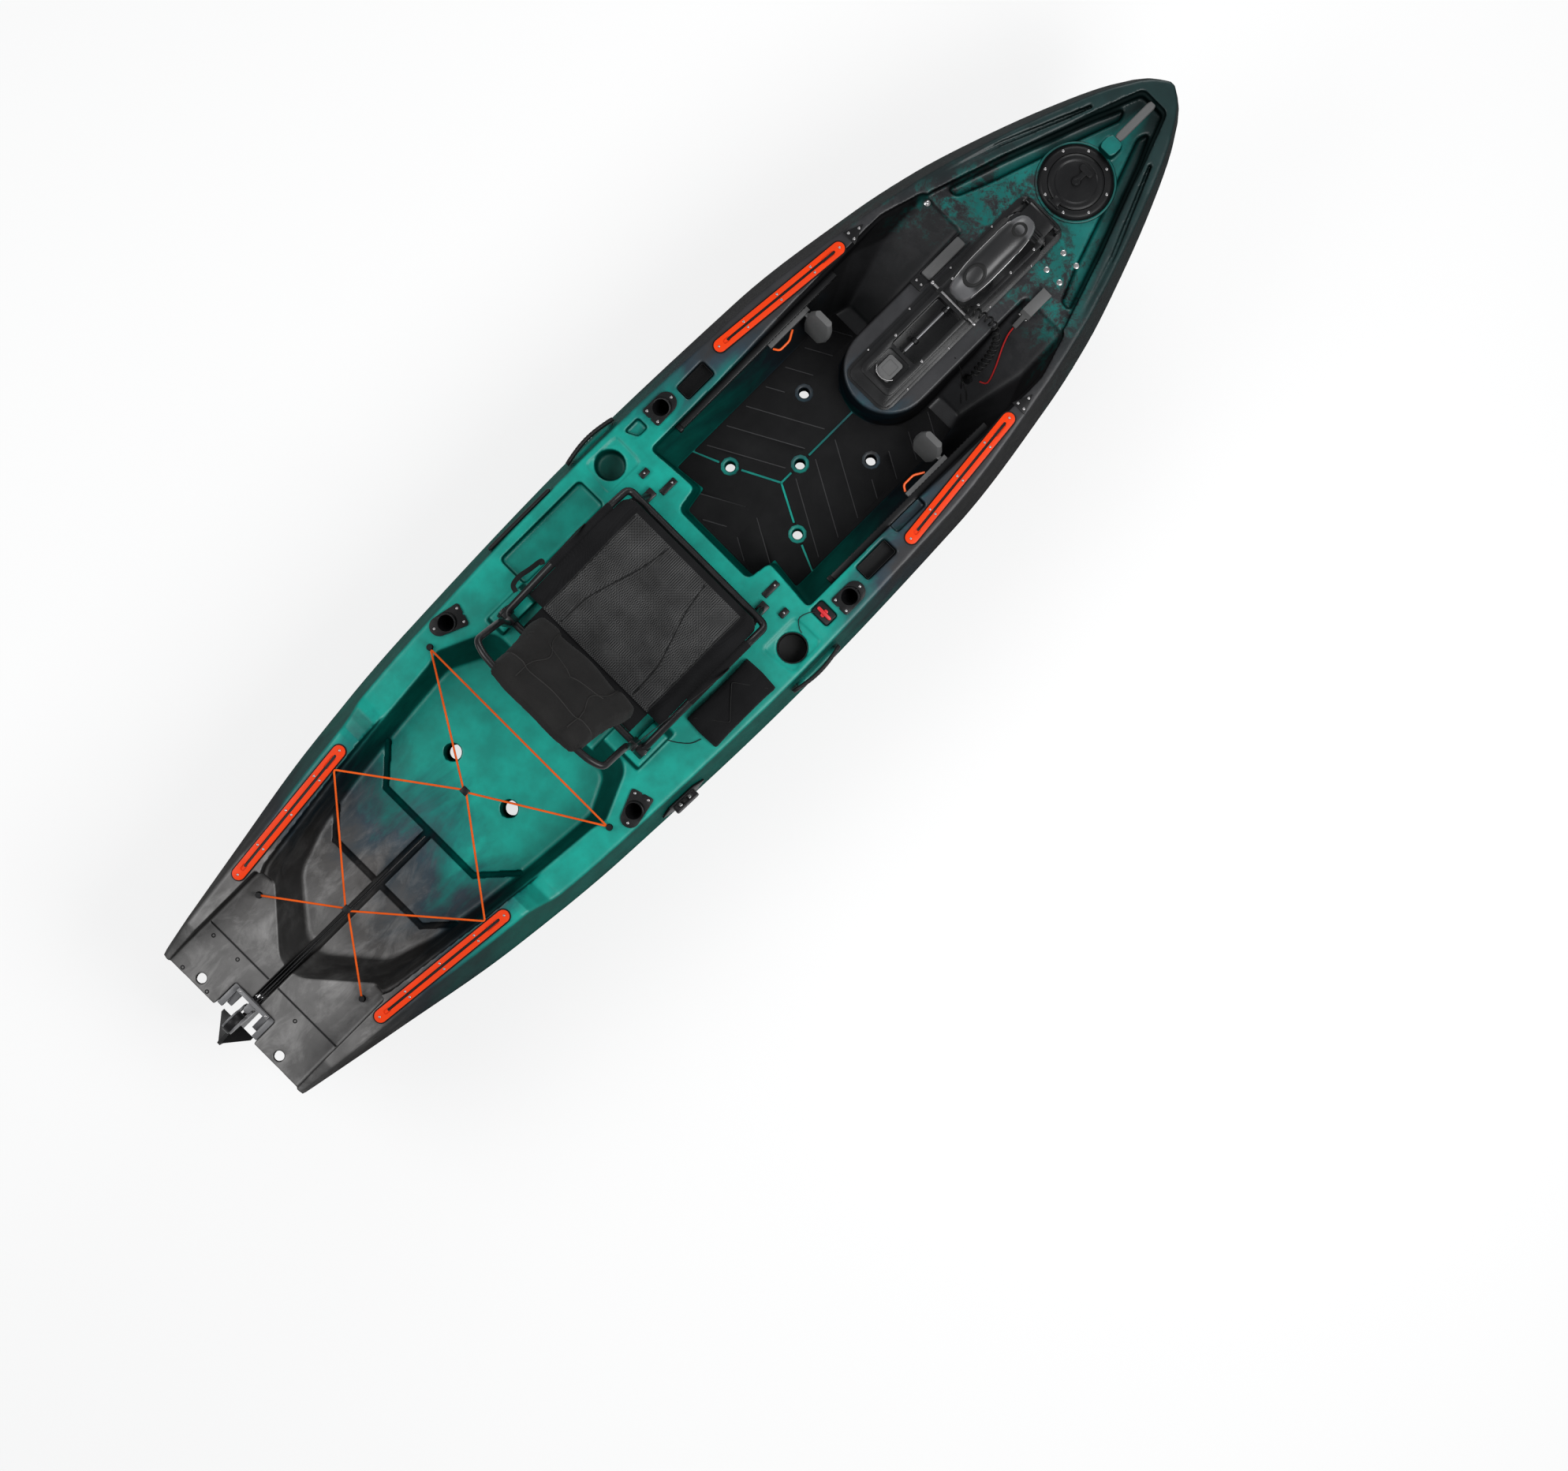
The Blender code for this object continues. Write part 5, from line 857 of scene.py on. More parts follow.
def stripe(start, end, halfWidth):
    along = (Vector(end) - Vector(start)).normalized() * halfWidth
    across = Vector((-along.y, along.x))
    start, end = Vector(start) - along, Vector(end) + along
    return [tuple(start - across), tuple(end - across), tuple(end + across), tuple(start + across)]


def hullRing(u):
    lines = hullLines
    half = faired(lines["halfBeam"], u)
    top = sheerZ(u)
    keel, crease = faired(lines["keel"], u), faired(lines["crease"], u)
    sharp = min(max((u - 2.3) / 1.2, 0), 1)
    sharp = sharp * sharp * (3 - 2 * sharp)
    rows = [(0, keel)]
    for full, fine in zip(lines["midship"], lines["bow"]):
        across = full[0] + (fine[0] - full[0]) * sharp
        up = full[1] + (fine[1] - full[1]) * sharp
        rows.append((half * across, keel + (crease - keel) * up))
    edge = half - faired(lines["tumblehome"], u)
    radius = min(lines["edge"], edge * 0.5)
    rows.append(((half + edge) / 2 + 0.003, (crease + top) / 2))
    rows.append((edge, top - radius))
    curve = [tuple(p) for p in through(rows, 4)]
    corner = [(edge - radius + radius * math.cos(a), top - radius + radius * math.sin(a))
              for a in (math.radians(30), math.radians(60), math.radians(90))]
    port = curve + corner + [((edge - radius) * share, top) for share in (0.66, 0.33)]
    outline = port + [(0, top)] + [(-v, z) for v, z in reversed(port[1:])]
    stern = max(0.0, 1 - u / 0.127)
    bow = max(0.0, (u - 3.1) / 0.56) ** 2
    ring = []
    for v, z in outline:
        z = max(z, keel)
        moved = stern * straight(lines["transom"], z) - bow * (hullLength - faired(lines["stem"], z))
        ring.append(at(u + moved, v, z))
    return ring


def softPocket(name, outline, floor, rim, low=0.012, flare=0.006, rimOutline=None):
    # a recess cutter with a fillet round its floor and a flare at its rim
    upper = rimOutline or outline
    turns = [0.5 * math.pi * n / 4 for n in range(5)]
    rings = []

    def level(z, spread):
        share = (z - floor) / (rim - floor) if rimOutline else 0.0
        shape = [(a[0] + (b[0] - a[0]) * share, a[1] + (b[1] - a[1]) * share) for a, b in zip(outline, upper)]
        rings.append([at(u, v, z) for u, v in (grown(shape, spread) if spread else shape)])

    for a in turns:
        level(floor + low * (1 - math.cos(a)), -low * (1 - math.sin(a)))
    for a in turns:
        level(rim - flare + flare * math.sin(a), flare * (1 - math.cos(a)))
    rings.append([Vector((p.x, p.y, clearZ)) for p in rings[-1]])
    return loft(name, rings)


wells = {
    "tankRim": [(0.190, 0.034), (0.370, 0.235), (0.500, 0.252), (0.700, 0.278), (0.900, 0.300),
                (1.100, 0.318), (1.130, 0.330), (1.265, 0.270), (1.285, 0.240)],
    "tankFloor": [(0.305, 0.034), (0.420, 0.175), (0.550, 0.222), (0.700, 0.248), (0.900, 0.270),
                  (1.080, 0.285), (1.110, 0.285), (1.200, 0.240), (1.215, 0.215)],
    "foredeck": [(2.925, 0.268), (2.985, 0.262), (3.200, 0.190), (3.450, 0.092), (3.585, 0.040)],
    "scuppers": [(0.030, 0.152), (0.955, 0.112), (2.075, 0.135), (2.370, 0.134)],
}


def footwellOutline(level):
    # the U-shaped well round the console, at the floor, the shelf or the deck
    climb = (level - footZ) / (consoleZ - footZ)
    onFloor = level <= footZ
    aft = 1.900 - 0.020 * climb
    side = 0.242 if onFloor else 0.308
    front = rampU + rampRun * climb
    inner = 0.128 + 0.007 * (1 - climb)
    half = [(aft, 0.0), (aft, 0.134), (aft + 0.074, 0.146), (aft + 0.062, side), (2.50, side),
            (front - 0.130 + 0.05 * (1 - climb), side), (front, 0.268 if not onFloor else 0.225),
            (front, inner), (2.565, inner)]
    return rounded(mirrored(half + arc(2.565, 0.0, inner, 105, 180, 5)), 0.016, 3)


def footwellCutter():
    rings = [[at(u, v, z) for u, v in grown(footwellOutline(footZ), spread)]
             for z, spread in ((footZ, -0.012), (0.1315, -0.005), (0.137, -0.001))]
    rings.append([at(u, v, 0.270) for u, v in footwellOutline(0.270)])
    rings += [[at(u, v, z) for u, v in grown(footwellOutline(consoleZ), spread)]
              for z, spread in ((0.361, 0.0), (0.365, 0.002), (0.368, 0.007))]
    rings.append([Vector((p.x, p.y, clearZ)) for p in rings[-1]])
    return loft("footwell", rings)


def hullRecesses():
    deck = deckZ
    yield prism("well", roundedOutline(2.476, 3.128, -0.069, 0.069, 0.030), -0.2, clearZ)
    for aft, fore, floor in ((-0.10, 0.170, platformZ), (0.160, 0.36, platformZ - 0.003)):
        yield block("platform", aft, fore, -0.250, 0.250, floor, clearZ)
    floorLine = rounded(mirrored(wells["tankFloor"]), 0.030, 4)
    rimLine = rounded(mirrored(wells["tankRim"]), 0.030, 4)
    yield softPocket("tankWell", floorLine, 0.200, platformZ + 0.033, 0.012, 0.008, rimLine)
    underSeat = rounded([(1.20, -0.165), (1.80, -0.165), (1.80, 0.165), (1.20, 0.165)], 0.02)
    yield softPocket("underSeat", underSeat, 0.250, deck)
    yield footwellCutter()
    console = mirrored([(2.427, 0.0), (2.427, 0.15), (2.60, 0.28), (2.80, 0.28), (2.94, 0.268)])
    yield softPocket("console", rounded(console, 0.02), consoleZ, 0.40, 0.004)
    yield softPocket("foredeck", rounded(mirrored(wells["foredeck"]), 0.012), consoleZ, 0.408, 0.006, 0.008)
    yield block("notch", -0.1, 0.090, -0.077, 0.077, -0.1, clearZ)
    for side in (1, -1):
        cup = [(0, 0.034), (0.002, 0.040), (0.008, 0.043), (0.086, 0.043), (0.090, 0.047), (0.35, 0.047)]
        yield turned("cup", cup, at(cupU, side * cupV, cupFloorZ), upward, 40)
        hand = [(1.770, 0.300), (1.790, 0.287), (1.900, 0.287), (1.920, 0.300), (1.920, 0.326),
                (1.770, 0.326)]
        yield sidePrism("handHold", rounded(hand, 0.008, 3), *between(side, 0.418, 0.60))
    small = rounded([(1.925, 0.394), (1.945, 0.356), (1.980, 0.356), (1.980, 0.394)], 0.006)
    for name, outline, deep, low, flare in (
            ("sideTray", roundedOutline(1.434, 1.743, 0.290, 0.386, 0.012), 0.030, 0.008, 0.004),
            ("smallPocket", small, 0.025, 0.004, 0.003),
            ("switchSeat", roundedOutline(1.940, 1.985, -0.382, -0.318, 0.006), 0.014, 0.002, 0.002),
            ("portPocket", roundedOutline(2.112, 2.215, 0.330, 0.378, 0.006), 0.050, 0.004, 0.003),
            ("starboardPocket", roundedOutline(2.112, 2.225, -0.372, -0.322, 0.006), 0.050, 0.004, 0.003)):
        yield softPocket(name, outline, deck - deep, deck, low, flare)
    yield block("paddleLedge", 1.215, 1.675, 0.4215, 0.60, deck - 0.022, clearZ)
    for u, v in wells["scuppers"]:
        for side in (1, -1):
            yield rod("scupper", at(u, side * v, -0.1), at(u, side * v, clearZ), 0.015)
    for side in (1, -1):
        drain = [(-0.05, 0.019), (0.198, 0.025), (0.215, 0.034)]
        yield turned("tankScupper", drain, at(0.955, side * 0.112, 0.0), upward, 32)
    yield rod("scupper", at(2.220, 0, -0.1), at(2.220, 0, clearZ), 0.015)


def hullGrooves():
    # shallow channels moulded in the tank well's floor and the bow's deck
    low, high, half = 0.1915, 0.22, 0.0075
    for u0, inner, u1, outer in ((0.547, 0.17, 0.62, 0.235), (0.753, 0.175, 0.85, 0.262)):
        yield prism("groove", stripe((u0, -inner), (u0, inner), half), low, high)
        for side in (1, -1):
            yield prism("groove", stripe((u0, side * inner), (u1, side * outer), half), low, high)
    yield block("rodGroove", 0.075, 0.750, -0.014, 0.014, 0.190, clearZ)
    ledge = roundedOutline(2.262, 2.372, -0.336, -0.304, 0.006)
    yield softPocket("starboardLedge", ledge, 0.328, 0.366, 0.004, 0.003)
    for side in (1, -1):
        lip = [(1.770, side * 0.300), (1.900, side * 0.300), (1.905, side * 0.402), (1.785, side * 0.408)]
        yield prism("cupLip", rounded(lip, 0.018), deckZ - 0.004, clearZ)
        line = [(3.02, side * 0.285), (3.22, side * 0.222), (3.46, side * 0.118), (3.464, side * 0.109),
                (3.216, side * 0.212), (3.015, side * 0.276)]
        yield prism("bowLine", grown(line, 0.001), 0.397, clearZ)
        trough = [(3.03, side * 0.238), (3.20, side * 0.180), (3.45, side * 0.086), (3.53, side * 0.050),
                  (3.50, side * 0.034), (3.30, side * 0.106), (3.12, side * 0.168), (3.03, side * 0.206)]
        yield softPocket("trough", rounded(trough, 0.012, 3), consoleZ - 0.026, consoleZ, 0.012, 0.008)


def hullBumps():
    for side in (1, -1):
        middle = side * 0.262
        riser = [(1.290, deckZ - 0.004), (1.440, deckZ - 0.004), (1.415, 0.395), (1.300, 0.395)]
        yield sidePrism("riser", riser, middle - 0.030, middle + 0.030)
        yield prism("seatBlock", roundedOutline(1.876, 1.950, *between(side, 0.152, 0.244), 0.012),
                    0.20, deckZ - 0.006)
    yield prism("handleBoss", roundedOutline(3.397, 3.447, -0.024, 0.024, 0.010), consoleZ - 0.004,
                consoleZ + 0.052)


def markPaintedLight(target):
    # how far each corner faces up, kept for the finish, which paints light on what faces up and shade on what doesn't;
    # the tank's grooves and the cups' lower parts get painted shade
    values = target.data.attributes.new("ledge", "FLOAT", "POINT")
    for row, corner in zip(values.data, target.data.vertices):
        sunk = 0.188 < corner.co.z < 0.1985 and -1.55 < corner.co.x < -0.65
        inCup = math.hypot(corner.co.x + hullLength / 2 - cupU, abs(corner.co.y) - cupV) < 0.046
        deep = 0.72 if inCup and corner.co.z < 0.30 else 1.0
        row.value = 0.0 if sunk else max(0.0, corner.normal.z) * deep


hullTriangles = 185000  # at most this many are kept


def makeHullMesh():
    spacing = hullLines["spacing"] * (2 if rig.quick() else 1)
    stations = sorted(set([0, 0.04, 0.08, 0.127, 0.79, 0.81, 0.84, 0.87, 0.90, 0.93, 3.60, 3.63, 3.65, 3.66]
                          + [round(0.16 + spacing * n, 4) for n in range(int(3.43 / spacing))]))
    hull = loft("hullShell", [hullRing(u) for u in stations])
    forefoot = [(3.270, 0.085), (3.274, 0.024), (3.300, 0.018), (3.370, 0.018), (3.430, 0.030),
                (3.485, 0.070), (3.470, 0.110), (3.360, 0.110)]
    fuse(hull, sidePrism("forefoot", rounded(forefoot, 0.012, 3), -0.020, 0.020))
    for tool in hullRecesses():
        cut(hull, tool)
    for tool in hullBumps():
        fuse(hull, tool)
    for tool in hullGrooves():
        cut(hull, tool)
    print("hull shaped:", len(hull.data.polygons), "faces")
    for u, v in rodSpots.values():
        for side in (1, -1):
            top = at(u, side * v, deckZ)
            cut(hull, rod("rodTube", top - rodAxis * 0.04, top + rodAxis * 0.185, 0.0265))
    cut(hull, turned("bowHold", [(0, 0.030), (0.03, 0.055), (0.12, 0.086), (0.34, 0.086)],
                     at(hatchU, 0, 0.150), upward, 40))
    gland = at(2.722, -0.167, 0.170)
    cut(hull, turned("glandHole", [(0, 0.0085), (0.06, 0.0085)], gland, (-0.585, 0, 0.811), 20))
    step = hull.modifiers.new("moulded", "REMESH")
    step.mode = "VOXEL"
    step.voxel_size = 0.008 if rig.quick() else 0.004
    evaluated(hull)
    step = hull.modifiers.new("softened", "SMOOTH")
    step.factor = 0.5
    step.iterations = 1 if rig.quick() else 3
    evaluated(hull)
    total = sum(len(face.vertices) - 2 for face in hull.data.polygons)
    step = hull.modifiers.new("lighter", "DECIMATE")
    step.ratio = min(1.0, hullTriangles / total)
    evaluated(hull)
    hull.data.shade_smooth()
    markPaintedLight(hull)
    print("hull mesh:", total, "triangles before,", len(hull.data.polygons), "after")
    return hull


dress(makeHullMesh(), "hullPlastic", "hull")


def makePlacing():
    # a template set on points, turned as each point's attribute says
    group = bpy.data.node_groups.new("placeOnPoints", "GeometryNodeTree")
    ids = {}
    for label, kind in (("Points", "NodeSocketGeometry"), ("Template", "NodeSocketObject"),
                        ("Finish", "NodeSocketMaterial")):
        ids[label] = group.interface.new_socket(name=label, in_out="INPUT", socket_type=kind).identifier
    group.interface.new_socket(name="Pieces", in_out="OUTPUT", socket_type="NodeSocketGeometry")
    given, put = group.nodes.new("NodeGroupInput"), group.nodes.new("NodeGroupOutput")
    template = wire(group, "GeometryNodeObjectInfo", {"Object": given.outputs[1]}, transform_space="ORIGINAL")
    turn = wire(group, "GeometryNodeInputNamedAttribute", {"Name": "turn"}, data_type="FLOAT_VECTOR")
    rotation = wire(group, "FunctionNodeEulerToRotation", {0: turn.outputs["Attribute"]})
    source = {"Points": given.outputs[0], "Instance": template.outputs["Geometry"],
              "Rotation": rotation.outputs[0]}
    placed = wire(group, "GeometryNodeInstanceOnPoints", source)
    solid = wire(group, "GeometryNodeRealizeInstances", {0: placed.outputs[0]})
    finish = {"Geometry": solid.outputs[0], "Material": given.outputs[2]}
    dressed = wire(group, "GeometryNodeSetMaterial", finish)
    group.links.new(dressed.outputs[0], put.inputs[0])
    return group, ids


placeGroup, placeIds = makePlacing()


def repeated(name, template, spots, finish):
    # spots are a place, the way the template's top faces there, and its turn about that in degrees
    mesh = bpy.data.meshes.new(name)
    mesh.from_pydata([tuple(spot[0]) for spot in spots], [], [])
    turns = mesh.attributes.new("turn", "FLOAT_VECTOR", "POINT")
    for row, (_, up, spin) in zip(turns.data, spots):
        turn = Vector(up).to_track_quat("Z", "Y").to_matrix() @ Matrix.Rotation(math.radians(spin), 3, "Z")
        row.vector = turn.to_euler()
    made = addObject(name, mesh)
    step = made.modifiers.new("repeat", "NODES")
    step.node_group = placeGroup
    step[placeIds["Template"]] = template
    step[placeIds["Finish"]] = finishes[finish]
    evaluated(made)
    bpy.data.objects.remove(template)
    return shaded(made, 40)


def screwSet(name, body, spots, radius):
    # each head is turned a little further than the one before
    spots = [(place, up, 37 * n) for n, (place, up) in enumerate(spots)]
    head = turned("screwHead", [(-0.001, radius), (0.0006, radius), (0.0014, radius * 0.85),
                                (0.0018, radius * 0.55), (0.0018, radius * 0.45), (0.0008, radius * 0.36)],
                  (0, 0, 0), upward, 12)
    return trim(repeated(name, head, spots, "steel"), None, body)


def curveTube(name, route, radius, cyclic=False, resolution=4):
    curve = bpy.data.curves.new(name, "CURVE")
    curve.dimensions = "3D"
    curve.bevel_depth = radius
    curve.bevel_resolution = resolution
    curve.use_fill_caps = True
    spline = curve.splines.new("POLY")
    spline.points.add(len(route) - 1)
    for spot, p in zip(spline.points, route):
        spot.co = (*p, 1.0)
    spline.use_cyclic_u = cyclic
    return addObject(name, curve)


def solidTube(name, route, radius, cyclic=False, resolution=4):
    made = evaluated(curveTube(name, route, radius, cyclic, resolution))
    made.data.materials.clear()
    made.data.shade_smooth()
    return made


def filleted(spots, radius):
    # straight runs with a round bend at each inner spot
    spots = [Vector(s) for s in spots]
    route = [spots[0]]
    for before, here, after in zip(spots, spots[1:], spots[2:]):
        back, ahead = before - here, after - here
        reach = min(radius, back.length * 0.45, ahead.length * 0.45)
        route += cornerBend(here + back.normalized() * reach, here, here + ahead.normalized() * reach, 6)
    return route + [spots[-1]]


def thinCord(name, route, diameter, **manner):
    cord = trim(curveTube(name, route, diameter / 2, resolution=2), "blackRubber")
    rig.cord(cord, exit=tuple(route[0]), length=lengthOf(route), diameter=diameter, **manner)


def moved(target, matrix):
    target.data.transform(matrix)
    return target


# The drive's curly cable, then the power lead
curlSet = {"turns": 17, "steps": 9, "radius": 0.0105, "wire": 0.0028, "fine": 3,
           "leadIn": 0.045, "leadOut": 0.010,
           "route": [(2.8195, 0.0, 0.486), (2.812, -0.020, 0.452), (2.838, -0.068, 0.428),
                     (2.848, -0.115, 0.408), (2.832, -0.152, 0.370), (2.794, -0.168, 0.312),
                     (2.752, -0.170, 0.262), (2.722, -0.167, 0.226)]}


def makeCurlyCable():
    path = through([at(*spot) for spot in curlSet["route"]], 12)
    lengths = [0.0]
    for a, b in zip(path, path[1:]):
        lengths.append(lengths[-1] + (b - a).length)
    total = lengths[-1]
    leadIn, leadOut = curlSet["leadIn"], curlSet["leadOut"]
    xs = [[p[i] for p in path] for i in range(3)]

    def spot(distance):
        return Vector([float(np.interp(distance, lengths, axis)) for axis in xs])

    route = [spot(0.0), spot(0.006), spot(leadIn * 0.6)]
    perTurn = curlSet["steps"] * curlSet["fine"]
    count = curlSet["turns"] * perTurn
    normal = Vector(upward)
    for i in range(count + 1):
        distance = leadIn + (total - leadIn - leadOut) * i / count
        along = (spot(min(distance + 0.004, total)) - spot(distance - 0.004)).normalized()
        normal = (normal - along * normal.dot(along)).normalized()
        turn = 2 * math.pi * i / perTurn
        grow = min(1.0, i / perTurn, (count - i) / perTurn)
        out = normal * math.cos(turn) + along.cross(normal) * math.sin(turn)
        route.append(spot(distance) + out * curlSet["radius"] * grow)
    route += [spot(total - 0.004), spot(total)]
    # in two, split where it crosses to the carriage, so that it stretches as the drive tips up
    half = len(route) // 2
    split = spot(leadIn + (total - leadIn - leadOut) * 0.5)
    for name, line, bodies, ends, node in (
            ("motorCable", route[half:][::-1], ("kayak", "motor_carriage"), (route[-1], split),
             "motor_cable"),
            ("motorCableTop", route[:half + 1][::-1], ("motor_carriage", "depth_collar"),
             (split, route[0]), None)):
        cable = bend(solidTube(name, line, curlSet["wire"], resolution=2), "blackRubber", bodies, *ends, node)
        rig.cord(cable, exit=tuple(line[0]), length=lengthOf(line), diameter=2 * curlSet["wire"],
                far_end="object", stiffness="medium", lay="coiled", path=[tuple(p) for p in line],
                with_pieces=[nodes["cable_gland"]] if node else ())


def rampZ(u):
    return footZ + (consoleZ - footZ) * (u - rampU) / rampRun


def makePowerLead():
    spots = [(2.735, -0.196), (2.748, -0.214), (2.790, -0.200), (2.837, -0.176), (2.870, -0.163),
             (2.8925, -0.160)]
    route = through([at(u, v, rampZ(u) + 0.0055) for u, v in spots], 3)
    lead = dress(curveTube("powerLead", route, 0.0025), "redWire", "power_lead")
    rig.cord(lead, exit=tuple(route[-1]), length=lengthOf(route), diameter=0.005, far_end="bare",
            stiffness="medium", lay="loose", with_pieces=[nodes["power_connector"]])


makeCurlyCable()
makePowerLead()


railSet = {"width": 0.036, "thick": 0.008, "slot": 0.0078, "deep": 0.0052,
           "rear": ((0.305, 0.2735), (0.770, 0.3200)), "front": ((2.262, 0.3750), (2.715, 0.3290))}


def makeRail(place, side, word):
    (u0, v0), (u1, v1) = railSet[place]
    v0, v1 = side * v0, side * v1
    length = math.hypot(u1 - u0, v1 - v0)
    end = railSet["width"] / 2
    outline = arc(length / 2 - end, 0, end, -90, 90, 16) + arc(end - length / 2, 0, end, 90, 270, 16)
    rail = loft("rail", [[Vector((a, b, z)) for a, b in outline] for z in (0.0, railSet["thick"])])
    softEdges(rail, 0.0018, 3)
    half, top = railSet["slot"] / 2, railSet["thick"]
    fore = length / 2
    holes = [roundedOutline(-fore + 0.042, fore - 0.030, -half, half, half * 0.9),
             roundedOutline(fore - 0.078, fore - 0.034, -half * 1.7, half * 1.7, half * 1.5),
             roundedOutline(-fore + 0.030, -fore + 0.052, -half * 1.7, half * 1.7, half * 1.5)]
    for hole in holes:
        cut(rail, loft("slot", [[Vector((a, b, z)) for a, b in hole] for z in (top - railSet["deep"], 0.05)]))
    z0, z1 = sheerZ(u0), sheerZ(u1)
    matrix = (Matrix.Translation(at((u0 + u1) / 2, (v0 + v1) / 2, (z0 + z1) / 2 + 0.0003))
              @ Matrix.Rotation(-math.atan2(z1 - z0, u1 - u0), 4, "Y")
              @ Matrix.Rotation(math.atan2(v1 - v0, u1 - u0), 4, "Z"))
    node = f"{place}_rail_{word}"
    dress(moved(shaded(rail), matrix), "orangeRail", node)
    # a black floor in the slot: painted shade
    floorZ = top - railSet["deep"]
    floor = loft(f"{place}RailSlot_{word}", [[Vector((a, b, z)) for a, b in grown(holes[0], -0.0002)]
                                             for z in (floorZ - 0.0004, floorZ + 0.0006)])
    trim(moved(floor, matrix), "blackMetal")
    up = matrix.to_3x3() @ Vector(upward)
    places = [(a, b) for a in (-0.26 * length, 0.0, 0.26 * length) for b in (-0.0098, 0.0098)]
    places += [(fore - 0.014, 0), (0.014 - fore, 0)]
    spots = [(matrix @ Vector((a, b, top)), up) for a, b in places]
    screwSet(f"{place}RailScrews_{word}", "kayak", spots, 0.0036)
    bed = loft(f"{place}RailBed_{word}", [[Vector((a, b, z)) for a, b in grown(outline, 0.004)]
                                          for z in (-0.0012, 0.0)])
    trim(moved(bed, matrix), "blackPlastic")


def makeRodHolder(node, u, v):
    rear = node.startswith("rear")
    low = sheerZ(u) + 0.0003
    top = low + 0.006
    turn = (-0.30 if v > 0 else 0.30) if rear else 0.0

    def swung(a, b):
        return u + a * math.cos(turn) - b * math.sin(turn), v + a * math.sin(turn) + b * math.cos(turn)

    # a square end with two screws and a notch, a round end with one; the rear plates point the other way
    long, wide, end, corner = (0.052, 0.034, 0.0275, 0.008) if rear else (0.047, 0.031, 0.030, 0.008)
    plan = (arc(-long + corner, -wide + corner, corner, 180, 270, 5) + arc(long - end, 0, end, -90, 90, 16)
            + arc(-long + corner, wide - corner, corner, 90, 180, 5) + arc(-long, 0, 0.0038, 90, -90, 8))
    if rear:
        plan = [(-a, b) for a, b in reversed(plan)]
    holder = softEdges(prism(node, [swung(a, b) for a, b in plan], low, top), 0.0018, 3)
    mouth = at(u, v, deckZ)
    lip = [(-0.0085, 0.0262), (-0.0075, 0.0275), (-0.004, 0.0285), (0.004, 0.0285)]
    fuse(holder, turned("collar", lip, mouth, rodAxis, 48),
         rod("body", mouth - rodAxis * 0.002, mouth + rodAxis * 0.180, 0.0245, 40))
    bore = [(-0.05, 0.0235), (-0.008, 0.0235), (-0.004, 0.0215), (0.176, 0.0215)]
    cut(holder, turned("bore", bore, mouth, rodAxis, 48))
    dress(shaded(holder), "blackPlastic", node)
    squareEnd, roundEnd = (0.042, -0.040) if rear else (-0.037, 0.037)
    holes = [(squareEnd, -0.021), (squareEnd, 0.021), (roundEnd, 0)]
    spots = [(at(*swung(a, b), top), upward) for a, b in holes]
    screwSet(node.replace("_", "") + "Screws", "kayak", spots, 0.0042)


def makeHatch():
    seat = consoleZ + 0.0003
    centre = at(hatchU, 0, seat)
    rows = [(0, 0.105), (0.0045, 0.105), (0.006, 0.1042), (0.0112, 0.0970), (0.012, 0.0955), (0.012, 0.088),
            (0.012, 0.0795), (0.0035, 0.0792), (0.0032, 0.074), (-0.020, 0.0738), (-0.020, 0.0834),
            (-0.0004, 0.0834), (-0.0002, 0.090)]
    pieces = [band("hatchRing", rows, centre, upward, 96)]
    hinge = centre + Vector((-0.088, 0, 0.0170))
    hingeU = hinge.x + hullLength / 2
    for side in (1, -1):
        lug = arc(hingeU, hinge.z, 0.0045, 0, 180, 8)
        lug += [(lug[-1][0], seat + 0.010), (lug[0][0], seat + 0.010)]
        pieces.append(softEdges(sidePrism("lug", lug, *between(side, 0.0125, 0.0190)), 0.0008))
    across = Vector((0, 0.014, 0))
    pieces.append(rod("pin", hinge - across, hinge + across, 0.0020))
    dress(shaded(joined("hatchRing", pieces)), "blackPlastic", "hatch_ring")
    rows = [(0.0033, 0.0778), (0.0115, 0.0778), (0.0128, 0.0772), (0.015, 0.0725), (0.0152, 0.0715),
            (0.0152, 0.0615), (0.0148, 0.0602), (0.0125, 0.0575), (0.0122, 0.0560), (0.0122, 0.0300),
            (0.0122, 0.0050)]
    lid = turned("hatchLid", rows, centre, upward, 96)
    across = Vector((0, 0.012, 0))
    knuckle = rod("knuckle", hinge - across, hinge + across, 0.0042)
    tongue = block("tongue", hingeU, hatchU - 0.066, -0.012, 0.012, seat + 0.0130, hinge.z + 0.0030)
    dress(shaded(joined("hatchLid", [lid, knuckle, softEdges(tongue, 0.001)])), "blackPlastic", "hatch_lid")
    z = seat + 0.0123
    latch = prism("hatchLatch", roundedOutline(3.282, 3.335, -0.007, 0.007, 0.0065), z, z + 0.009)
    fuse(latch, prism("grip", roundedOutline(3.320, 3.338, -0.0215, 0.0215, 0.0085), z, z + 0.0115),
         turned("boss", [(0, 0.0135), (0.006, 0.0135), (0.0085, 0.011)], at(hatchU, 0, z), upward, 32))
    cut(latch, turned("dimple", [(0.0075, 0.006), (0.02, 0.006)], at(hatchU, 0, z), upward, 24))
    dress(softEdges(latch, 0.0015, 3), "blackPlastic", "hatch_latch")
    turns = [math.radians(22.5 + 45 * n) for n in range(8)]
    spots = [(centre + Vector((0.0915 * math.cos(a), 0.0915 * math.sin(a), 0.0118)), upward) for a in turns]
    screwSet("hatchScrews", "kayak", spots, 0.0044)
    rows = [(0, 0.114), (0.004, 0.1125), (0.0052, 0.110), (0.0048, 0.1068), (0, 0.1062)]
    surround = band("hatchSurround", rows, at(hatchU, 0, consoleZ - 0.0008), upward, 96)
    markPaintedLight(surround)
    trim(shaded(surround), "hullPlastic")


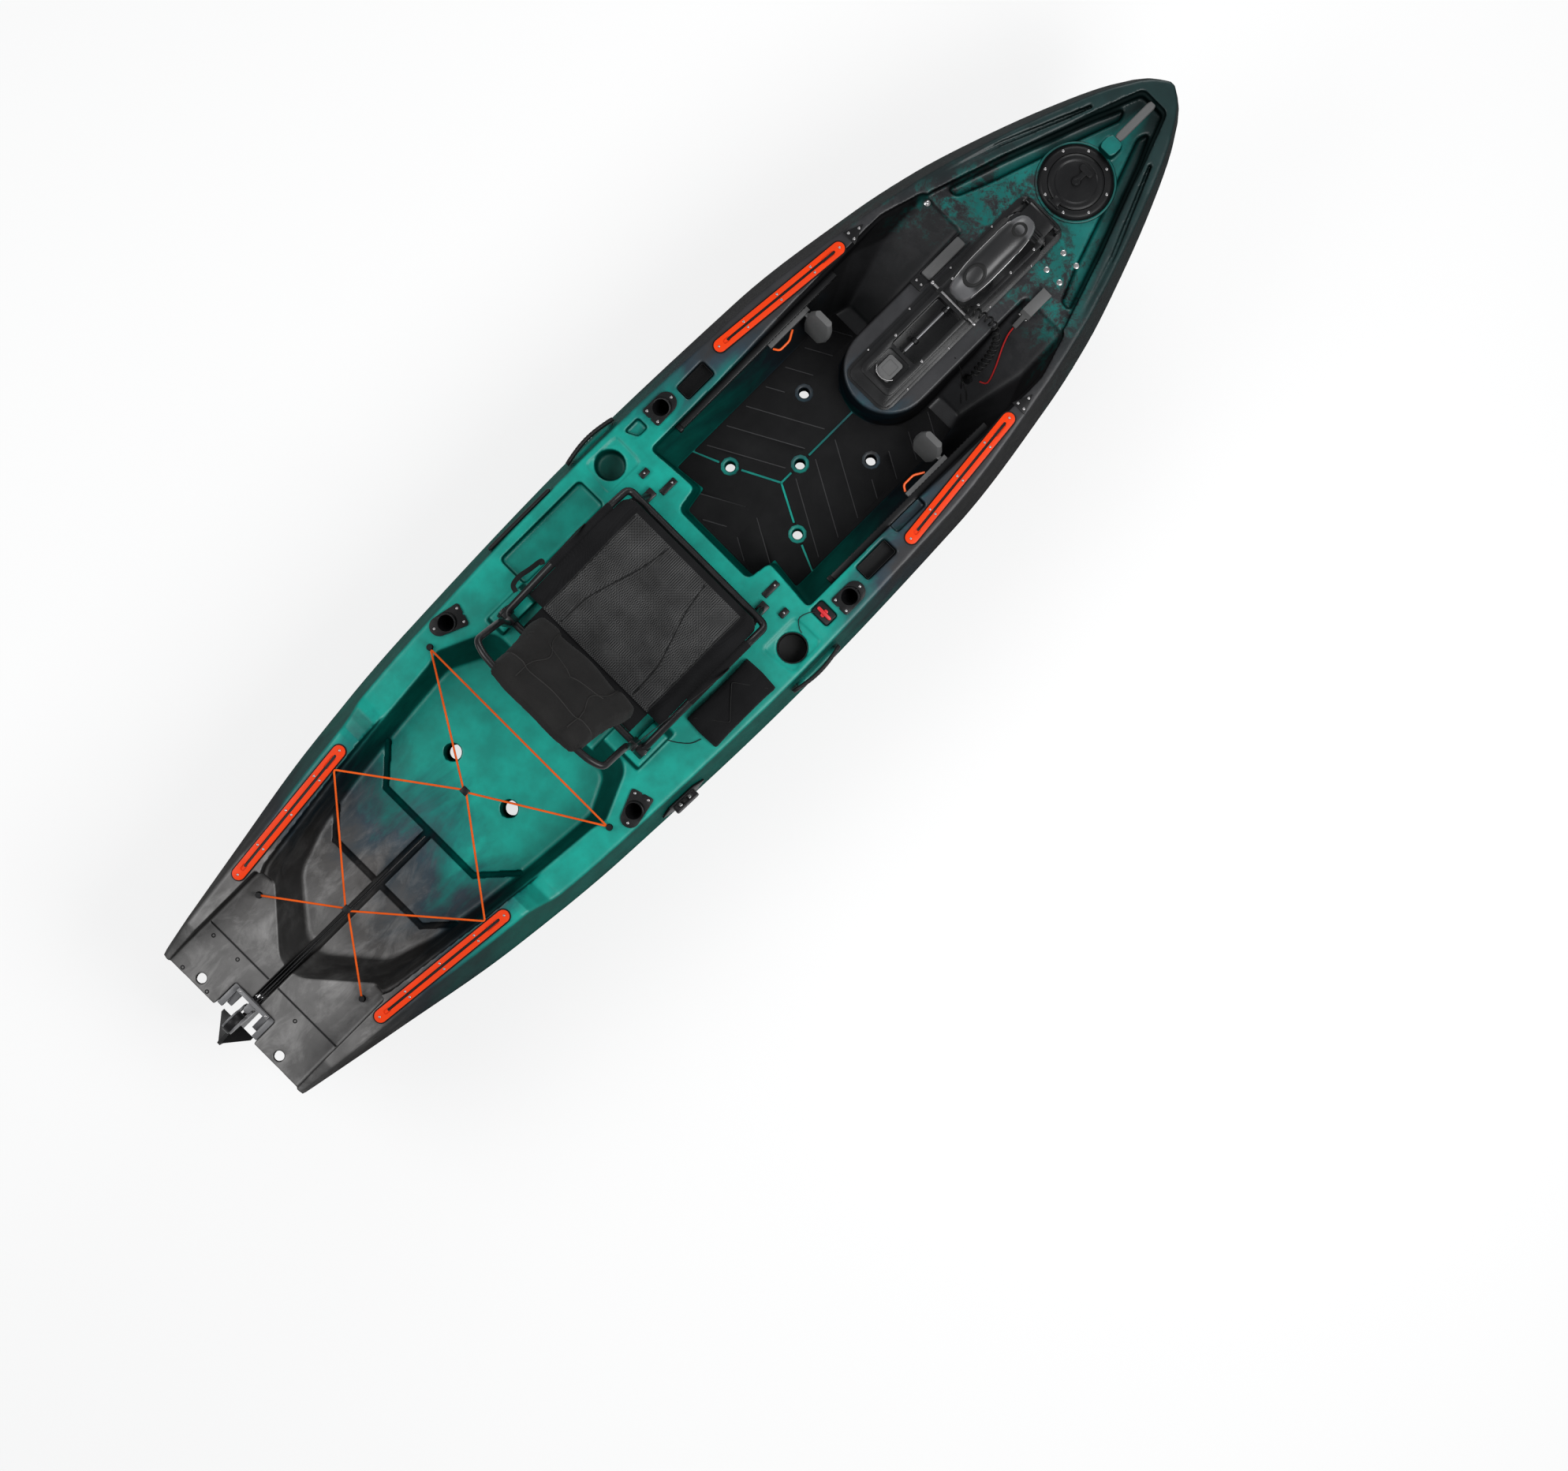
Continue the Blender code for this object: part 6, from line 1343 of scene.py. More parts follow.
def makeHandles():
    rings = []
    for n in range(25):
        t = n / 24
        u = 3.4473 + 0.1374 * t
        wide = 0.0125 * min(1.0, 0.75 + 4 * min(t, 1 - t))
        grip = 0.82 if 0.1 < t < 0.9 and n % 2 else 0.9
        rings.append([at(u, wide * c, consoleZ + 0.0405 + 0.011 * s * grip)
                      for c, s in fullOval(20, 0.6, 0.6)])
    dress(shaded(loft("bowHandle", rings), 50), "greyPlastic", "bow_handle")
    for side, word in bothSides:
        rings = []
        for n in range(49):
            t = n / 48
            u = 1.750 + 0.180 * t
            v = 0.4414 + 0.012 * math.sin(math.pi * t)
            grip = 0.92 if n % 3 == 0 and 0.12 < t < 0.88 else 1.0
            ends = min(1.0, 0.45 + 9 * min(t, 1 - t))
            rings.append([at(u, side * (v + 0.0018 + 0.0062 * grip * c), 0.3285 + 0.0168 * ends * grip * s)
                          for c, s in fullOval(16, 0.7, 0.6)])
        dress(shaded(loft("sideHandle_" + word, rings), 50), "blackRubber", "side_handle_" + word)


def band(name, profile, centre, axis, sides=48):
    # a closed profile of (along, radius) rows carried round the axis
    axis = Vector(axis).normalized()
    across = axis.orthogonal().normalized()
    other = axis.cross(across)
    count = len(profile)
    points = []
    for i in range(sides):
        a = 2 * math.pi * i / sides
        out = across * math.cos(a) + other * math.sin(a)
        points += [Vector(centre) + axis * along + out * radius for along, radius in profile]
    faces = []
    for i in range(sides):
        here, after = i * count, (i + 1) % sides * count
        for n in range(count):
            m = (n + 1) % count
            faces.append([here + n, here + m, after + m, after + n])
    return meshFrom(name, points, faces)


def refined(node, width, segments=2):
    # the CAD node's own shape, its edges softened where a width is given
    made = merged(node, node.replace("_", " ").title().replace(" ", ""))
    return softEdges(made, width, segments, 35) if width else shaded(made, 40)


def dressRefined(node, finish, width=0.0, segments=2):
    return dress(refined(node, width, segments), finish, node)


matSet = {"top": 0.1363, "pitch": 0.078, "slope": 0.55, "half": 0.0014, "deep": 0.0016}


def makeMat():
    top, slope = matSet["top"], matSet["slope"]
    mat = merged("floor_mat", "floorMat")
    softEdges(mat, 0.0008, 2)
    # chevron grooves, broken round the scupper holes
    stripes = []
    for n in range(11):
        apex = 1.960 + matSet["pitch"] * n
        for side in (1, -1):
            near, far = 0.022, 0.222
            if apex - far * slope < 1.912:
                far = (apex - 1.915) / slope
            if far < near + 0.02 or 2.08 < apex < 2.17:
                continue
            if apex > 2.42:
                near = 0.152
            spans = [(near, far)]
            if any(abs(u - apex + v * slope) < 0.036 for u, v in wells["scuppers"][2:]):
                spans = [(near, 0.135 - 0.040), (0.135 + 0.040, far)]
            for a, b in spans:
                if b - a > 0.02:
                    start, end = (apex - a * slope, side * a), (apex - b * slope, side * b)
                    stripes.append(prism("stripe", stripe(start, end, matSet["half"]), top - matSet["deep"],
                                         top + 0.01))
    cut(mat, joined("stripes", stripes))
    mat.data.materials.clear()
    for finish in ("blackFoam", "foamGroove"):
        mat.data.materials.append(finishes[finish])
    # the grooves' floors take the lighter grey, a painted highlight
    for face in mat.data.polygons:
        sunk = top - face.center.z
        face.material_index = 1 if face.normal.z > 0.9 and 0.0010 < sunk < 0.0024 else 0
    dress(shaded(mat, 30), None, "floor_mat")
    # the hull's ribs that show in the mat's routed lines
    lines = [((2.145, 0.0), (2.182, 0.0)), ((2.258, 0.0), (2.445, 0.0))]
    for side in (1, -1):
        fork, hole, edge = Vector((2.145, 0.0)), Vector((2.075, side * 0.135)), Vector((2.024, side * 0.252))
        lines += [(fork.lerp(hole, 0.03), fork.lerp(hole, 0.76)), (hole.lerp(edge, 0.28), edge)]
    rib = joined("matRibs", [prism("rib", stripe(start, end, 0.0028), 0.1295, 0.1352)
                             for start, end in lines])
    markPaintedLight(rib)
    # the ribs take no painted shade
    for row in rib.data.attributes["ledge"].data:
        row.value = 1.0
    trim(rib, "hullPlastic")


footSet = {"wall": 0.3077, "inner": 0.2874, "hinge": 0.2731, "z": 0.300}


def makeFootBraces():
    wall, inner, z = footSet["wall"], footSet["inner"], footSet["z"]
    radius = 0.0032
    for side, word in bothSides:
        dressRefined("foot_track_" + word, "blackMetal", 0.0015)
        dressRefined("foot_pedal_" + word, "greyPlastic", 0.0022, 3)
        start = 2.378 + (0.0 if side > 0 else -0.020)
        near, far = footSet["hinge"] - radius, footSet["hinge"] - 0.020
        spots = [(start + 0.004, near, z), (start + 0.014, far, z + 0.002), (start + 0.052, far, z + 0.002),
                 (start + 0.080, near, z)]
        route = filleted([at(u, side * v, height) for u, v, height in spots], 0.008)
        dress(solidTube("pedalLever_" + word, route, radius), "orangeWire", "pedal_lever_" + word)
        middle = hullLength / 2
        tooth = prism("tooth", roundedOutline(middle - 0.00275, middle + 0.00275, -0.0025, 0.0025, 0.0006, 2),
                      0.0, 0.0011)
        spots = [(at(2.060 + 0.0125 * n, side * (inner - 0.0001), z + 0.0125), (0, -side, 0), 0)
                 for n in range(46)]
        trim(repeated("trackTeeth_" + word, tooth, spots, "blackPlastic"), None)
        cap = block("trackCap_" + word, 2.036, 2.0502, *between(side, 0.285, wall), 0.280, 0.320)
        trim(softEdges(cap, 0.003), "blackPlastic")


driveSet = {"shaft": 2.9155, "top": 0.3885, "tray": 0.3733, "release": (2.812, 0.4005)}


def makeWellParts():
    dressRefined("motor_tray", "blackMetal", 0.0010)
    dressRefined("motor_carriage", "blackMetal", 0.0012)
    top = driveSet["top"]
    spots = [(at(u, side * 0.0765, driveSet["tray"]), upward) for side in (1, -1)
             for u in (2.56, 2.72, 2.88, 3.04)]
    screwSet("trayScrews", "kayak", spots, 0.0032)
    outline = roundedOutline(2.530, 2.596, -0.025, 0.025, 0.008)
    plate = softEdges(prism("dishPlate", outline, top - 0.0138, top - 0.0065), 0.0015)
    cut(plate, prism("window", roundedOutline(2.548, 2.585, -0.017, 0.017, 0.004), top - 0.0085, 0.5))
    trim(plate, "greyPlastic", "motor_carriage")
    # a steel arc round the dish's aft end: a painted highlight
    lip = [at(u, v, top - 0.0035) for u, v in arc(2.5635, 0, 0.0345, 118, 242, 14)]
    trim(solidTube("dishLip", lip, 0.0016), "steel", "motor_carriage")
    slider = [at(u, 0.004, top - 0.016) for u in (2.628, 2.800)]
    trim(rod("slider", slider[0], slider[1], 0.0058, 28), "darkSteel", "motor_carriage")
    for u, radius in ((2.668, 0.0112), (2.786, 0.0095)):
        rows = [(-0.007, radius * 0.8), (-0.005, radius), (0.005, radius), (0.007, radius * 0.8)]
        joint = turned("sliderJoint", rows, at(u, 0.004, top - 0.016), (1, 0, 0), 28)
        trim(joint, "blackPlastic", "motor_carriage")
    bars = [rod("bar", at(u, -0.041, top + 0.0035), at(u, 0.041, top + 0.0035), 0.0048, 20)
            for u in (3.088, 3.101, 3.114)]
    trim(shaded(joined("hingeBars", bars)), "blackMetal", "motor_carriage")
    spots = [(at(u, side * 0.0505, top), upward) for side in (1, -1) for u in (2.640, 2.860, 2.985, 3.075)]
    screwSet("carriageBolts", "motor_carriage", spots, 0.0042)
    u, z = driveSet["release"]
    bar = rod("releaseBar", at(u, -0.080, z), at(u, 0.080, z), 0.0040, 28)
    rows = [(-0.0065, 0.002), (-0.0055, 0.0045), (-0.003, 0.0063), (0, 0.0068), (0.003, 0.0063),
            (0.0055, 0.0045), (0.0065, 0.002)]
    knobs = [turned("knob", rows, at(u, side * 0.080, z), (0, 1, 0), 28) for side in (1, -1)]
    dress(shaded(joined("releaseHandle", [bar, *knobs])), "steel", "release_handle")


def makeColumn():
    base = driveSet["top"] + 0.0003
    radius = 0.038
    shares = [(0.009, 1.0), (0.012, 0.985), (0.018, 0.93), (0.024, 0.84), (0.029, 0.72), (0.033, 0.62),
              (0.036, 0.56), (0.037, 0.53)]
    rows = [(0, 0.0140), (0, radius - 0.001), (0.001, radius)]
    rows += [(up, radius * share) for up, share in shares] + [(0.037, 0.0140)]
    collar = band("depthCollar", rows, at(driveSet["shaft"], 0, base), upward, 64)
    knob = at(driveSet["shaft"] - radius + 0.006, 0, base + 0.012)
    rows = [(0, 0.0062), (0.0065, 0.0062), (0.0075, 0.0070), (0.0130, 0.0070), (0.014, 0.0062)]
    screw = turned("screw", rows, knob, (-1, 0, 0), 24)
    dress(shaded(joined("depthCollar", [collar, screw])), "blackPlastic", "depth_collar")
    dressRefined("motor_shaft", "blackMetal")


headSet = {"base": 0.548, "width": 0.085, "stations": 44, "round": 44,
           "rows": [(-0.1125, 0.026, 0.044, 0.30), (-0.1035, 0.008, 0.058, 0.66), (-0.0655, 0.0, 0.080, 0.90),
                    (-0.0105, 0.0, 0.097, 1.0), (0.0395, 0.004, 0.104, 1.0), (0.0945, 0.029, 0.106, 0.94),
                    (0.1395, 0.044, 0.102, 0.80), (0.1645, 0.054, 0.092, 0.58), (0.1735, 0.064, 0.082, 0.30)]}


def headLine(column, ahead):
    # the head's rows are the distance ahead of the shaft, the low and high edge and the share of its width
    return faired([(row[0], row[column]) for row in headSet["rows"]], ahead)


def makeHeadPaint():
    # darker in the middle than at the two ends
    tree, shader, place = startFinish("headPaint", 0.34)
    parts = wire(tree, "ShaderNodeSeparateXYZ", {0: place})
    offset = math2(tree, "SUBTRACT", parts.outputs[0], driveSet["shaft"] + 0.030 - hullLength / 2)
    grain = use(tree, grainGroup, Vector=place, Scale=1500.0)
    ends = ranged(tree, absolute(tree, offset), 0.092, 0.106)
    base = mixColour(tree, ends, (0.009, 0.009, 0.0095), (0.085, 0.085, 0.088))
    shade = ranged(tree, grain.outputs["Mottle"], 0.3, 0.7, 0.85, 1.1)
    tree.links.new(mixColour(tree, 1.0, base, shade, "MULTIPLY"), shader.inputs["Base Color"])
    bumped(tree, shader, grain.outputs["Height"], 0.00005)


makeHeadPaint()


def headRing(ahead, share=1.0, grow=0.0):
    low, high, wide = [headLine(column, ahead) for column in (1, 2, 3)]
    middle = headSet["base"] + (low + high) / 2
    halfZ = (high - low) / 2 * share + grow
    halfV = headSet["width"] / 2 * wide * share + grow
    return [at(driveSet["shaft"] + ahead, halfV * c, middle + halfZ * s)
            for c, s in fullOval(headSet["round"], 0.8, 0.8)]


def makeHead():
    shaft, base = driveSet["shaft"], headSet["base"]
    start, end = headSet["rows"][0][0], headSet["rows"][-1][0]
    count = headSet["stations"]
    rings = [headRing(start + (end - start) * (0.5 - 0.5 * math.cos(math.pi * n / count)),
                      1.0 if 0 < n < count else 0.45) for n in range(count + 1)]
    shell = painted(loft("headShell", rings), "headPaint")
    root = at(shaft, 0, base - 0.025)
    rows = [(0, 0.020), (0, 0.030), (0.004, 0.036), (0.030, 0.036), (0.030, 0.020)]
    stem = painted(band("stem", rows, root, upward, 48), "blackPlastic")
    cap = painted(turned("stemCap", [(0.002, 0.022), (0.010, 0.022)], root, upward, 32), "blackPlastic")
    rows = []
    for n in range(10):
        along, radius = 0.0076 * n, 0.0090 - 0.0003 * n
        rows += [(along, radius), (along + 0.005, radius), (along + 0.0056, radius * 0.76),
                 (along + 0.0070, radius * 0.76)]
    rows = rows[:-2] + [(0.0755, 0.0052), (0.0760, 0.0030)]
    relief = turned("relief", rows, at(shaft - 0.0835, 0, base + 0.020), (-0.10, 0, -1), 28)
    painted(relief, "blackRubber")
    dress(shaded(joined("controlHead", [shell, stem, cap, relief])), None, "control_head")
    for name, ahead, long, wide in (("aftOval", -0.040, 0.036, 0.028), ("foreOval", 0.128, 0.023, 0.020)):
        rings = []
        for share, rise in ((1.0, -0.0015), (1.0, 0.0005), (0.93, 0.0013), (0.80, 0.0010), (0.72, 0.0002)):
            ring = []
            for i in range(40):
                a = 2 * math.pi * i / 40
                b, v = ahead + long * share * math.cos(a), wide * share * math.sin(a)
                half = headSet["width"] / 2 * headLine(3, b)
                drop = 1 - max(0.0, 1 - (abs(v) / half) ** 2.5) ** 0.4
                low, high = base + headLine(1, b), base + headLine(2, b)
                ring.append(at(shaft + b, v, high - (high - low) / 2 * drop + rise))
            rings.append(ring)
        trim(shaded(loft(name, rings)), "blackRubber", "motor")
    # a steel line along each upper shoulder of the head: a painted highlight
    for side in (1, -1):
        rings = [headRing(-0.085 + 0.215 * n / 24, 1.0, 0.0004) for n in range(25)]
        route = [max(ring, key=lambda p: side * p.y + 0.30 * p.z) for ring in rings]
        trim(solidTube("headTrim", route, 0.0014), "steel", "motor")


def makeLowerUnit():
    dressRefined("lower_unit", "whitePaint")
    blade = merged("propeller", "propellerShape")
    step = blade.modifiers.new("fine", "SUBSURF")
    step.levels = step.render_levels = 1
    step.subdivision_type = "SIMPLE"
    evaluated(blade)
    dress(shaded(blade, 50), "blackPlastic", "propeller")


def landed(u, v, lift):
    # the spot on the hull straight below, lifted off it
    bpy.context.view_layer.update()
    spot = bpy.data.objects["hullShell"].ray_cast(at(u, v, clearZ), (0, 0, -1))[1]
    return spot + Vector((0, 0, lift))


def makeConsoleTrim():
    z = consoleZ
    dressRefined("transducer_pad", "greyPlastic", 0.0015)
    dressRefined("power_connector", "greyPlastic", 0.0014)
    dressRefined("cable_gland", "blackPlastic", 0.0012)
    outline = roundedOutline(2.772, 2.806, 0.0895, 0.1285, 0.005)
    trim(softEdges(prism("padBase", outline, z + 0.0002, z + 0.016), 0.003), "blackPlastic")
    for v in (0.0885, 0.1265):
        rail = block("padRail", 2.800, 2.968, v, v + 0.003, z + 0.0002, z + 0.007)
        trim(softEdges(rail, 0.001), "blackPlastic")
    screwSet("padBolts", "kayak", [(at(2.788, v, z + 0.016), upward) for v in (0.100, 0.118)], 0.0036)
    spots = [(at(u, v, z + 0.0006), upward) for u in (3.064, 3.129) for v in (-0.114, -0.164)]
    screwSet("consoleScrews", "kayak", spots, 0.0085)
    rows = [(0, 0.009), (0.005, 0.009), (0.007, 0.0055), (0.012, 0.0055), (0.0135, 0.003)]
    trim(shaded(turned("consoleStud", rows, at(2.960, 0.248, z + 0.0004), upward, 24)), "steel")
    spots = [(at(2.926, v, rampZ(2.926) + 0.019), (-0.55, 0, 0.83)) for v in (-0.172, -0.148)]
    screwSet("plugScrews", "kayak", spots, 0.0030)
    first = ((2.714, -0.108), (2.706, -0.146), (2.690, -0.170), (2.674, -0.186), (2.660, -0.200))
    second = ((2.712, -0.150), (2.700, -0.170), (2.690, -0.190), (2.676, -0.206))
    for n, spots in enumerate((first, second)):
        rest = [landed(u, v, 0.0022) for u, v in spots]
        if n == 0:
            # over the console's edge without a sag
            rest[1].z = max(rest[1].z, 0.6 * rest[0].z + 0.4 * rest[2].z)
        thinCord(f"looseWire{n}", through(rest, 8), 0.0032, far_end="bare", stiffness="medium", lay="loose")


seatSet = {"side": [(1.341, 0.414), (1.490, 0.455), (1.625, 0.490), (1.700, 0.500), (1.765, 0.487),
                    (1.822, 0.450)],
           "back": [(1.329, 0.444), (1.326, 0.560), (1.328, 0.690), (1.290, 0.755), (1.252, 0.800)],
           "half": 0.265, "tube": 0.011, "pivot": (1.341, 0.414),
           "pad": [(1.392, 0.492, 0.178, 0.016), (1.398, 0.505, 0.186, 0.024), (1.392, 0.560, 0.190, 0.034),
                   (1.374, 0.620, 0.188, 0.030), (1.352, 0.672, 0.180, 0.026), (1.318, 0.722, 0.172, 0.028),
                   (1.275, 0.780, 0.168, 0.034), (1.244, 0.812, 0.164, 0.036), (1.226, 0.826, 0.150, 0.020)],
           "panHeight": [(1.425, 0.424), (1.50, 0.428), (1.60, 0.444), (1.70, 0.468), (1.78, 0.470),
                         (1.808, 0.462)],
           "panLift": [(0, 0.014), (0.060, 0.013), (0.105, 0.0098), (0.115, 0.0098), (0.150, 0.0125),
                       (0.186, 0.0115), (0.196, 0.0100), (0.212, 0.0200), (0.225, 0.0285), (0.240, 0.0270)],
           "panSeam": [(1.425, 0.140), (1.52, 0.136), (1.60, 0.115), (1.70, 0.084), (1.782, 0.070)],
           "hem": 0.198}
panEdge = seatSet["half"] - seatSet["tube"] - 0.0006


def backTube(name, radius, resolution):
    # the back's bow from one pivot over the top to the other
    half = seatSet["half"]
    back = [(u, half - 0.030, z) for u, z in seatSet["back"]]
    back += [(1.240, half - 0.065, 0.812), (1.236, half - 0.110, 0.815)]
    whole = back + [(u, -v, z) for u, v, z in reversed(back)]
    return solidTube(name, filleted([at(*p) for p in whole], 0.035), radius, resolution=resolution)


def makeSeatFrame():
    half, radius = seatSet["half"], seatSet["tube"]
    spots = [at(u, half, z) for u, z in seatSet["side"]]
    spots += [at(u, -half, z) for u, z in reversed(seatSet["side"])]
    route = []
    for before, here, after in zip([spots[-1]] + spots, spots, spots[1:] + [spots[0]]):
        back, ahead = before - here, after - here
        atEnd = min(back.length, ahead.length) > 0.2 or abs(back.y) > 0.1 or abs(ahead.y) > 0.1
        reach = min(0.022 if atEnd else 0.03, back.length * 0.4, ahead.length * 0.4)
        route += cornerBend(here + back.normalized() * reach, here, here + ahead.normalized() * reach, 6)
    pieces = [solidTube("loop", route, radius, True, 6)]
    for side in (1, -1):
        foot = [(1.318, 0.3953), (1.364, 0.3953), (1.358, 0.408), (1.352, 0.424), (1.330, 0.424),
                (1.324, 0.408)]
        pieces.append(softEdges(sidePrism("foot", foot, *between(side, half - 0.014, half + 0.014)), 0.0025))
        legFoot = side * (half - 0.045)
        pieces.append(rod("leg", at(1.800, side * (half - 0.030), 0.462), at(1.848, legFoot, 0.370), 0.009))
        shoe = block("shoe", 1.832, 1.868, legFoot - 0.014, legFoot + 0.014, 0.3583, 0.374)
        pieces.append(softEdges(shoe, 0.003))
    pieces.append(rod("cross", at(1.800, -half + 0.028, 0.463), at(1.800, half - 0.028, 0.463), 0.009))
    dress(shaded(joined("seatFrame", pieces)), "blackMetal", "seat_frame")
    pieces = [backTube("backTube", radius - 0.001, 6)]
    u, z = seatSet["pivot"]
    for side in (1, -1):
        lug = [(u - 0.020, z + 0.036)] + arc(u, z, 0.0165, 170, 370, 16) + [(u + 0.004, z + 0.040)]
        cheek = sidePrism("lug", lug, *between(side, half - 0.040, half - 0.0150))
        cut(cheek, rod("bore", at(u, -half, z), at(u, half, z), 0.0116, 32))
        pieces.append(softEdges(cheek, 0.0012))
    dress(shaded(joined("seatBackFrame", pieces)), "blackMetal", "seat_back_frame")
    spots = [(at(u, side * (half + 0.0142), 0.4105), (0, side, 0)) for side in (1, -1)]
    screwSet("seatBolts", "kayak", spots, 0.0052)


def panTop(u, v):
    base = faired(seatSet["panHeight"], u)
    low = min((u - 1.425) / 0.012, 1.0)
    if abs(v) > 0.240:
        t = (abs(v) - 0.240) / (panEdge - 0.240)
        inner = base + faired(seatSet["panLift"], 0.240)
        outer = straight(seatSet["side"], u) + 0.002
        return inner + (outer - inner) * t - 0.004 * (1 - low)
    return base + faired(seatSet["panLift"], abs(v)) * (0.6 + 0.4 * low)


def panSeam(u):
    return faired(seatSet["panSeam"], u)


def makeSeatPan():
    hem, thick = seatSet["hem"], 0.005
    us = [1.425 + 0.357 * n / 42 for n in range(43)] + [1.790, 1.798, 1.805, 1.811]
    vs = [panEdge * (n / 34 - 1) for n in range(69)]
    rings = []
    for u in us:
        top, low = [], []
        for v in vs:
            near = abs(abs(v) - panSeam(u))
            sink = 0.0026 * math.exp(-(near / 0.005) ** 2) + 0.002 * math.exp(-((abs(v) - hem) / 0.004) ** 2)
            z = panTop(u, v) - sink
            if abs(v) < 0.19:
                z += 0.0006 * math.sin(u * 190 + 3 * math.sin(v * 31)) * math.sin(v * 17)
            z -= 0.35 * max(0.0, u - 1.800)
            v *= 1 - 0.09 * (max(0.0, u - 1.782) / 0.029) ** 2
            top.append(at(u, v, z))
            low.append(at(u, v, z - thick))
        rings.append(top + low[::-1])
    pan = painted(loft("seatPan", rings), "greyMesh")
    pan.data.materials.append(finishes["blackFabric"])
    for face in pan.data.polygons:
        if abs(face.center.y) > hem or face.center.x + hullLength / 2 > 1.788:
            face.material_index = 1
    across = lengthOf(rings[20][:len(vs)])
    along = lengthOf([ring[34] for ring in rings])
    dress(shaded(pan, 60), None, "seat_pan")
    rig.sheet(pan, flat=(along, across), held="stretched", rests_on=[nodes["seat_frame"]])
    sleeveRadius = seatSet["tube"] + 0.0007
    sleeve = [(u, straight(seatSet["side"], u)) for u in (1.530, 1.560, 1.590, 1.610)]
    sleeve += [(1.625, 0.4895), (1.640, 0.4915), (1.665, 0.4950), (1.688, 0.4978), (1.700, 0.4990),
               (1.713, 0.4980), (1.735, 0.4932), (1.752, 0.4894)]
    for side, word in bothSides:
        route = [at(u, side * panSeam(u), panTop(u, panSeam(u)) - 0.0012) for u in us[1:-4]]
        trim(solidTube("panSeam_" + word, route, 0.0016, resolution=2), "webbing")
        route = [at(u, side * 0.1985, panTop(u, 0.1985) - 0.0008) for u in us[1:-4]]
        trim(solidTube("panHem_" + word, route, 0.0018, resolution=2), "webbing")
        # the wing's sleeve round the side tube
        line = [at(u, side * seatSet["half"], z) for u, z in sleeve]
        made = trim(solidTube("panSleeve_" + word, line, sleeveRadius, resolution=6), "blackFabric")
        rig.sheet(made, flat=(lengthOf(line), 2 * math.pi * sleeveRadius), held="stretched",
                 rests_on=[nodes["seat_frame"]])


def makePanFlap():
    # cloth behind the pan, run in under its aft edge
    half = 0.205
    rings = []
    for n in range(9):
        t = n / 8
        u, z = 1.352 + 0.0880 * t, 0.4035 + 0.0125 * t + 0.002 * math.sin(math.pi * t)
        rings.append([at(u, v, z + up) for v, up in ((-half, 0), (half, 0), (half, 0.002), (-half, 0.002))])
    flap = trim(shaded(loft("panFlap", rings), 40), "blackFabric")
    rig.sheet(flap, flat=(0.0893, 2 * half), held="stretched", rests_on=[nodes["seat_frame"]])


def puffed(target, size, pressure, cap, frames=18):
    # the cloth pushed out from inside, then kept within a cap from where it was
    step = target.modifiers.new("even", "REMESH")
    step.mode = "VOXEL"
    step.voxel_size = size * (1.5 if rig.quick() else 1)
    evaluated(target)
    before = [v.co.copy() for v in target.data.vertices]
    step = target.modifiers.new("cloth", "CLOTH")
    step.settings.use_pressure = True
    step.settings.uniform_pressure_force = pressure
    step.settings.quality = 5
    step.settings.tension_stiffness = step.settings.compression_stiffness = 12
    step.settings.bending_stiffness = 0.3
    step.settings.effector_weights.gravity = 0
    for frameNumber in range(1, (8 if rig.quick() else frames) + 1):
        bpy.context.scene.frame_set(frameNumber)
    evaluated(target)
    bpy.context.scene.frame_set(1)
    for vertex, old in zip(target.data.vertices, before):
        shift = vertex.co - old
        if shift.length > cap:
            vertex.co = old + shift * (cap / shift.length)
    return target


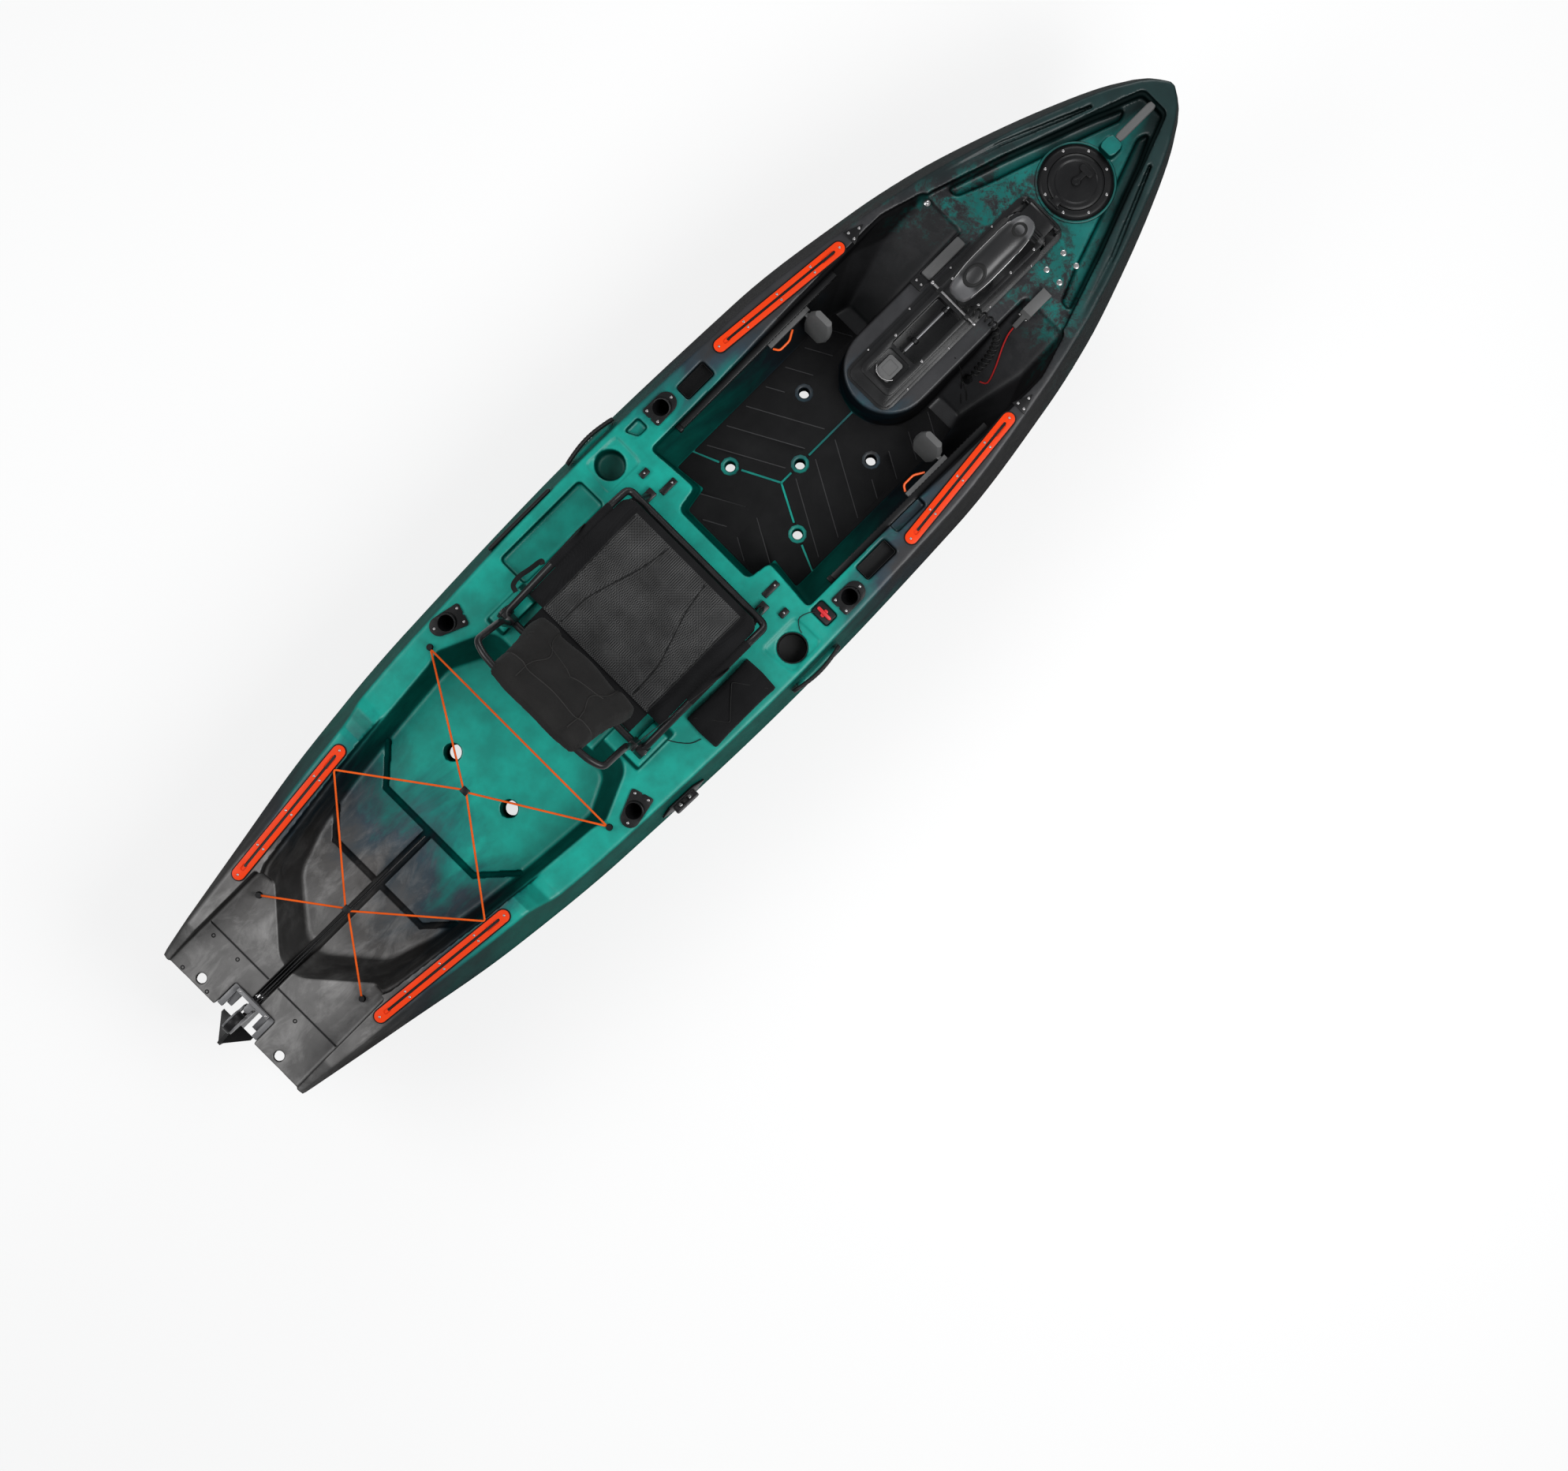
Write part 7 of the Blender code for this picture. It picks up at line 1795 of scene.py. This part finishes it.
def makeBackPad():
    rows = seatSet["pad"]
    ways = [0.0]
    for a, b in zip(rows, rows[1:]):
        ways.append(ways[-1] + math.hypot(b[0] - a[0], b[1] - a[1]))
    total = ways[-1]
    shares = [(-1.0, 0.0), (-0.92, 0.8), (-0.62, 1.0), (-0.56, 0.72), (0.0, 1.0), (0.56, 0.72), (0.62, 1.0),
              (0.92, 0.8), (1.0, 0.0)]

    def row(t):
        return [faired([(way, entry[n]) for way, entry in zip(ways, rows)], t) for n in range(4)]

    def placed(t, share, push, lift=0.0):
        # a spot the way t up the pad and the share of its width across, pushed out from its middle
        u, z, wide, thick = row(t)
        u1, z1 = row(min(t + 0.004, total))[:2]
        u0, z0 = row(max(t - 0.004, 0))[:2]
        along = Vector((u1 - u0, z1 - z0)).normalized()
        out = Vector((along.y, -along.x))
        return at(u + out.x * thick * push + out.x * lift - 0.012, wide * share,
                  z + out.y * thick * push + out.y * lift)

    count = 40
    rings = []
    for n in range(count + 1):
        t = total * n / count
        ring = []
        for i in range(49):
            share = -1 + 2 * i / 48
            push = faired(shares, share)
            near = abs(t - 0.205) + 0.10 * abs(share)
            push -= 0.30 * math.exp(-(near / 0.006) ** 2) + 0.26 * math.exp(-(abs(t - 0.30) / 0.006) ** 2)
            ring.append(placed(t, share, push))
        for i in range(1, 24):
            share = 1 - 2 * i / 24
            ring.append(placed(t, share, -0.5 * (1 - share ** 4)))
        rings.append(ring)
    pad = puffed(loft("seatBackPad", rings), 0.0055, 3.0, 0.004)
    cut(pad, backTube("sleeve", seatSet["tube"] - 0.001 + 0.0006, 4))
    # its lower end stays on the seat while the rest folds with the back
    foot, waist = at(1.385, 0, 0.490), at(1.372, 0, 0.645)
    bend(shaded(pad, 60), "padFabric", ("kayak", "seat_back"), foot, waist, "seat_back_pad")
    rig.padded(pad, fill=0.6)
    lines = {"padSeamPort": [(0.58 - 0.16 * math.exp(-((n / 40 - 0.52) / 0.13) ** 2), n / 40)
                             for n in range(2, 38)],
             "padSeamAcross": [(n / 20 - 1, 0.53 - 0.20 * abs(n / 20 - 1)) for n in range(9, 32)],
             "padSeamTop": [(n / 20 - 1, 0.80) for n in range(2, 39)]}
    lines["padSeamStarboard"] = [(-share, t) for share, t in lines["padSeamPort"]]
    for name, line in lines.items():
        route = []
        for share, t in line:
            near = pad.closest_point_on_mesh(placed(t * total, share, faired(shares, share), 0.004))
            route.append(near[1] + near[2] * 0.0006)
        bend(solidTube(name, route, 0.0018, resolution=2), "piping", ("kayak", "seat_back"), foot, waist)


def makeStraps():
    half, tube = seatSet["half"], seatSet["tube"]
    section = ((-0.0009, -0.010), (0.0009, -0.010), (0.0013, -0.004), (0.0013, 0.004), (0.0009, 0.010),
               (-0.0009, 0.010))
    for side, word in bothSides:
        upper = (seatSet["back"][2][0] + 0.004, half - 0.030 + tube + 0.0009, seatSet["back"][2][1])
        lower = (1.670, half + tube + 0.0017, straight(seatSet["side"], 1.670))
        share = (1.640 - upper[0]) / (lower[0] - upper[0])
        middle = (1.640, lower[1], upper[2] + (lower[2] - upper[2]) * share)
        spots = [Vector(upper), Vector(middle), Vector(lower)]
        line = [spots[0].lerp(spots[1], n / 20) for n in range(20)]
        line += [spots[1].lerp(spots[2], n / 4) for n in range(5)]
        rings = [[at(p.x, side * (p.y + out), p.z + up) for out, up in section] for p in line]
        strap = bend(shaded(loft("seatStrap_" + word, rings), 40), "webbing", ("seat_back", "kayak"),
                     at(upper[0], side * upper[1], upper[2]), at(lower[0], side * lower[1], lower[2]),
                     "seat_strap_" + word)
        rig.sheet(strap, flat=(lengthOf(spots), 0.020), held="stretched", rests_on=[nodes["seat_back_frame"]])
    spots = [(1.509, 0.284, 0.452), (1.512, 0.296, 0.430), (1.475, 0.304, 0.408), (1.439, 0.311, 0.402),
             (1.412, 0.305, 0.412), (1.404, 0.284, 0.434)]
    loop = through([at(*s) for s in spots], 8)
    rings = []
    for n, p in enumerate(loop):
        way = (loop[min(n + 1, len(loop) - 1)] - loop[max(n - 1, 0)]).normalized()
        flat = Vector((-way.y, way.x, 0)).normalized() * 0.0070
        thick = Vector((0, 0, 0.0008))
        rings.append([p - flat - thick, p + flat - thick, p + flat + thick, p - flat + thick])
    handle = trim(shaded(loft("carryLoop", rings), 40), "webbing")
    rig.sheet(handle, flat=(lengthOf(loop), 0.014), held="hung")


def makePouch():
    rows = [(1.486, 0.30), (1.494, 0.85), (1.545, 1.0), (1.606, 0.82), (1.667, 1.0), (1.718, 0.85),
            (1.726, 0.30)]
    edge = [(0.058, 0.5), (0.054, 0.86), (0.040, 0.97), (0.020, 1.0)]
    section = [(-0.056, 0.0), (0.0, 0.0), (0.056, 0.0), *edge, (0.0, 0.96)]
    section += [(-a, share) for a, share in reversed(edge)]
    middle, base = -0.34536, deckZ + 0.0003
    rings = []
    for n in range(31):
        u = 1.486 + 0.240 * n / 30
        high = 0.036 * faired(rows, u)
        rings.append([at(u, middle + a, base + (deckZ + high - base) * share) for a, share in section])
    pouch = puffed(loft("tacklePouch", rings), 0.0042, 4.0, 0.003)
    for vertex in pouch.data.vertices:
        vertex.co.z = max(vertex.co.z, deckZ + 0.0004)
    dress(shaded(pouch, 60), "blackFabric", "tackle_pouch")
    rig.padded(pouch, fill=0.6)
    top = deckZ + 0.036 + 0.0032
    spots = [(1.505, 0.044, -0.006), (1.566, -0.036, 0.0), (1.606, 0.002, -0.003), (1.648, 0.040, 0.0),
             (1.706, -0.044, -0.006)]
    route = filleted([at(u, middle + v, top + z) for u, v, z in spots], 0.008)
    thinCord("pouchCord", route, 0.0028, far_end="knot", stiffness="limp", lay="taut")
    spots = [(1.409, -0.291, 0.3612), (1.425, -0.318, 0.3605), (1.450, -0.345, 0.3605),
             (1.478, -0.357, 0.3635)]
    route = through([at(*s) for s in spots], 8)
    thinCord("pouchTether", route, 0.0026, far_end="object", stiffness="limp", lay="loose")


def makeSwitch():
    dressRefined("safety_switch", "blackPlastic", 0.0012)
    dressRefined("safety_clip", "redPlastic", 0.0016)
    spots = [(1.948, -0.334, 0.3558), (1.934, -0.320, 0.3600), (1.905, -0.312, 0.3600),
             (1.886, -0.330, 0.3600), (1.880, -0.346, 0.3570)]
    route = through([at(*s) for s in spots], 8)
    thinCord("switchLanyard", route, 0.0024, far_end="bare", stiffness="limp", lay="loose")


def laced(stops, reach, spacing):
    # straight runs with points at even spacings, and a short bend at each stop
    route = [stops[0]]
    for before, here, after in zip(stops, stops[1:], stops[2:]):
        start = here + (before - here).normalized() * reach
        end = here + (after - here).normalized() * reach
        steps = round((start - route[-1]).length / spacing)
        route += [route[-1].lerp(start, (i + 1) / (steps + 1)) for i in range(steps)]
        route += [start, start * 0.25 + here * 0.5 + end * 0.25, end]
    return route + [stops[-1]]


def makeBungee():
    stops = [at(*s) for s in ((0.310, 0.197, 0.336), (0.455, 0.005, 0.368), (0.708, 0.2925, 0.4265),
                              (0.918, 0.005, 0.395), (1.125, 0.344, 0.372))]
    eyes = {"rear": stops[0] + Vector((-0.0040, 0.0053, 0.0)),
            "front": stops[4] + Vector((0.0017, 0.0065, 0.0))}
    stops += [Vector((p.x, -p.y, p.z)) for p in reversed(stops)]
    route = laced(stops, 0.006, 0.40)
    cord = dress(curveTube("bungeeCord", route, 0.003), "orangeCord", "bungee")
    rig.cord(cord, exit=tuple(route[0]), length=lengthOf(route), diameter=0.006, far_end="knot",
            stiffness="medium", lay="taut")
    rows = [(0, 0.010), (0.003, 0.0100), (0.0045, 0.0094), (0.008, 0.0062), (0.0175, 0.0060),
            (0.0190, 0.0066), (0.0205, 0.0080), (0.021, 0.0078)]
    for side, word in bothSides:
        for place, eye in eyes.items():
            foot = Vector((eye.x, side * eye.y, eye.z - 0.014 + 0.0003))
            node = f"bungee_eye_{place}_{word}"
            dress(shaded(turned(node.replace("_", ""), rows, foot, upward, 28)), "blackPlastic", node)
    for place in ("rear", "front"):
        dressRefined("bungee_clip_" + place, "blackPlastic", 0.0015)


def makeStern():
    dressRefined("rudder_bracket", "rudderGrey", 0.0025, 3)
    dressRefined("rudder_head", "rudderGrey", 0.0010)
    dressRefined("rudder_blade", "blackPlastic", 0.0015)
    rows = [(-0.0008, 0.0062), (0.0008, 0.0062), (0.0016, 0.0052), (0.0016, 0.0036), (-0.0006, 0.0030)]
    spots = [(0.015, 0.21), (0.138, 0.212), (0.015, 0.115), (0.138, 0.118), (0.130, -0.115)]
    inserts = [turned("insert", rows, at(u, v, platformZ), upward, 24) for u, v in spots]
    trim(shaded(joined("sternInserts", inserts)), "blackRubber")
    seams = [prism("seam", stripe((0.1605, side * 0.0205), (0.1605, side * 0.249), 0.0024),
                   platformZ - 0.0035, platformZ + 0.0006) for side in (1, -1)]
    trim(joined("sternSeams", seams), "blackRubber")
    cheeks = [softEdges(block("cheek", 0.014, 0.0895, *between(side, 0.0585, 0.0765), 0.296, 0.318), 0.002)
              for side in (1, -1)]
    trim(shaded(joined("yokeCheeks", cheeks)), "rudderGrey")
    trim(rod("steeringRod", at(0.092, 0, 0.3185), at(0.735, 0, 0.2120), 0.0035), "blackMetal")
    lines = [solidTube("line", [at(0.096, side * 0.0085, 0.322), at(0.30, side * 0.0075, 0.300),
                                at(0.60, side * 0.0065, 0.2450)], 0.0016) for side in (1, -1)]
    trim(joined("steeringLines", lines), "blackRubber")
    screwSet("bracketBolts", "kayak", [(at(0.0845, side * 0.049, 0.345), upward) for side in (1, -1)], 0.0038)


def makeDeckTrim():
    slope = 0.045
    for _, word in bothSides:
        dressRefined("anchor_plate_" + word, "blackPlastic", 0.0010)
    for side, word in bothSides:
        z = sheerZ(2.760) + 0.0043
        spots = [(at(2.760 + a, side * (0.330 + b), z + slope * a), (-slope, 0, 1))
                 for a, b in ((-0.014, -0.011), (-0.014, 0.011), (0.016, 0.0))]
        screwSet("anchorScrews_" + word, "kayak", spots, 0.0042)
        toggles = []
        for u, v, z, long in ((1.884, 0.272, deckZ + 0.0004, 0.030), (1.905, 0.200, deckZ - 0.0056, 0.056)):
            sides = side * v - 0.0095, side * v + 0.0095
            toggle = block("toggle", u - long / 2, u + long / 2, *sides, z, z + 0.012)
            toggles.append(softEdges(toggle, 0.003))
        trim(shaded(joined("seatToggles_" + word, toggles)), "blackPlastic")
        spots = [(at(u, side * v, z), upward) for u, v, z in ((1.920, 0.200, deckZ + 0.0064),
                                                              (1.884, 0.272, deckZ + 0.0124))]
        screwSet("toggleScrews_" + word, "kayak", spots, 0.0034)
    dressRefined("paddle_keeper", "blackRubber", 0.0012)
    dressRefined("side_cleat", "blackPlastic", 0.0012)
    middle = at(1.325, 0.0125 - faired(hullLines["halfBeam"], 1.325), 0.298)
    boss = turned("cleatBoss", [(0.005, 0.0130), (0.0166, 0.0130), (0.0178, 0.0118)], middle,
                  (-0.027, -0.967, 0.252), 32)
    trim(shaded(boss), "blackRubber")
    skeg = refined("stern_skeg", 0.0012)
    markPaintedLight(skeg)
    dress(skeg, "hullPlastic", "stern_skeg")
    foot = at(cupU, -cupV, cupFloorZ)
    rows = [(0.003, 0.0395), (0.010, 0.0425), (0.084, 0.0425), (0.084, 0.0410), (0.011, 0.0410),
            (0.005, 0.0385)]
    liner = band("cupLiner", rows, foot, upward, 56)
    floor = turned("cupFloor", [(0.003, 0.0386), (0.0048, 0.0386)], foot, upward, 56)
    trim(shaded(joined("cupLiner", [liner, floor])), "blackRubber")
    for word, outline in (("port", roundedOutline(2.114, 2.213, 0.332, 0.376, 0.005)),
                          ("starboard", roundedOutline(2.114, 2.223, -0.370, -0.324, 0.005))):
        inner = grown(outline, -0.0012)
        levels = ((outline, 0.0492), (outline, 0.004), (inner, 0.004), (inner, 0.0475))
        rings = [[at(u, v, deckZ - deep) for u, v in shape] for shape, deep in levels]
        trim(shaded(loft("pocketLiner_" + word, rings)), "blackPlastic")


makeWellParts()
makeColumn()
makeHead()
makeLowerUnit()
makeConsoleTrim()
print("drive ready")
for side, word in bothSides:
    for place in rodSpots:
        makeRail(place, side, word)
    for place, (u, v) in rodSpots.items():
        makeRodHolder(f"{place}_rod_holder_{word}", u, side * v)
makeHatch()
makeHandles()
makeMat()
makeFootBraces()
print("deck ready")
makeSeatFrame()
makeSeatPan()
makePanFlap()
makeBackPad()
makeStraps()
makePouch()
makeSwitch()
makeBungee()
makeStern()
makeDeckTrim()
print("seat and stern ready")


visualBox = [list(corner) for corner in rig.bounds()]
with open("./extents.json", "w") as out:
    json.dump({"cad": cadBox, "visual": visualBox}, out)
